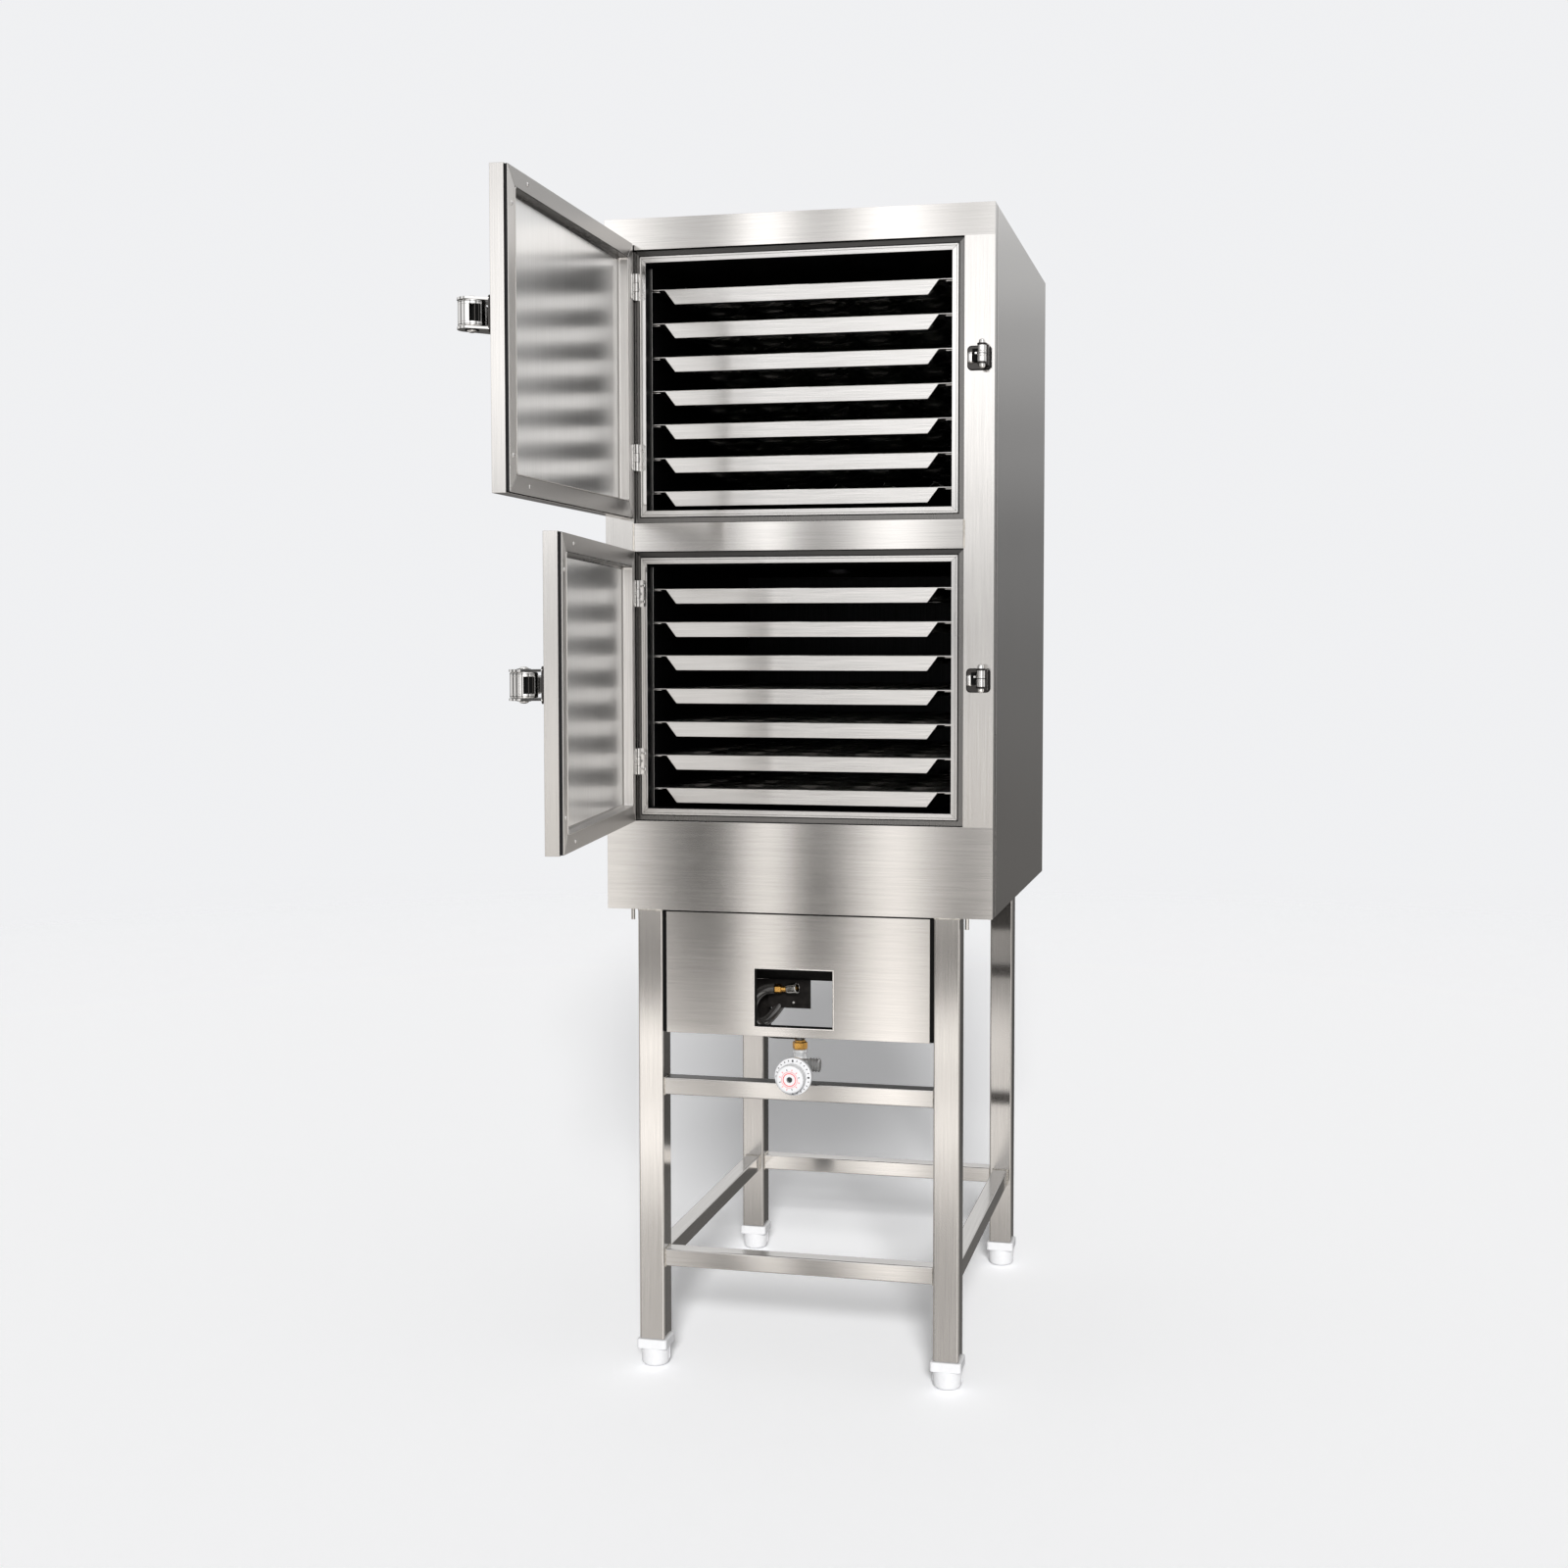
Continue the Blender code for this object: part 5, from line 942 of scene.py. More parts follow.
def build_front(details):
    """The welded front, with painted shade on the rebates of its two openings."""
    levels = OPENINGS["lower"] + OPENINGS["upper"]
    splits = [(0, MIDDLE_X + side * OPENING_HALF) for side in SIDES] + [(2, level) for level in levels]

    def choose(middle, normal):
        away = abs(middle.x - MIDDLE_X)
        if away > OPENING_HALF - LIFT and levels[0] < middle.z < levels[3]:
            return 1
        # Painted shade: the rebate faces take the darker steel, and the darkest just below the top of each
        # opening
        if middle.y > FRONT_Y + 0.001 and away < OPENING_HALF + LIFT / 2:
            return 3 if any(0 <= level - middle.z < 0.010 for level in (levels[1], levels[3])) else 2
        return 0

    cad_piece(
        "cabinet_front", "front_frame", "steel_across steel_upright rebate_steel rebate_dark",
        details.fold_radius * 0.6, 2, choose, splits,
    )
    # Black painted shadow lines at the outer edge and the inner step of each rebate
    shape = bmesh.new()
    for bottom, top in OPENINGS.values():
        for start in (0.00005, 0.0076):
            outer, inner = (
                rectangle(MIDDLE_X - OPENING_HALF, bottom, MIDDLE_X + OPENING_HALF, top, inset)
                for inset in (start, start + 0.0009)
            )
            add_ring(shape, outer, inner, -FRONT_Y - 0.006, -FRONT_Y - 0.0055, UPRIGHT)
    finish_piece("rebate_lines", shape, "shadow", "cabinet")


def build_mid_rail_welds(details):
    """The beads at both ends of the rail between the openings."""
    shape = bmesh.new()
    low, high = OPENINGS["lower"][1] + 0.0005, OPENINGS["upper"][0] - 0.0005
    for side in SIDES:
        x = MIDDLE_X + side * (OPENING_HALF + 0.0005)
        corners = ((x, FRONT_Y, low), (x, FRONT_Y, high))
        add_weld(shape, corners, details.weld_radius * 0.8, details.weld_ripple, seed=side)
    finish_piece("mid_rail_welds", shape, "weld", "cabinet")


class STEAMER_OT_cabinet(bpy.types.Operator):
    """Build the outer shell, the welded front and its seams"""
    bl_idname = "steamer.cabinet"
    bl_label = "Cabinet"

    def execute(self, context):
        details = context.scene.steamer_details
        build_shell(details)
        build_front(details)
        build_mid_rail_welds(details)
        return {"FINISHED"}


def build_seat(prefix):
    """The bright trim that the door closes on: four mitred strips with a groove along them."""
    low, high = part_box(prefix + "_chamber")
    floor, top = OPENINGS[prefix][0] + 0.0091, OPENINGS[prefix][1] - 0.0091
    shape = bmesh.new()
    for start, end, rise in ((0.0, 0.0024, 0.0003), (0.0029, 0.0087, 0.0006)):
        outer, inner = (rectangle(low.x, floor, high.x, top, inset) for inset in (start, end))
        for index, strip in enumerate(mitred_strips(outer, inner, 0.00022)):
            add_prism(shape, strip, -low.y + LIFT / 4, -low.y + rise, UPRIGHT, index % 2)
    finish_piece(
        prefix + "_seat", shape, "bright_across bright_upright", "cabinet", (), 0.0002, 2
    )


def build_chamber(prefix):
    """The box of a chamber in near black painted shade, with its front edge in the grey painted shade."""
    node = prefix + "_chamber"
    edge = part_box(node)[0].y + 0.0016

    def choose(middle, normal):
        return 1 if middle.y < edge and normal.y < 0.5 else 0

    cad_piece(node + "_box", node, "chamber rebate_steel", 0.0003, 2, choose, [(1, edge)])


def build_rack(prefix):
    """The runners, in the chambers' near black painted shade, with their front ends in upright steel that
    catch the light.
    """
    node = prefix + "_tray_rack"
    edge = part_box(node)[0].y + 0.002

    def choose(middle, normal):
        return 1 if middle.y < edge and normal.y < -0.7 else 0

    cad_piece(node + "_runners", node, "chamber steel_upright", 0.0002, 1, choose)


class STEAMER_OT_chambers(bpy.types.Operator):
    """Build the dark chambers with their bright seats, and the racks"""
    bl_idname = "steamer.chambers"
    bl_label = "Chambers and racks"

    def execute(self, context):
        details = context.scene.steamer_details
        for prefix in ("upper", "lower"):
            build_chamber(prefix)
            build_seat(prefix)
            build_rack(prefix)
        return {"FINISHED"}


CELL_STEPS = 6
CUP_PROFILE = (
    (1.0, 0.0), (0.985, 0.09), (0.93, 0.34), (0.82, 0.60), (0.62, 0.83), (0.36, 0.96), (0.14, 1.0),
)


def tray_mesh(sizes):
    """One tray about the middle of its front edge, at the height of its top face."""
    low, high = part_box("upper_tray_1")
    half, depth, drop = (high.x - low.x) / 2, high.y - low.y, high.z - low.z
    shape = bmesh.new()
    add_plate(shape, sizes, half, depth)
    add_lips(shape, half, depth, drop)
    bmesh.ops.remove_doubles(shape, verts=shape.verts, dist=WELD_DISTANCE)
    bmesh.ops.recalc_face_normals(shape, faces=shape.faces)
    carrier = linked("tray_sheet", mesh_from("tray_sheet", shape))
    carrier.data.shade_smooth()
    sheet = carrier.modifiers.new("sheet", "SOLIDIFY")
    sheet.thickness = 0.0013
    sheet.offset = -1
    sheet.use_even_offset = True
    round_edges(carrier, 0.00045, 2)
    bpy.context.view_layer.update()
    final = bpy.data.meshes.new_from_object(carrier.evaluated_get(bpy.context.evaluated_depsgraph_get()))
    final.name = "tray"
    bpy.data.objects.remove(carrier, do_unlink=True)
    final.materials.append(FINISHES["bright_across"])
    return final


def add_plate(shape, sizes, half, depth):
    """The flat of the tray with its cups."""
    reach_x, first_y, last_y = half - 0.017, 0.014, depth - 0.012
    across, deep = sizes.cups_across, sizes.cups_deep
    columns = [-reach_x + 2 * reach_x * index / across for index in range(across + 1)]
    rows = [first_y + (last_y - first_y) * index / deep for index in range(deep + 1)]
    for left, right in zip(columns, columns[1:]):
        for near, far in zip(rows, rows[1:]):
            add_cup(shape, sizes, left, near, right, far)
    ends_x = ((-half, columns[0]), (columns[-1], half))
    ends_y = ((0.0, first_y), (last_y, depth))
    fine_x, fine_y = edge_points(columns), edge_points(rows)
    border = [(x, y) for x in zip(fine_x, fine_x[1:]) for y in ends_y]
    border += [(x, y) for y in zip(fine_y, fine_y[1:]) for x in ends_x]
    border += [(x, y) for x in ends_x for y in ends_y]
    for (left, right), (near, far) in border:
        add_face(shape, [(x, y, 0) for x, y in rectangle(left, near, right, far)])


def edge_points(stations):
    """Stations with the points between them that the cups' cells have."""
    points = [stations[0]]
    for first, second in zip(stations, stations[1:]):
        points += [first + (second - first) * step / CELL_STEPS for step in range(1, CELL_STEPS + 1)]
    return points


def add_face(shape, corners):
    """A flat face with corners of its own."""
    shape.faces.new([shape.verts.new(corner) for corner in corners])


def add_cup(shape, sizes, left, near, right, far):
    """A cell of the tray with one round cup in its middle."""
    corners = rectangle(left, near, right, far)
    border = []
    for start, end in zip(corners, corners[1:] + corners[:1]):
        for step in range(CELL_STEPS):
            share = step / CELL_STEPS
            border.append([first + (last - first) * share for first, last in zip(start, end)] + [0])
    rings = [[shape.verts.new(point) for point in border]]
    for share, sink in CUP_PROFILE:
        reach = sizes.cup_diameter / 2 * share
        ring = []
        for step in range(len(border)):
            angle = math.radians(-135) + math.tau * step / len(border)
            x, y = (left + right) / 2 + reach * math.cos(angle), (near + far) / 2 + reach * math.sin(angle)
            ring.append(shape.verts.new((x, y, -sizes.cup_depth * sink)))
        rings.append(ring)
    bridge(shape, rings)
    shape.faces.new(rings[-1])


def add_lips(shape, half, depth, drop):
    """The slanted drop lip at the front, with its hem, and the short one at the back."""
    lip_half, slant, steps = half - 0.0195, 0.0165, 12
    low = -drop + LIFT
    grid = []
    foot = lip_half - slant
    for reach, y, z in ((lip_half, 0.0, 0.0), (foot, 0.0, low), (foot - 0.001, 0.006, low)):
        grid.append([(-reach + 2 * reach * step / steps, y, z) for step in range(steps + 1)])
    for upper, lower in zip(grid, grid[1:]):
        for step in range(steps):
            add_face(shape, (upper[step], lower[step], lower[step + 1], upper[step + 1]))
    back = lip_half - 0.013
    add_face(shape, ((-back, depth, 0), (back, depth, 0), (back, depth, -0.010), (-back, depth, -0.010)))


class STEAMER_OT_trays(bpy.types.Operator):
    """Build the trays with their idli cups"""
    bl_idname = "steamer.trays"
    bl_label = "Trays"

    def execute(self, context):
        sizes = context.scene.steamer_trays
        mesh = tray_mesh(sizes)
        for prefix in ("upper", "lower"):
            for number in range(1, 8):
                node = f"{prefix}_tray_{number}"
                low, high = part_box(node)
                tray = linked(node + "_cups", mesh)
                tray.location = ((low.x + high.x) / 2, low.y, high.z)
                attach(tray, node)
                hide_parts(node)
        return {"FINISHED"}


# The doors

def build_pan(prefix, details):
    """The outer pan of a door."""
    outer, inner = (
        rectangle(PAN_HINGE_EDGE, 0, PAN_FREE_EDGE, DOOR_HEIGHT, inset) for inset in (0, DOOR_SHEET)
    )
    levels = ((inner, PAN_FRONT - DOOR_SHEET), (inner, PAN_BACK), (outer, PAN_BACK), (outer, PAN_FRONT))
    shape = bmesh.new()
    add_loft(shape, levels, door_place(prefix) @ UPRIGHT)
    finish_piece(
        prefix + "_pan", shape, "steel_upright", prefix + "_door", (prefix + "_door_pan",),
        details.fold_radius * 0.5, 3,
    )


def build_seal(prefix):
    """The black gasket between pan and liner."""
    outer, inner = (round_rectangle(*LINER_BOX, 0.003, inset=inset) for inset in (0, 0.020))
    shape = bmesh.new()
    add_ring(shape, outer, inner, LINER_BACK + 0.0003, 0.0081, door_place(prefix) @ UPRIGHT)
    finish_piece(
        prefix + "_seal", shape, "rubber", prefix + "_door", (prefix + "_door_gasket",),
        0.0005, 2,
    )


def build_liner(prefix, details):
    """The inner liner: a mitred frame of four strips round a sunken panel."""
    place = door_place(prefix) @ UPRIGHT
    width = 0.022
    shape = bmesh.new()
    strips = mitred_strips(rectangle(*LINER_BOX), rectangle(*LINER_BOX, width), 0.00045)
    # Painted light and shade: the side strips take the lighter steel, the top and bottom strips the darker
    # one
    for index, strip in enumerate(strips):
        add_prism(shape, strip, LINER_FACE, LINER_FACE + DOOR_SHEET, place, 1 - index % 2)
    add_ring(
        shape, rectangle(*LINER_BOX), rectangle(*LINER_BOX, DOOR_SHEET), LINER_FACE + DOOR_SHEET, LINER_BACK,
        place, 3,
    )
    add_recess(shape, place, details.recess_corner + LIFT / 2, width)
    finish_piece(
        prefix + "_liner", shape, "liner_frame liner_strip liner_steel rubber liner_edge rebate_dark",
        prefix + "_door", (prefix + "_door_liner",), 0.00035, 2,
    )


def add_recess(shape, place, corner, width):
    """The sunken panel, pressed from one sheet with rounded corners."""
    bend = 0.0035
    rim, floor = LINER_FACE - LIFT, LINER_FACE + 0.014
    profile = [(0.0, rim), (0.0004, rim - 0.0006), (0.0012, rim - 0.0006), (0.0016, LINER_FACE)]
    profile += arc(0.0018 + bend, floor - bend, bend, 180, 90, 5)
    front = len(profile)
    under = floor + DOOR_SHEET
    profile += [(profile[-1][0] - 0.0004, under), (0.0002, under), (0.0002, LINER_FACE + DOOR_SHEET)]
    rings = []
    for inset, height in profile:
        outline = round_rectangle(*LINER_BOX, corner, inset=width + inset)
        rings.append([shape.verts.new(place @ Vector((x, y, height))) for x, y in outline])
    walls = bridge(shape, rings[:front], 4)
    bridge(shape, rings[front:] + rings[:1], 4)
    close_faces([shape.faces.new(rings[front - 1]), shape.faces.new(rings[front])], 2)
    count = len(rings[0])
    # Painted shade: the recess's top walls, which face down, take the darkest shade steel
    for number, face in enumerate(walls):
        if count // 2 - 3 <= number % count <= count // 2 + 1:
            face.material_index = 5


def build_screws(prefix, details):
    """The screws along the free edge of a liner."""
    place = door_place(prefix) @ UPRIGHT
    edge = 0.011
    shape = bmesh.new()
    for x, z in (
        (LINER_RIGHT - 0.064, LINER_LOW + edge), (LINER_RIGHT - 0.064, LINER_TOP - edge),
        (LINER_RIGHT - edge, LINER_LOW + 0.045), (LINER_RIGHT - edge, LINER_TOP - 0.045),
    ):
        # The screw recesses take the black painted shadow
        add_screw(shape, place @ Matrix.Translation((x, z, LINER_FACE)) @ FLIP, details.screw_radius, 1)
    finish_piece(prefix + "_liner_screws", shape, "chrome shadow", prefix + "_door")


class STEAMER_OT_doors(bpy.types.Operator):
    """Build the door pans, seals, liners and their screws"""
    bl_idname = "steamer.doors"
    bl_label = "Doors"

    def execute(self, context):
        details = context.scene.steamer_details
        for prefix in ("upper", "lower"):
            build_pan(prefix, details)
            build_seal(prefix)
            build_liner(prefix, details)
            build_screws(prefix, details)
        return {"FINISHED"}


HINGE_HEIGHT = 0.0385
HINGE_KNUCKLE = 0.0028
HINGE_SHEET = 0.0012
HINGE_GAP = 0.0002


def knuckle_ends():
    """The low and high ends of a hinge's three knuckles."""
    first, second = HINGE_HEIGHT / 3, HINGE_HEIGHT / 3 * 2
    middle = (first + HINGE_GAP, second - HINGE_GAP)
    return (0, first - HINGE_GAP), middle, (second + HINGE_GAP, HINGE_HEIGHT)


def knuckle_profile(low, high):
    """A knuckle with a small chamfer at each end."""
    edge = 0.0003
    radius = HINGE_KNUCKLE
    return [
        (0, high), (radius - edge, high), (radius, high - edge), (radius, low + edge), (radius - edge, low),
        (0, low),
    ]


def build_frame_leaf(node):
    """The leaf of a hinge that is fixed to the cabinet, with its two knuckles."""
    low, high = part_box(node)
    axis_x = low.x + HINGE_KNUCKLE
    axis_y = joint_point("upper_door_hinge").y
    shape = bmesh.new()
    ends = knuckle_ends()
    base = Matrix.Translation((axis_x, axis_y, low.z))
    for start, end in (ends[0], ends[2]):
        add_turned(shape, knuckle_profile(start, end), SMALL_STEPS, base)
    leaf_back = high.y - axis_y
    upright = base @ UPRIGHT
    outline = [
        (0, 0), (0.0105, 0), (0.0125, 0.002), (0.0125, HINGE_HEIGHT - 0.002), (0.0105, HINGE_HEIGHT),
        (0, HINGE_HEIGHT), (0, ends[2][0]), (0.0032, ends[2][0]), (0.0032, ends[0][1]), (0, ends[0][1]),
    ]
    add_prism(shape, outline, -leaf_back, -leaf_back + HINGE_SHEET, upright)
    for z in (HINGE_HEIGHT * 0.2, HINGE_HEIGHT * 0.8):
        add_screw(shape, upright @ Matrix.Translation((0.0083, z, -leaf_back + HINGE_SHEET)), 0.0022, 1)
    # A black strip behind the leaf paints the shade in the gaps round the knuckles
    add_box(
        shape, (0.0001, 0.0004, -leaf_back - 0.0001), (0.0034, HINGE_HEIGHT - 0.0004, -leaf_back + 0.0004),
        upright, 1,
    )
    finish_piece(node + "_plated", shape, "hinge_plate shadow", "cabinet", (node,), 0.00015, 2)


def build_door_leaf(prefix, node):
    """The leaf of a hinge that is fixed to the door, with its knuckle and the pin."""
    place = door_place(prefix)
    low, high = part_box(node)
    base = place @ Matrix.Translation((0, 0, low.z - place.translation.z))
    shape = bmesh.new()
    start, end = knuckle_ends()[1]
    add_turned(shape, knuckle_profile(start, end), SMALL_STEPS, base)
    add_rod(shape, 0.0013, 0, HINGE_HEIGHT, SMALL_STEPS, base)
    upright = base @ UPRIGHT
    outline = [
        (0.0032, 0), (0.0161, 0), (0.0181, 0.002), (0.0181, HINGE_HEIGHT - 0.002), (0.0161, HINGE_HEIGHT),
        (0.0032, HINGE_HEIGHT), (0.0032, end), (0, end), (0, start), (0.0032, start),
    ]
    face = 0.0032 - 0.0003
    add_prism(shape, outline, face - HINGE_SHEET, face, upright)
    for z in (HINGE_HEIGHT * 0.2, HINGE_HEIGHT * 0.5, HINGE_HEIGHT * 0.8):
        add_screw(shape, upright @ Matrix.Translation((0.0120, z, face - HINGE_SHEET)) @ FLIP, 0.0024, 1)
    finish_piece(
        node + "_plated", shape, "hinge_plate shadow", prefix + "_door", (node,), 0.00015, 2
    )


class STEAMER_OT_hinges(bpy.types.Operator):
    """Build the butt hinges with their knuckles and screws"""
    bl_idname = "steamer.hinges"
    bl_label = "Hinges"

    def execute(self, context):
        for prefix in ("upper", "lower"):
            for place in ("top", "bottom"):
                build_frame_leaf(f"{prefix}_{place}_hinge_frame_leaf")
                build_door_leaf(prefix, f"{prefix}_{place}_hinge_door_leaf")
        return {"FINISHED"}


def build_bracket(prefix):
    """The base of a latch with its cheeks, pin and screws."""
    base = latch_place(prefix)
    upright = base @ UPRIGHT
    shape = bmesh.new()
    back = -0.0247
    left = 0.004 - 0.062
    # The back plate takes the near black painted shade copy of the chrome
    add_prism(shape, round_rectangle(left, -0.023, 0.004, 0.023, 0.005), back, back + 0.0025, upright, 1)
    nose = arc(0, 0, 0.018, 0, -120, 16)
    cheek = nose + [
        (left + 0.009, -back - 0.0025), (left + 0.009, -back - 0.0012), (0.004, -back - 0.0012),
        (0.004, -back - 0.0025),
    ]
    cheek = cheek[::-1]
    for side in SIDES:
        middle = side * 0.0175
        add_prism(shape, cheek, middle - 0.0015, middle + 0.0015, base)
        flip = turned_over(base, side)
        add_turned(shape, [
            (0, 0.0225), (0.0022, 0.0224), (0.0042, 0.0218), (0.0056, 0.0208), (0.0060, 0.0200),
            (0.0060, 0.0197), (0.0072, 0.0197), (0.0076, 0.0193), (0.0076, 0.0188), (0, 0.0188),
        ], FINE_STEPS, flip)
    add_rod(shape, 0.003, -0.0175, 0.0175, SMALL_STEPS, base)
    for z in SIDES:
        add_screw(shape, upright @ Matrix.Translation((left + 0.0055, z * 0.0155, back + 0.0025)), 0.0033, 2)
        # A black ring paints a shade line at the foot of each cap
        add_band(shape, 0.0062, 0.0085, 0.0190, 0.01975, FINE_STEPS, turned_over(base, z), 2)
    finish_piece(
        prefix + "_latch_plate", shape, "chrome dark_chrome shadow", prefix + "_door",
        (prefix + "_latch_bracket",), 0.0006, 3,
    )


def build_lever(prefix):
    """The drum of a latch with its window, and the handle."""
    base = latch_place(prefix)
    shape = bmesh.new()
    radius = 0.017
    half = 0.0157
    window = 0.0105
    notch_low = 0.0095 - 0.00625
    notch_high = 0.0095 + 0.00625
    floor_x = radius - 0.008
    edge = 0.0012
    full = circle(radius, ROUND_STEPS)
    inset = circle(radius - edge, ROUND_STEPS)
    add_loft(shape, ((inset, -half), (full, -half + edge), (full, -window)), base)
    add_loft(shape, ((full, window), (full, half - edge), (inset, half)), base)
    notched = [(x, y) for x, y in circle(radius, 96) if not (x > 0 and notch_low < y < notch_high)]
    low_x = math.sqrt(radius ** 2 - notch_low ** 2)
    high_x = math.sqrt(radius ** 2 - notch_high ** 2)
    before = [p for p in notched if math.atan2(p[1], p[0]) % math.tau < math.atan2(notch_low, low_x)]
    after = [p for p in notched if p not in before]
    notch = [(low_x, notch_low), (floor_x, notch_low), (floor_x, notch_high), (high_x, notch_high)]
    outline = before + notch + after
    add_prism(shape, outline, -window, window, base)
    # Thin black rings paint shade lines near the drum's top and bottom rims
    line = circle(radius + 0.00012, ROUND_STEPS)
    for middle in (-0.0135, 0.0135):
        add_prism(shape, line, middle - 0.0004, middle + 0.0004, base, 1)
    add_handle(shape, base)
    finish_piece(
        prefix + "_latch_drum", shape, "chrome shadow", prefix + "_latch",
        (prefix + "_latch_lever",), 0.0005, 3,
    )
    build_pawl(prefix, base, floor_x, window)


def add_handle(shape, base):
    """The handle, thick at the drum and thin at its rounded tip."""
    length = 0.096
    inner = 0.014
    outlines = []
    stations = 14
    for step in range(stations + 1):
        share = step / stations
        x = -0.012 - (length - 0.012) * share
        thick = 0.020 * (1 - share) ** 1.4 + 0.0085
        tall = 0.0130 - 0.0025 * math.sin(math.pi * share) ** 2
        if share > 0.9:
            tall *= math.sqrt(max(0.05, 1 - ((share - 0.9) / 0.1) ** 2))
            thick *= math.sqrt(max(0.10, 1 - ((share - 0.9) / 0.1) ** 2))
        corner = min(thick, tall) * 0.38
        outline = round_rectangle(inner - thick, -tall, inner, tall, corner, 4)
        outlines.append((outline, x))
    turn = Matrix(((0, 0, 1, 0), (1, 0, 0, 0), (0, 1, 0, 0), (0, 0, 0, 1)))
    add_loft(shape, outlines[::-1], base @ turn)


def build_pawl(prefix, base, floor_x, window):
    """A black box that paints the shade in the pocket behind the window, and the two bars in it in the near
    black painted shade copy of the chrome.
    """
    shape = bmesh.new()
    depth = window - 0.0003
    # Painted shadow in the pocket behind the window
    add_box(shape, (floor_x + 0.0001, 0.0036, -depth), (floor_x + 0.0012, 0.0154, depth), base, 1)
    for y, thick in ((0.0088, 0.0013), (0.0140, 0.0007)):
        place = base @ Matrix.Translation((floor_x + 0.0030, y, 0))
        add_turned(shape, [
            (0, window - 0.0002), (thick - 0.0002, window - 0.0002), (thick, window - 0.001),
            (thick, -window + 0.001), (thick - 0.0002, -window + 0.0002), (0, -window + 0.0002),
        ], 16, place)
    finish_piece(prefix + "_pawl_bars", shape, "dark_chrome shadow", prefix + "_latch")


def build_strike(prefix):
    """The strike with its plates, ears, roller and keeper, with black pieces and shaded chrome that paint
    the shade round them.
    """
    node = prefix + "_strike"
    low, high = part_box(node)
    centre = Vector(((low.x + high.x) / 2, high.y, 0))
    centre.z = joint_point(prefix + "_latch_pivot").z
    base = Matrix.Translation(centre)
    upright = base @ UPRIGHT
    shape = bmesh.new()
    # A black lower plate paints a shade outline round the upper plate, which takes the painted shade copy of
    # the chrome
    add_prism(shape, square(0.017, 0.006), 0, 0.0018, upright, 2)
    add_prism(shape, square(0.0158, 0.005), 0.0018, 0.003, upright, 1)
    # A black block paints the shade between keeper and roller
    add_box(shape, (-0.0085, -0.0060, 0.003), (0.0005, 0.0115, 0.0110), upright, 2)
    add_box(shape, (-0.0050, 0.0040, 0.0110), (-0.0020, 0.0066, 0.0114), upright, 0)
    roller_x = 0.0065
    out = 0.0205
    rise = 0.003
    half = 0.012
    ear = arc(roller_x, -out, 0.0068, -180, 0, 16)
    ear += [(roller_x + 0.0068, -0.0015), (roller_x - 0.0068, -0.0015)]
    # The ears and the post take the painted shade copy of the chrome
    for side in SIDES:
        middle = rise + side * (half + 0.0011)
        add_prism(shape, ear, middle - 0.0011, middle + 0.0011, base, 1)
    add_box(shape, (0.0118, -0.0125, 0.003), (0.0150, 0.0155, 0.0150), upright, 1)
    axle = base @ Matrix.Translation((roller_x, -out, rise))
    add_turned(shape, [
        (0, half), (0.0050, half), (0.0062, half - 0.0008), (0.0062, 0.0040), (0.0058, 0.0034),
        (0.0062, 0.0028), (0.0062, -0.0028), (0.0058, -0.0034), (0.0062, -0.0040), (0.0062, -half + 0.0008),
        (0.0050, -half), (0, -half),
    ], FINE_STEPS, axle)
    cap = half + 0.0011 + 0.0070
    for side in SIDES:
        flip = turned_over(axle, side)
        add_turned(shape, [
            (0, cap), (0.0020, cap - 0.0002), (0.0036, cap - 0.0012), (0.0045, cap - 0.0028),
            (0.0046, half + 0.0012), (0, half + 0.0012),
        ], FINE_STEPS, flip)
    keeper = base @ Matrix.Translation((-0.0115, -0.0050, 0))
    add_turned(shape, [
        (0, 0.0080), (0.0030, 0.0076), (0.0046, 0.0062), (0.0050, 0.0044), (0.0050, -0.0044),
        (0.0046, -0.0062), (0.0030, -0.0076), (0, -0.0080),
    ], FINE_STEPS, keeper)
    # Thin black rings paint shade lines on the roller
    for level in (rise - half, rise, rise + half):
        ring = base @ Matrix.Translation((roller_x, -out, level))
        add_band(shape, 0.0055, 0.0064, -0.0005, 0.0005, FINE_STEPS, ring, 2)
    finish_piece(
        node + "_plated", shape, "chrome dark_chrome shadow", "cabinet", (node,), 0.0004, 2
    )


class STEAMER_OT_latches(bpy.types.Operator):
    """Build the latch brackets, levers and strikes"""
    bl_idname = "steamer.latches"
    bl_label = "Latches and strikes"

    def execute(self, context):
        for prefix in ("upper", "lower"):
            build_bracket(prefix)
            build_lever(prefix)
            build_strike(prefix)
        return {"FINISHED"}


# The stand

# Painted shade: the front right leg takes a darker copy of the upright steel, the back legs a darker one
# still
LEGS = {
    "front_left": "steel_upright", "front_right": "leg_steel", "back_left": "far_leg_steel",
    "back_right": "far_leg_steel",
}
RAILS = (
    ("front_upper_rail", 0, "steel_across"), ("front_lower_rail", 0, "steel_across"),
    ("back_lower_rail", 0, "steel_across"), ("left_lower_rail", 1, "steel_deep"),
    ("right_lower_rail", 1, "steel_deep"),
)


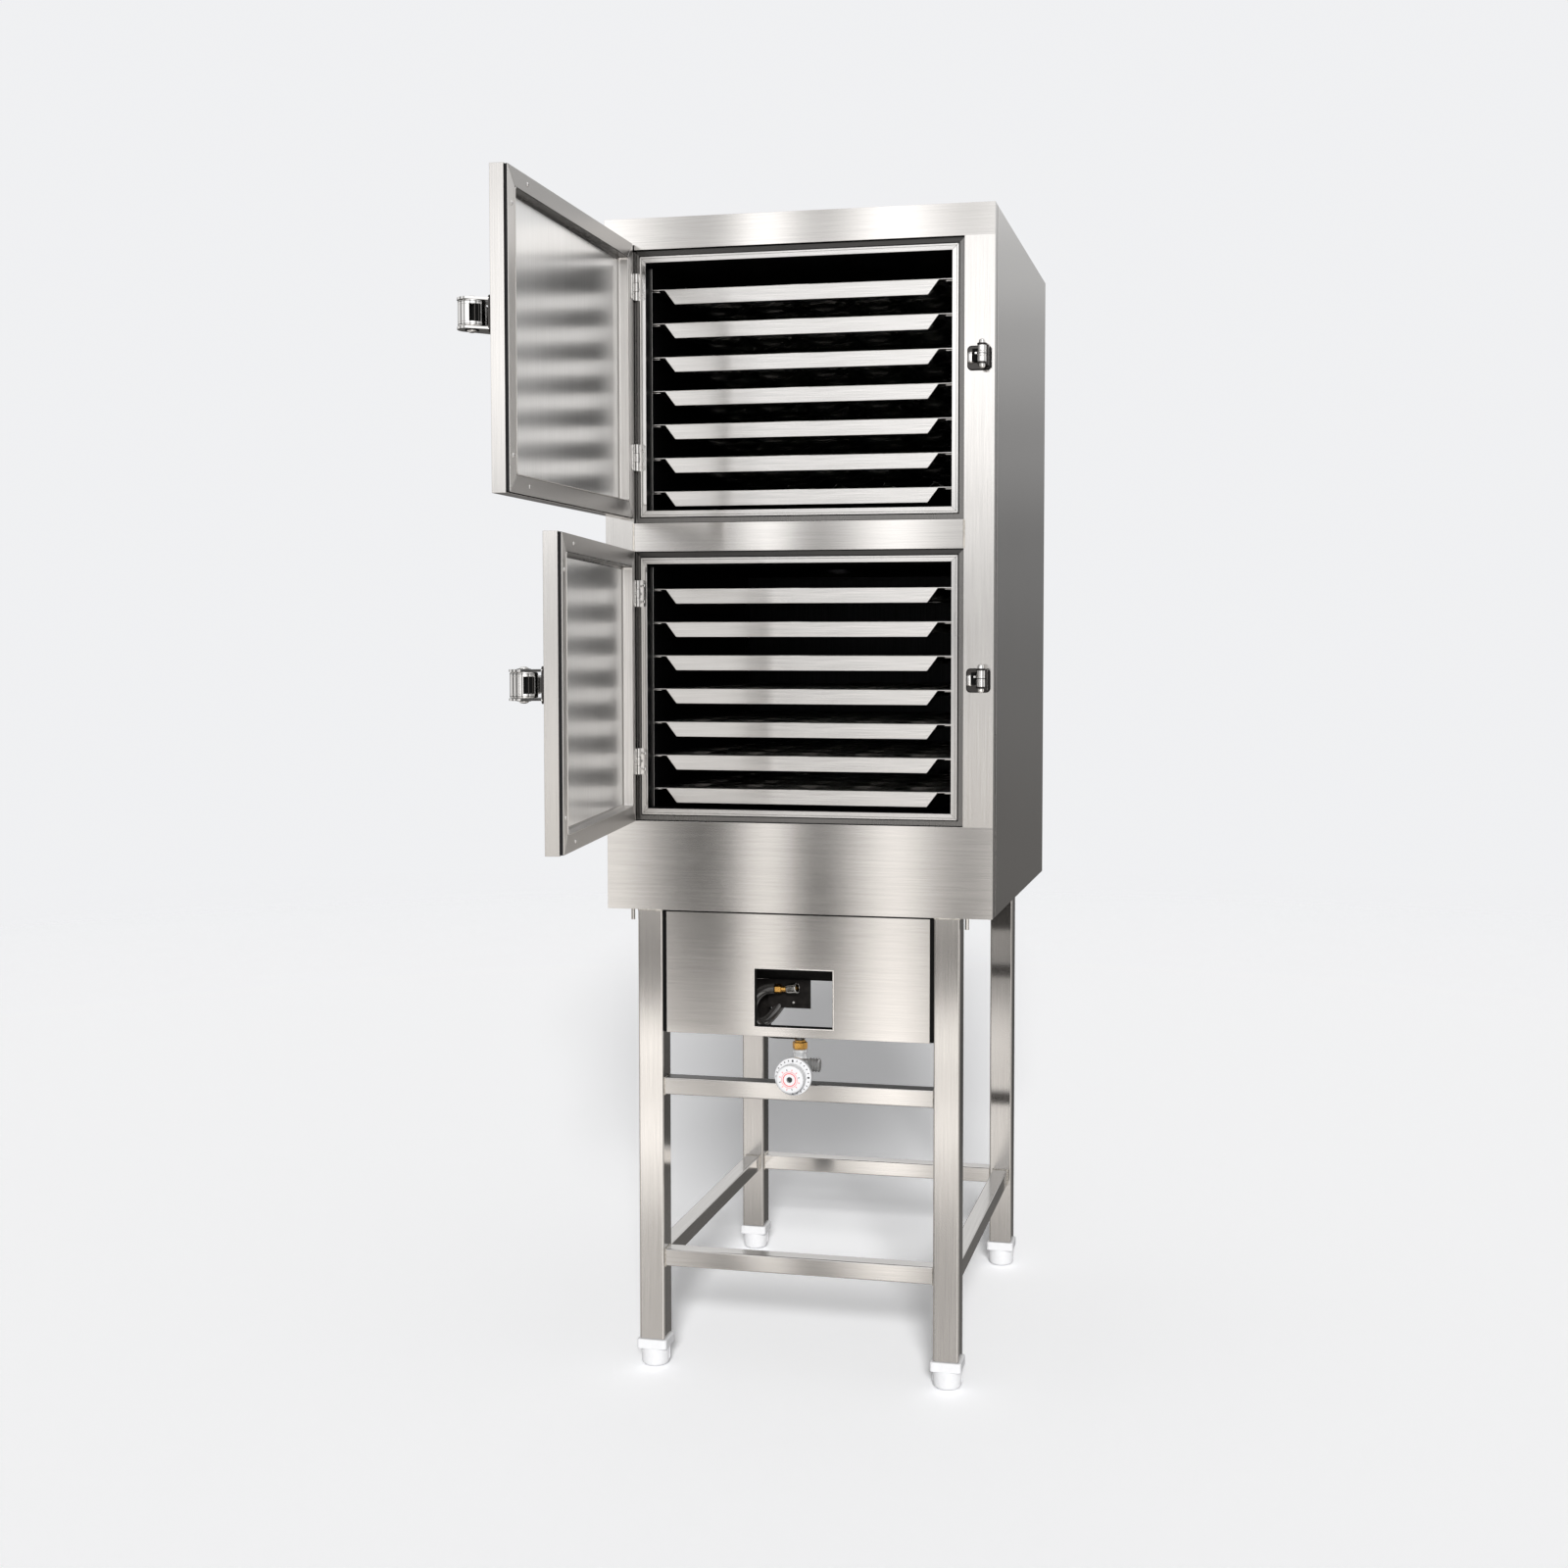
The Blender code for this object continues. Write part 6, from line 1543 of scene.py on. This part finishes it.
def build_tube(node, axis, wall, corner, kind):
    """A square tube with round corners, open along its axis."""
    low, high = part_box(node)
    first, second = [index for index in range(3) if index != axis]
    half_x, half_y = (high[first] - low[first]) / 2, (high[second] - low[second]) / 2
    outer = round_rectangle(-half_x, -half_y, half_x, half_y, corner, 5)
    inner = round_rectangle(-half_x, -half_y, half_x, half_y, corner - wall * 0.7, 5, wall)
    place = Matrix.Diagonal((0, 0, 0, 1))
    for column, row in enumerate((first, second, axis)):
        place[row][column] = 1
    for row in (first, second):
        place[row][3] = (low[row] + high[row]) / 2
    shape = bmesh.new()
    add_ring(shape, outer, inner, low[axis], high[axis], place)
    # Painted shade: the top face of the upper rail, under the cabinet, takes the darkest shade steel
    if node == "front_upper_rail":
        for face in shape.faces:
            if face.calc_center_median().z > high.z - LIFT:
                face.material_index = 1
    finish_piece(node + "_tube", shape, kind + " rebate_dark", "cabinet", (node,))


COLLAR_HALF = 0.02275


def build_foot(place):
    """A moulded foot: a cup, a square collar and the plug in the leg."""
    node = place + "_foot"
    low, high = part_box(node)
    centre = (low + high) / 2
    base = Matrix.Translation((centre.x, centre.y, 0))
    shape = bmesh.new()
    stub = [
        (0, 0.0285), (0.0222, 0.0285), (0.0218, 0.0240), (0.0210, 0.0105), (0.0207, 0.0060),
        (0.0201, 0.0034), (0.0186, 0.0014), (0.0165, 0.0004), (0.0150, 0.0), (0.0, 0.0),
    ]
    add_turned(shape, stub, ROUND_STEPS, base)
    collar = (
        (0.0012, 0.0278), (0.0004, 0.0281), (0.0, 0.0290), (0.0, 0.0408), (0.0006, 0.0416), (0.0016, 0.0420),
    )
    add_loft(shape, [(square(COLLAR_HALF - inset, 0.0046), height) for inset, height in collar], base)
    add_prism(shape, square(0.0172, 0.002), 0.0415, 0.060, base)
    for angle in range(4):
        turn = base @ Matrix.Rotation(math.radians(90 * angle), 4, "Z")
        add_box(shape, (-0.0012, 0.0205, 0.009), (0.0012, 0.0221, 0.028), turn)
    finish_piece(node + "_moulded", shape, "plastic", "cabinet", (node,))


def build_welds(details):
    """Beads where the rails meet the legs and where the legs meet the cabinet."""
    shape = bmesh.new()
    radius = details.weld_radius
    ripple = details.weld_ripple
    for seed, (node, axis, _) in enumerate(RAILS):
        low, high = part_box(node)
        outline = rectangle(low[1 - axis], low.z, high[1 - axis], high.z)
        for end in (low[axis], high[axis]):
            corners = [(x, end, z) if axis else (end, x, z) for x, z in outline]
            add_weld(shape, corners, radius * 0.8, ripple, True, seed * 3.1)
    for seed, place in enumerate(LEGS):
        low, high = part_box(place + "_leg")
        outline = rectangle(low.x, low.y, high.x, high.y, 0.0012)
        corners = [(x, y, high.z - 0.0004) for x, y in outline]
        add_weld(shape, corners, radius, ripple, True, seed * 7.7)
    finish_piece("stand_welds", shape, "weld", "cabinet")


class STEAMER_OT_stand(bpy.types.Operator):
    """Build the legs, the rails, their welds and the feet"""
    bl_idname = "steamer.stand"
    bl_label = "Stand"

    def execute(self, context):
        details = context.scene.steamer_details
        for place, kind in LEGS.items():
            build_tube(place + "_leg", 2, 0.0015, 0.0030, kind)
            build_foot(place)
        for name, axis, kind in RAILS:
            build_tube(name, axis, 0.0012, 0.0020, kind)
        build_welds(details)
        return {"FINISHED"}


# The burner

class STEAMER_OT_cover(bpy.types.Operator):
    """Build the burner cover with its window, a painted highlight round the window and black pieces that
    paint the shade in its gaps
    """
    bl_idname = "steamer.cover"
    bl_label = "Burner cover"

    def execute(self, context):
        details = context.scene.steamer_details
        left, right, bottom, top = MIDDLE_X - 0.0623, MIDDLE_X + 0.0539, 0.5157, 0.6002
        splits = [(0, left), (0, right), (2, bottom), (2, top)]
        low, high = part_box("burner_cover")

        def choose(middle, normal):
            inside = left - LIFT < middle.x < right + LIFT and bottom - LIFT < middle.z < top + LIFT
            # Painted shade: the returns inside the window are black
            return 1 if inside and abs(normal.y) < 0.5 else 0

        cad_piece(
            "burner_cover_sheet", "burner_cover", "steel_across shadow",
            details.fold_radius * 0.5, 2, choose, splits,
        )
        # A bright rim round the window, in the painted highlight steel
        shape = bmesh.new()
        add_ring(
            shape, rectangle(left, bottom, right, top, -0.0016), rectangle(left, bottom, right, top),
            -low.y - 0.0002, -low.y + 0.0004, UPRIGHT,
        )
        finish_piece("window_rim", shape, "fold_steel", "cabinet", (), 0.00025, 2)
        # Black pieces paint the shade inside the window's edge, in the gaps beside the cover and under the
        # cabinet's edge
        shape = bmesh.new()
        depth = 0.0022
        add_ring(
            shape, rectangle(left, bottom, right, top),
            rectangle(left + depth, bottom + depth, right - depth / 3, top - depth), -low.y - 0.0060,
            -low.y - 0.0012, UPRIGHT,
        )
        back = -low.y - 0.004
        for start, end in ((MIDDLE_X - 0.2012, low.x - LIFT), (high.x + LIFT, MIDDLE_X + 0.2012)):
            add_box(shape, (start, low.z + LIFT, back - 0.001), (end, high.z, back), UPRIGHT)
        line_low, line_high = high.z - 0.0016, high.z + 0.0004
        add_box(shape, (low.x, line_low, -low.y + LIFT / 2), (high.x, line_high, -low.y + 0.0004), UPRIGHT)
        finish_piece("cover_gaps", shape, "shadow", "cabinet")
        return {"FINISHED"}


def build_shroud():
    """The sheet round the flame."""
    cad_piece("shroud_sheet", "burner_shroud", "iron", 0.0004, 2)


def build_burner():
    """The burner's head, its ports, the air box and the mixing tube."""
    low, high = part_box("burner")
    head_y = high.y - 0.088
    base = Matrix.Translation((MIDDLE_X, head_y, 0))
    top = high.z
    shape = bmesh.new()
    add_turned(shape, [
        (0, top - 0.002), (0.024, top - 0.002), (0.030, top), (0.066, top), (0.070, top - 0.001),
        (0.086, top - 0.0135), (0.088, top - 0.0165), (0.088, top - 0.029), (0.087, top - 0.030),
        (0.0, top - 0.030),
    ], ROUND_STEPS, base)
    # The ports are short black rods that paint the shade in each hole
    for radius, count in ((0.040, 20), (0.050, 26), (0.060, 32)):
        for index in range(count):
            angle = math.tau * index / count
            place = base @ Matrix.Translation((radius * math.cos(angle), radius * math.sin(angle), 0))
            add_rod(shape, 0.0013, top - 0.0006, top + 0.0001, 8, place, 1)
    mixer_z = low.z + 0.019
    add_rod(shape, 0.018, mixer_z, top - 0.015, FINE_STEPS, base)
    box_low = Vector((MIDDLE_X - 0.056, FRONT_Y + 0.056, mixer_z - 0.019))
    box_high = Vector((MIDDLE_X + 0.008, FRONT_Y + 0.098, mixer_z + 0.019))
    add_box(shape, box_low, (box_high.x, box_low.y + 0.0025, box_high.z + 0.004))
    add_box(
        shape, (box_low.x + 0.006, box_low.y + 0.0025, box_low.z + 0.003),
        (box_high.x - 0.014, box_high.y, box_high.z + 0.001),
    )
    pipe_x = MIDDLE_X - 0.034
    high_z = mixer_z + 0.0345
    bend = arc(FRONT_Y + 0.102, high_z - 0.018, 0.018, 180, 90, 8)
    points = [(pipe_x, FRONT_Y + 0.084, mixer_z)] + [(pipe_x, y, z) for y, z in bend]
    points += [(pipe_x + 0.012, FRONT_Y + 0.150, high_z), (MIDDLE_X, FRONT_Y + 0.210, high_z)]
    points += [(MIDDLE_X, head_y - 0.02, high_z)]
    add_sweep(shape, points, 0.0125, FINE_STEPS)
    screen_y = FRONT_Y + 0.0660
    add_box(
        shape, (MIDDLE_X - 0.100, screen_y, PIPE_LEVEL),
        (MIDDLE_X - 0.0545, screen_y + 0.0012, box_high.z + 0.0020),
    )
    finish_piece("burner_casting", shape, "iron shadow", "cabinet", ("burner",), 0.0004, 2)
    build_mouth(mixer_z)
    build_air_pipe()


def build_mouth(mixer_z):
    """The grey open mouth beside the jet, with painted shade inside it, held on the air box by a small tab.
    """
    start = Vector((MIDDLE_X - 0.0240, FRONT_Y + 0.0460, mixer_z + 0.0112))
    heading = Vector((0.94, -0.27, 0.16)).normalized()
    place = Matrix.Translation(start) @ heading.to_track_quat("Z", "Y").to_matrix().to_4x4()
    length = 0.0165
    shape = bmesh.new()
    add_turned(shape, [
        (0, 0.0040), (0.0056, 0.0040), (0.0060, length - 0.0004), (0.0064, length), (0.0074, length),
        (0.0078, length - 0.0006), (0.0078, length - 0.0030), (0.0074, length - 0.0038), (0.0074, 0.0040),
        (0.0066, 0.0), (0, 0.0),
    ], FINE_STEPS, place)
    # A black disc paints the shade inside the mouth
    add_rod(shape, 0.0055, 0.0038, 0.0046, FINE_STEPS, place, 1)
    add_box(
        shape, (start.x + 0.003, start.y + 0.005, start.z - 0.003),
        (start.x + 0.009, FRONT_Y + 0.0562, start.z + 0.003),
    )
    dot = Matrix.Translation((MIDDLE_X - 0.0175, FRONT_Y + 0.0560, mixer_z - 0.0105)) @ UPRIGHT
    profile = [(0, 0.0012), (0.0016, 0.0010), (0.0022, 0.0002), (0.0022, 0), (0, 0)]
    add_turned(shape, profile, SMALL_STEPS, dot)
    finish_piece("burner_mouth", shape, "silvery shadow", "cabinet")


def build_air_pipe():
    """The second dark pipe, from the air box down behind the cover."""
    shape = bmesh.new()
    points = [Vector((MIDDLE_X + x, FRONT_Y + y, z)) for x, y, z in (
        (-0.0300, 0.0680, 0.5560), (-0.0380, 0.0640, 0.5400), (-0.0480, 0.0590, 0.5250),
        (-0.0570, 0.0560, 0.5155), (-0.0680, 0.0550, 0.5112), (-0.0800, 0.0550, 0.5106),
        (-0.1180, 0.0550, 0.5106),
    )]
    add_sweep(shape, smooth_path(points, 6), 0.0076, FINE_STEPS)
    finish_piece("air_pipe_bend", shape, "pipe", "cabinet")


class STEAMER_OT_burner(bpy.types.Operator):
    """Build the shroud, the burner with its ports and the air box"""
    bl_idname = "steamer.burner"
    bl_label = "Burner"

    def execute(self, context):
        build_shroud()
        build_burner()
        return {"FINISHED"}


def smooth_path(points, steps):
    """A smooth line of points through others."""
    path = []
    for index in range(len(points) - 1):
        before = points[max(index - 1, 0)]
        first, second = points[index], points[index + 1]
        after = points[min(index + 2, len(points) - 1)]
        for step in range(steps):
            share = step / steps
            square_part = 2 * before - 5 * first + 4 * second - after
            cube_part = 3 * first - before - 3 * second + after
            moved = (second - before) * share + square_part * share ** 2 + cube_part * share ** 3
            path.append(first + 0.5 * moved)
    path.append(points[-1])
    return path


def build_pipe():
    """The gas pipe, bent from the regulator up to the jet."""
    low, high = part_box("gas_pipe")
    gas_z = high.z - PIPE_RADIUS
    low_y = FRONT_Y + PIPE_OUT
    gas_y = FRONT_Y + 0.046
    bend_x = MIDDLE_X - 0.060
    pipe_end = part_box("brass_jet")[0].x - 0.0003
    points = [Vector((MIDDLE_X + 0.0075, low_y, PIPE_LEVEL)), Vector((MIDDLE_X - 0.010, low_y, PIPE_LEVEL))]
    first = Vector((bend_x + 0.026, low_y, PIPE_LEVEL))
    second = Vector((bend_x - 0.026, low_y, PIPE_LEVEL))
    third = Vector((bend_x - 0.026, gas_y, gas_z))
    fourth = Vector((pipe_end - 0.0036, gas_y, gas_z))
    for step in range(25):
        share = step / 24
        rest = 1 - share
        weights = (rest ** 3, 3 * rest ** 2 * share, 3 * rest * share ** 2, share ** 3)
        ends = (first, second, third, fourth)
        points.append(sum((end * weight for end, weight in zip(ends, weights)), Vector()))
    points.append(Vector((pipe_end, gas_y, gas_z)))
    shape = bmesh.new()
    add_sweep(shape, points, PIPE_RADIUS, FINE_STEPS)
    stub = Matrix.Translation((MIDDLE_X + 0.0005, low_y, 0))
    add_rod(shape, 0.007, low.z, PIPE_LEVEL, SMALL_STEPS, stub)
    finish_piece("gas_pipe_bend", shape, "pipe", "cabinet", ("gas_pipe",), 0.0003, 2)


def build_jet():
    """The brass jet with its hexagon and ribs."""
    low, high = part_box("brass_jet")
    middle = (low + high) / 2
    along = Matrix.Translation((low.x, middle.y, middle.z)) @ Matrix.Rotation(math.radians(90), 4, "Y")
    length = high.x - low.x
    shape = bmesh.new()
    add_hexagons(shape, ((0.0063, 0.0), (0.0072, 0.0007), (0.0072, 0.0093), (0.0063, 0.0100)), along)
    profile = [(0, length), (0.0030, length), (0.0040, length - 0.002)]
    for step in range(5):
        top = length - 0.0035 - step * 0.0016
        profile += [(0.0046, top), (0.0042, top - 0.0008)]
    profile += [(0.0046, 0.0095), (0, 0.0095)]
    add_turned(shape, profile, FINE_STEPS, along)
    finish_piece("brass_jet_turned", shape, "brass", "cabinet", ("brass_jet",), 0.0002, 2)


class STEAMER_OT_gas_line(bpy.types.Operator):
    """Build the gas pipe and the brass jet"""
    bl_idname = "steamer.gas_line"
    bl_label = "Gas line"

    def execute(self, context):
        build_pipe()
        build_jet()
        return {"FINISHED"}


def build_body(centre, axis):
    """The regulator's housing, neck and ribbed hose inlet."""
    shape = bmesh.new()
    add_turned(shape, [
        (0, 0.0320), (0.0030, 0.0320), (0.0030, 0.0250), (0.0160, 0.0250), (0.0165, 0.0245),
        (0.0165, 0.0222), (0.0240, 0.0222), (0.0240, 0.0178), (0.0262, 0.0170), (0.0268, 0.0160),
        (0.0268, 0.0112), (0.0262, 0.0104), (0.0225, 0.0100), (0.0210, 0.0085), (0.0205, 0.0060),
        (0.0205, -0.0030), (0.0195, -0.0046), (0.0165, -0.0055), (0, -0.0055),
    ], ROUND_STEPS, axis)
    neck_y = FRONT_Y + PIPE_OUT
    neck_z = centre.z + 0.010
    top = NUT_TOP - NUT_HEIGHT
    add_sweep(shape, [(centre.x, FRONT_Y, neck_z), (centre.x, neck_y, neck_z)], 0.0108, FINE_STEPS)
    neck = Matrix.Translation((centre.x, neck_y, 0))
    add_turned(shape, [
        (0, top), (0.0098, top), (0.0108, top - 0.001), (0.0108, top - 0.0045), (0.0094, top - 0.0055),
        (0.0094, top - 0.010), (0.0108, top - 0.012), (0.0108, neck_z - 0.004), (0.0095, neck_z - 0.0090),
        (0, neck_z - 0.0105),
    ], FINE_STEPS, neck)
    inlet = Matrix.Translation((centre.x, FRONT_Y + 0.00275, centre.z + 0.0135))
    inlet = inlet @ Matrix.Rotation(math.radians(90), 4, "Y")
    end = 0.0350
    profile = [(0.0044, end - 0.012), (0.0044, end), (0.0080, end)]
    for step in range(4):
        start = end - 0.0018 - step * 0.0042
        profile += [(0.0104, start), (0.0082, start - 0.0034)]
    profile += [(0.0084, 0.0175), (0.0084, 0.0), (0.0, 0.0)]
    add_turned(shape, [(0, end - 0.012)] + profile, FINE_STEPS, inlet, 1)
    finish_piece(
        "regulator_casting", shape, "casting dull_casting", "cabinet",
        ("regulator_body",), 0.0003, 2,
    )


def build_nut(centre):
    """The hexagon nut between regulator and pipe."""
    low = NUT_TOP - NUT_HEIGHT
    shape = bmesh.new()
    add_hexagons(shape, (
        (0.0100, low - 0.0002), (0.0112, low + 0.0012), (0.0112, NUT_TOP - 0.0034),
        (0.0100, NUT_TOP - 0.0024), (0.0082, NUT_TOP - 0.0023), (0.0082, NUT_TOP - 0.0001),
    ), Matrix.Translation((centre.x, FRONT_Y + PIPE_OUT, 0)))
    finish_piece("regulator_nut", shape, "brass", "cabinet", (), 0.0003, 2)


def build_face(axis):
    """The white face ring with plain ticks."""
    shape = bmesh.new()
    add_turned(shape, [
        (0.0170, 0.0228), (0.0252, 0.0224), (0.0268, 0.0216), (0.0272, 0.0204), (0.0272, 0.0172),
        (0.0268, 0.0165), (0.0241, 0.0165), (0.0241, 0.0222), (0.0170, 0.0222),
    ], ROUND_STEPS, axis, looped=True)
    for index in range(24):
        turn = axis @ Matrix.Rotation(math.tau * index / 24, 4, "Z")
        reach, width = (0.0228, 0.0006) if index % 6 else (0.0216, 0.0012)
        add_box(shape, (reach, -width, 0.0222), (0.0250, width, 0.02290), turn, 1)
    finish_piece("regulator_face", shape, "plastic mark", "cabinet", (), 0.0002, 1)


def build_dial(axis):
    """The dial with its grip, rings and plain marks."""
    shape = bmesh.new()

    def grip(angle, radius):
        return 0.00035 * math.cos(angle * 30) if radius > 0.0195 else 0

    add_turned(shape, [
        (0, 0.0368), (0.0033, 0.0368), (0.0035, 0.0415), (0.0060, 0.0418), (0.0165, 0.0418),
        (0.0182, 0.0414), (0.0196, 0.0404), (0.0203, 0.0388), (0.0203, 0.0262), (0.0198, 0.0254),
        (0.0034, 0.0253), (0.0034, 0.0323), (0, 0.0323),
    ], 120, axis, wave=grip)
    for reach, width in ((0.0084, 0.0014), (0.0112, 0.0006)):
        add_band(shape, reach, reach + width, 0.0416, 0.0420, ROUND_STEPS, axis, 1)
    for index in range(12):
        turn = axis @ Matrix.Rotation(math.tau * (index + 0.5) / 12, 4, "Z")
        add_box(shape, (0.0130, -0.0005, 0.0416), (0.0156, 0.0005, 0.04200), turn, 1 if index % 3 else 2)
    add_band(shape, 0.0033, 0.0041, 0.0416, 0.0420, FINE_STEPS, axis, 2)
    # A black plug paints the shade at the bottom of the centre hole
    add_rod(shape, 0.0034, 0.0366, 0.0398, SMALL_STEPS, axis, 2)
    finish_piece(
        "regulator_dial_cap", shape, "plastic red_mark mark", "dial", ("regulator_dial",)
    )


class STEAMER_OT_regulator(bpy.types.Operator):
    """Build the gas regulator with its dial, nut and hose inlet"""
    bl_idname = "steamer.regulator"
    bl_label = "Regulator"

    def execute(self, context):
        centre = joint_point("dial_turn")
        axis = Matrix.Translation((centre.x, FRONT_Y, centre.z)) @ UPRIGHT
        build_body(centre, axis)
        build_nut(centre)
        build_face(axis)
        build_dial(axis)
        return {"FINISHED"}


OPERATORS = (
    STEAMER_OT_stage, STEAMER_OT_cabinet, STEAMER_OT_chambers, STEAMER_OT_trays, STEAMER_OT_doors,
    STEAMER_OT_hinges, STEAMER_OT_latches, STEAMER_OT_stand, STEAMER_OT_cover, STEAMER_OT_burner,
    STEAMER_OT_gas_line, STEAMER_OT_regulator,
)


class STEAMER_PT_looks(bpy.types.Panel):
    """Lists the steamer's settings and the steps that build it"""
    bl_idname = "STEAMER_PT_looks"
    bl_label = "Idli steamer"
    bl_space_type = "VIEW_3D"
    bl_region_type = "UI"
    bl_category = "Steamer"

    def draw(self, context):
        for name, settings in SETTINGS:
            box = self.layout.box()
            group = getattr(context.scene, name)
            for key in settings.__annotations__:
                box.prop(group, key)
        for operator in OPERATORS:
            self.layout.operator(operator.bl_idname)


def register():
    """Register the settings, the operators and the panel."""
    for name, settings in SETTINGS:
        bpy.utils.register_class(settings)
        setattr(bpy.types.Scene, name, bpy.props.PointerProperty(type=settings))
    for operator in OPERATORS:
        bpy.utils.register_class(operator)
    bpy.utils.register_class(STEAMER_PT_looks)


def unregister():
    """Take the panel, the operators and the settings away again."""
    bpy.utils.unregister_class(STEAMER_PT_looks)
    for operator in reversed(OPERATORS):
        bpy.utils.unregister_class(operator)
    for name, settings in reversed(SETTINGS):
        delattr(bpy.types.Scene, name)
        bpy.utils.unregister_class(settings)


def main():
    """Build the whole scene."""
    register()
    build_finishes(bpy.context.scene.steamer_steel)
    for operator in OPERATORS:
        group, name = operator.bl_idname.split(".")
        getattr(getattr(bpy.ops, group), name)()
    bpy.context.view_layer.update()


if __name__ == "__main__":
    main()
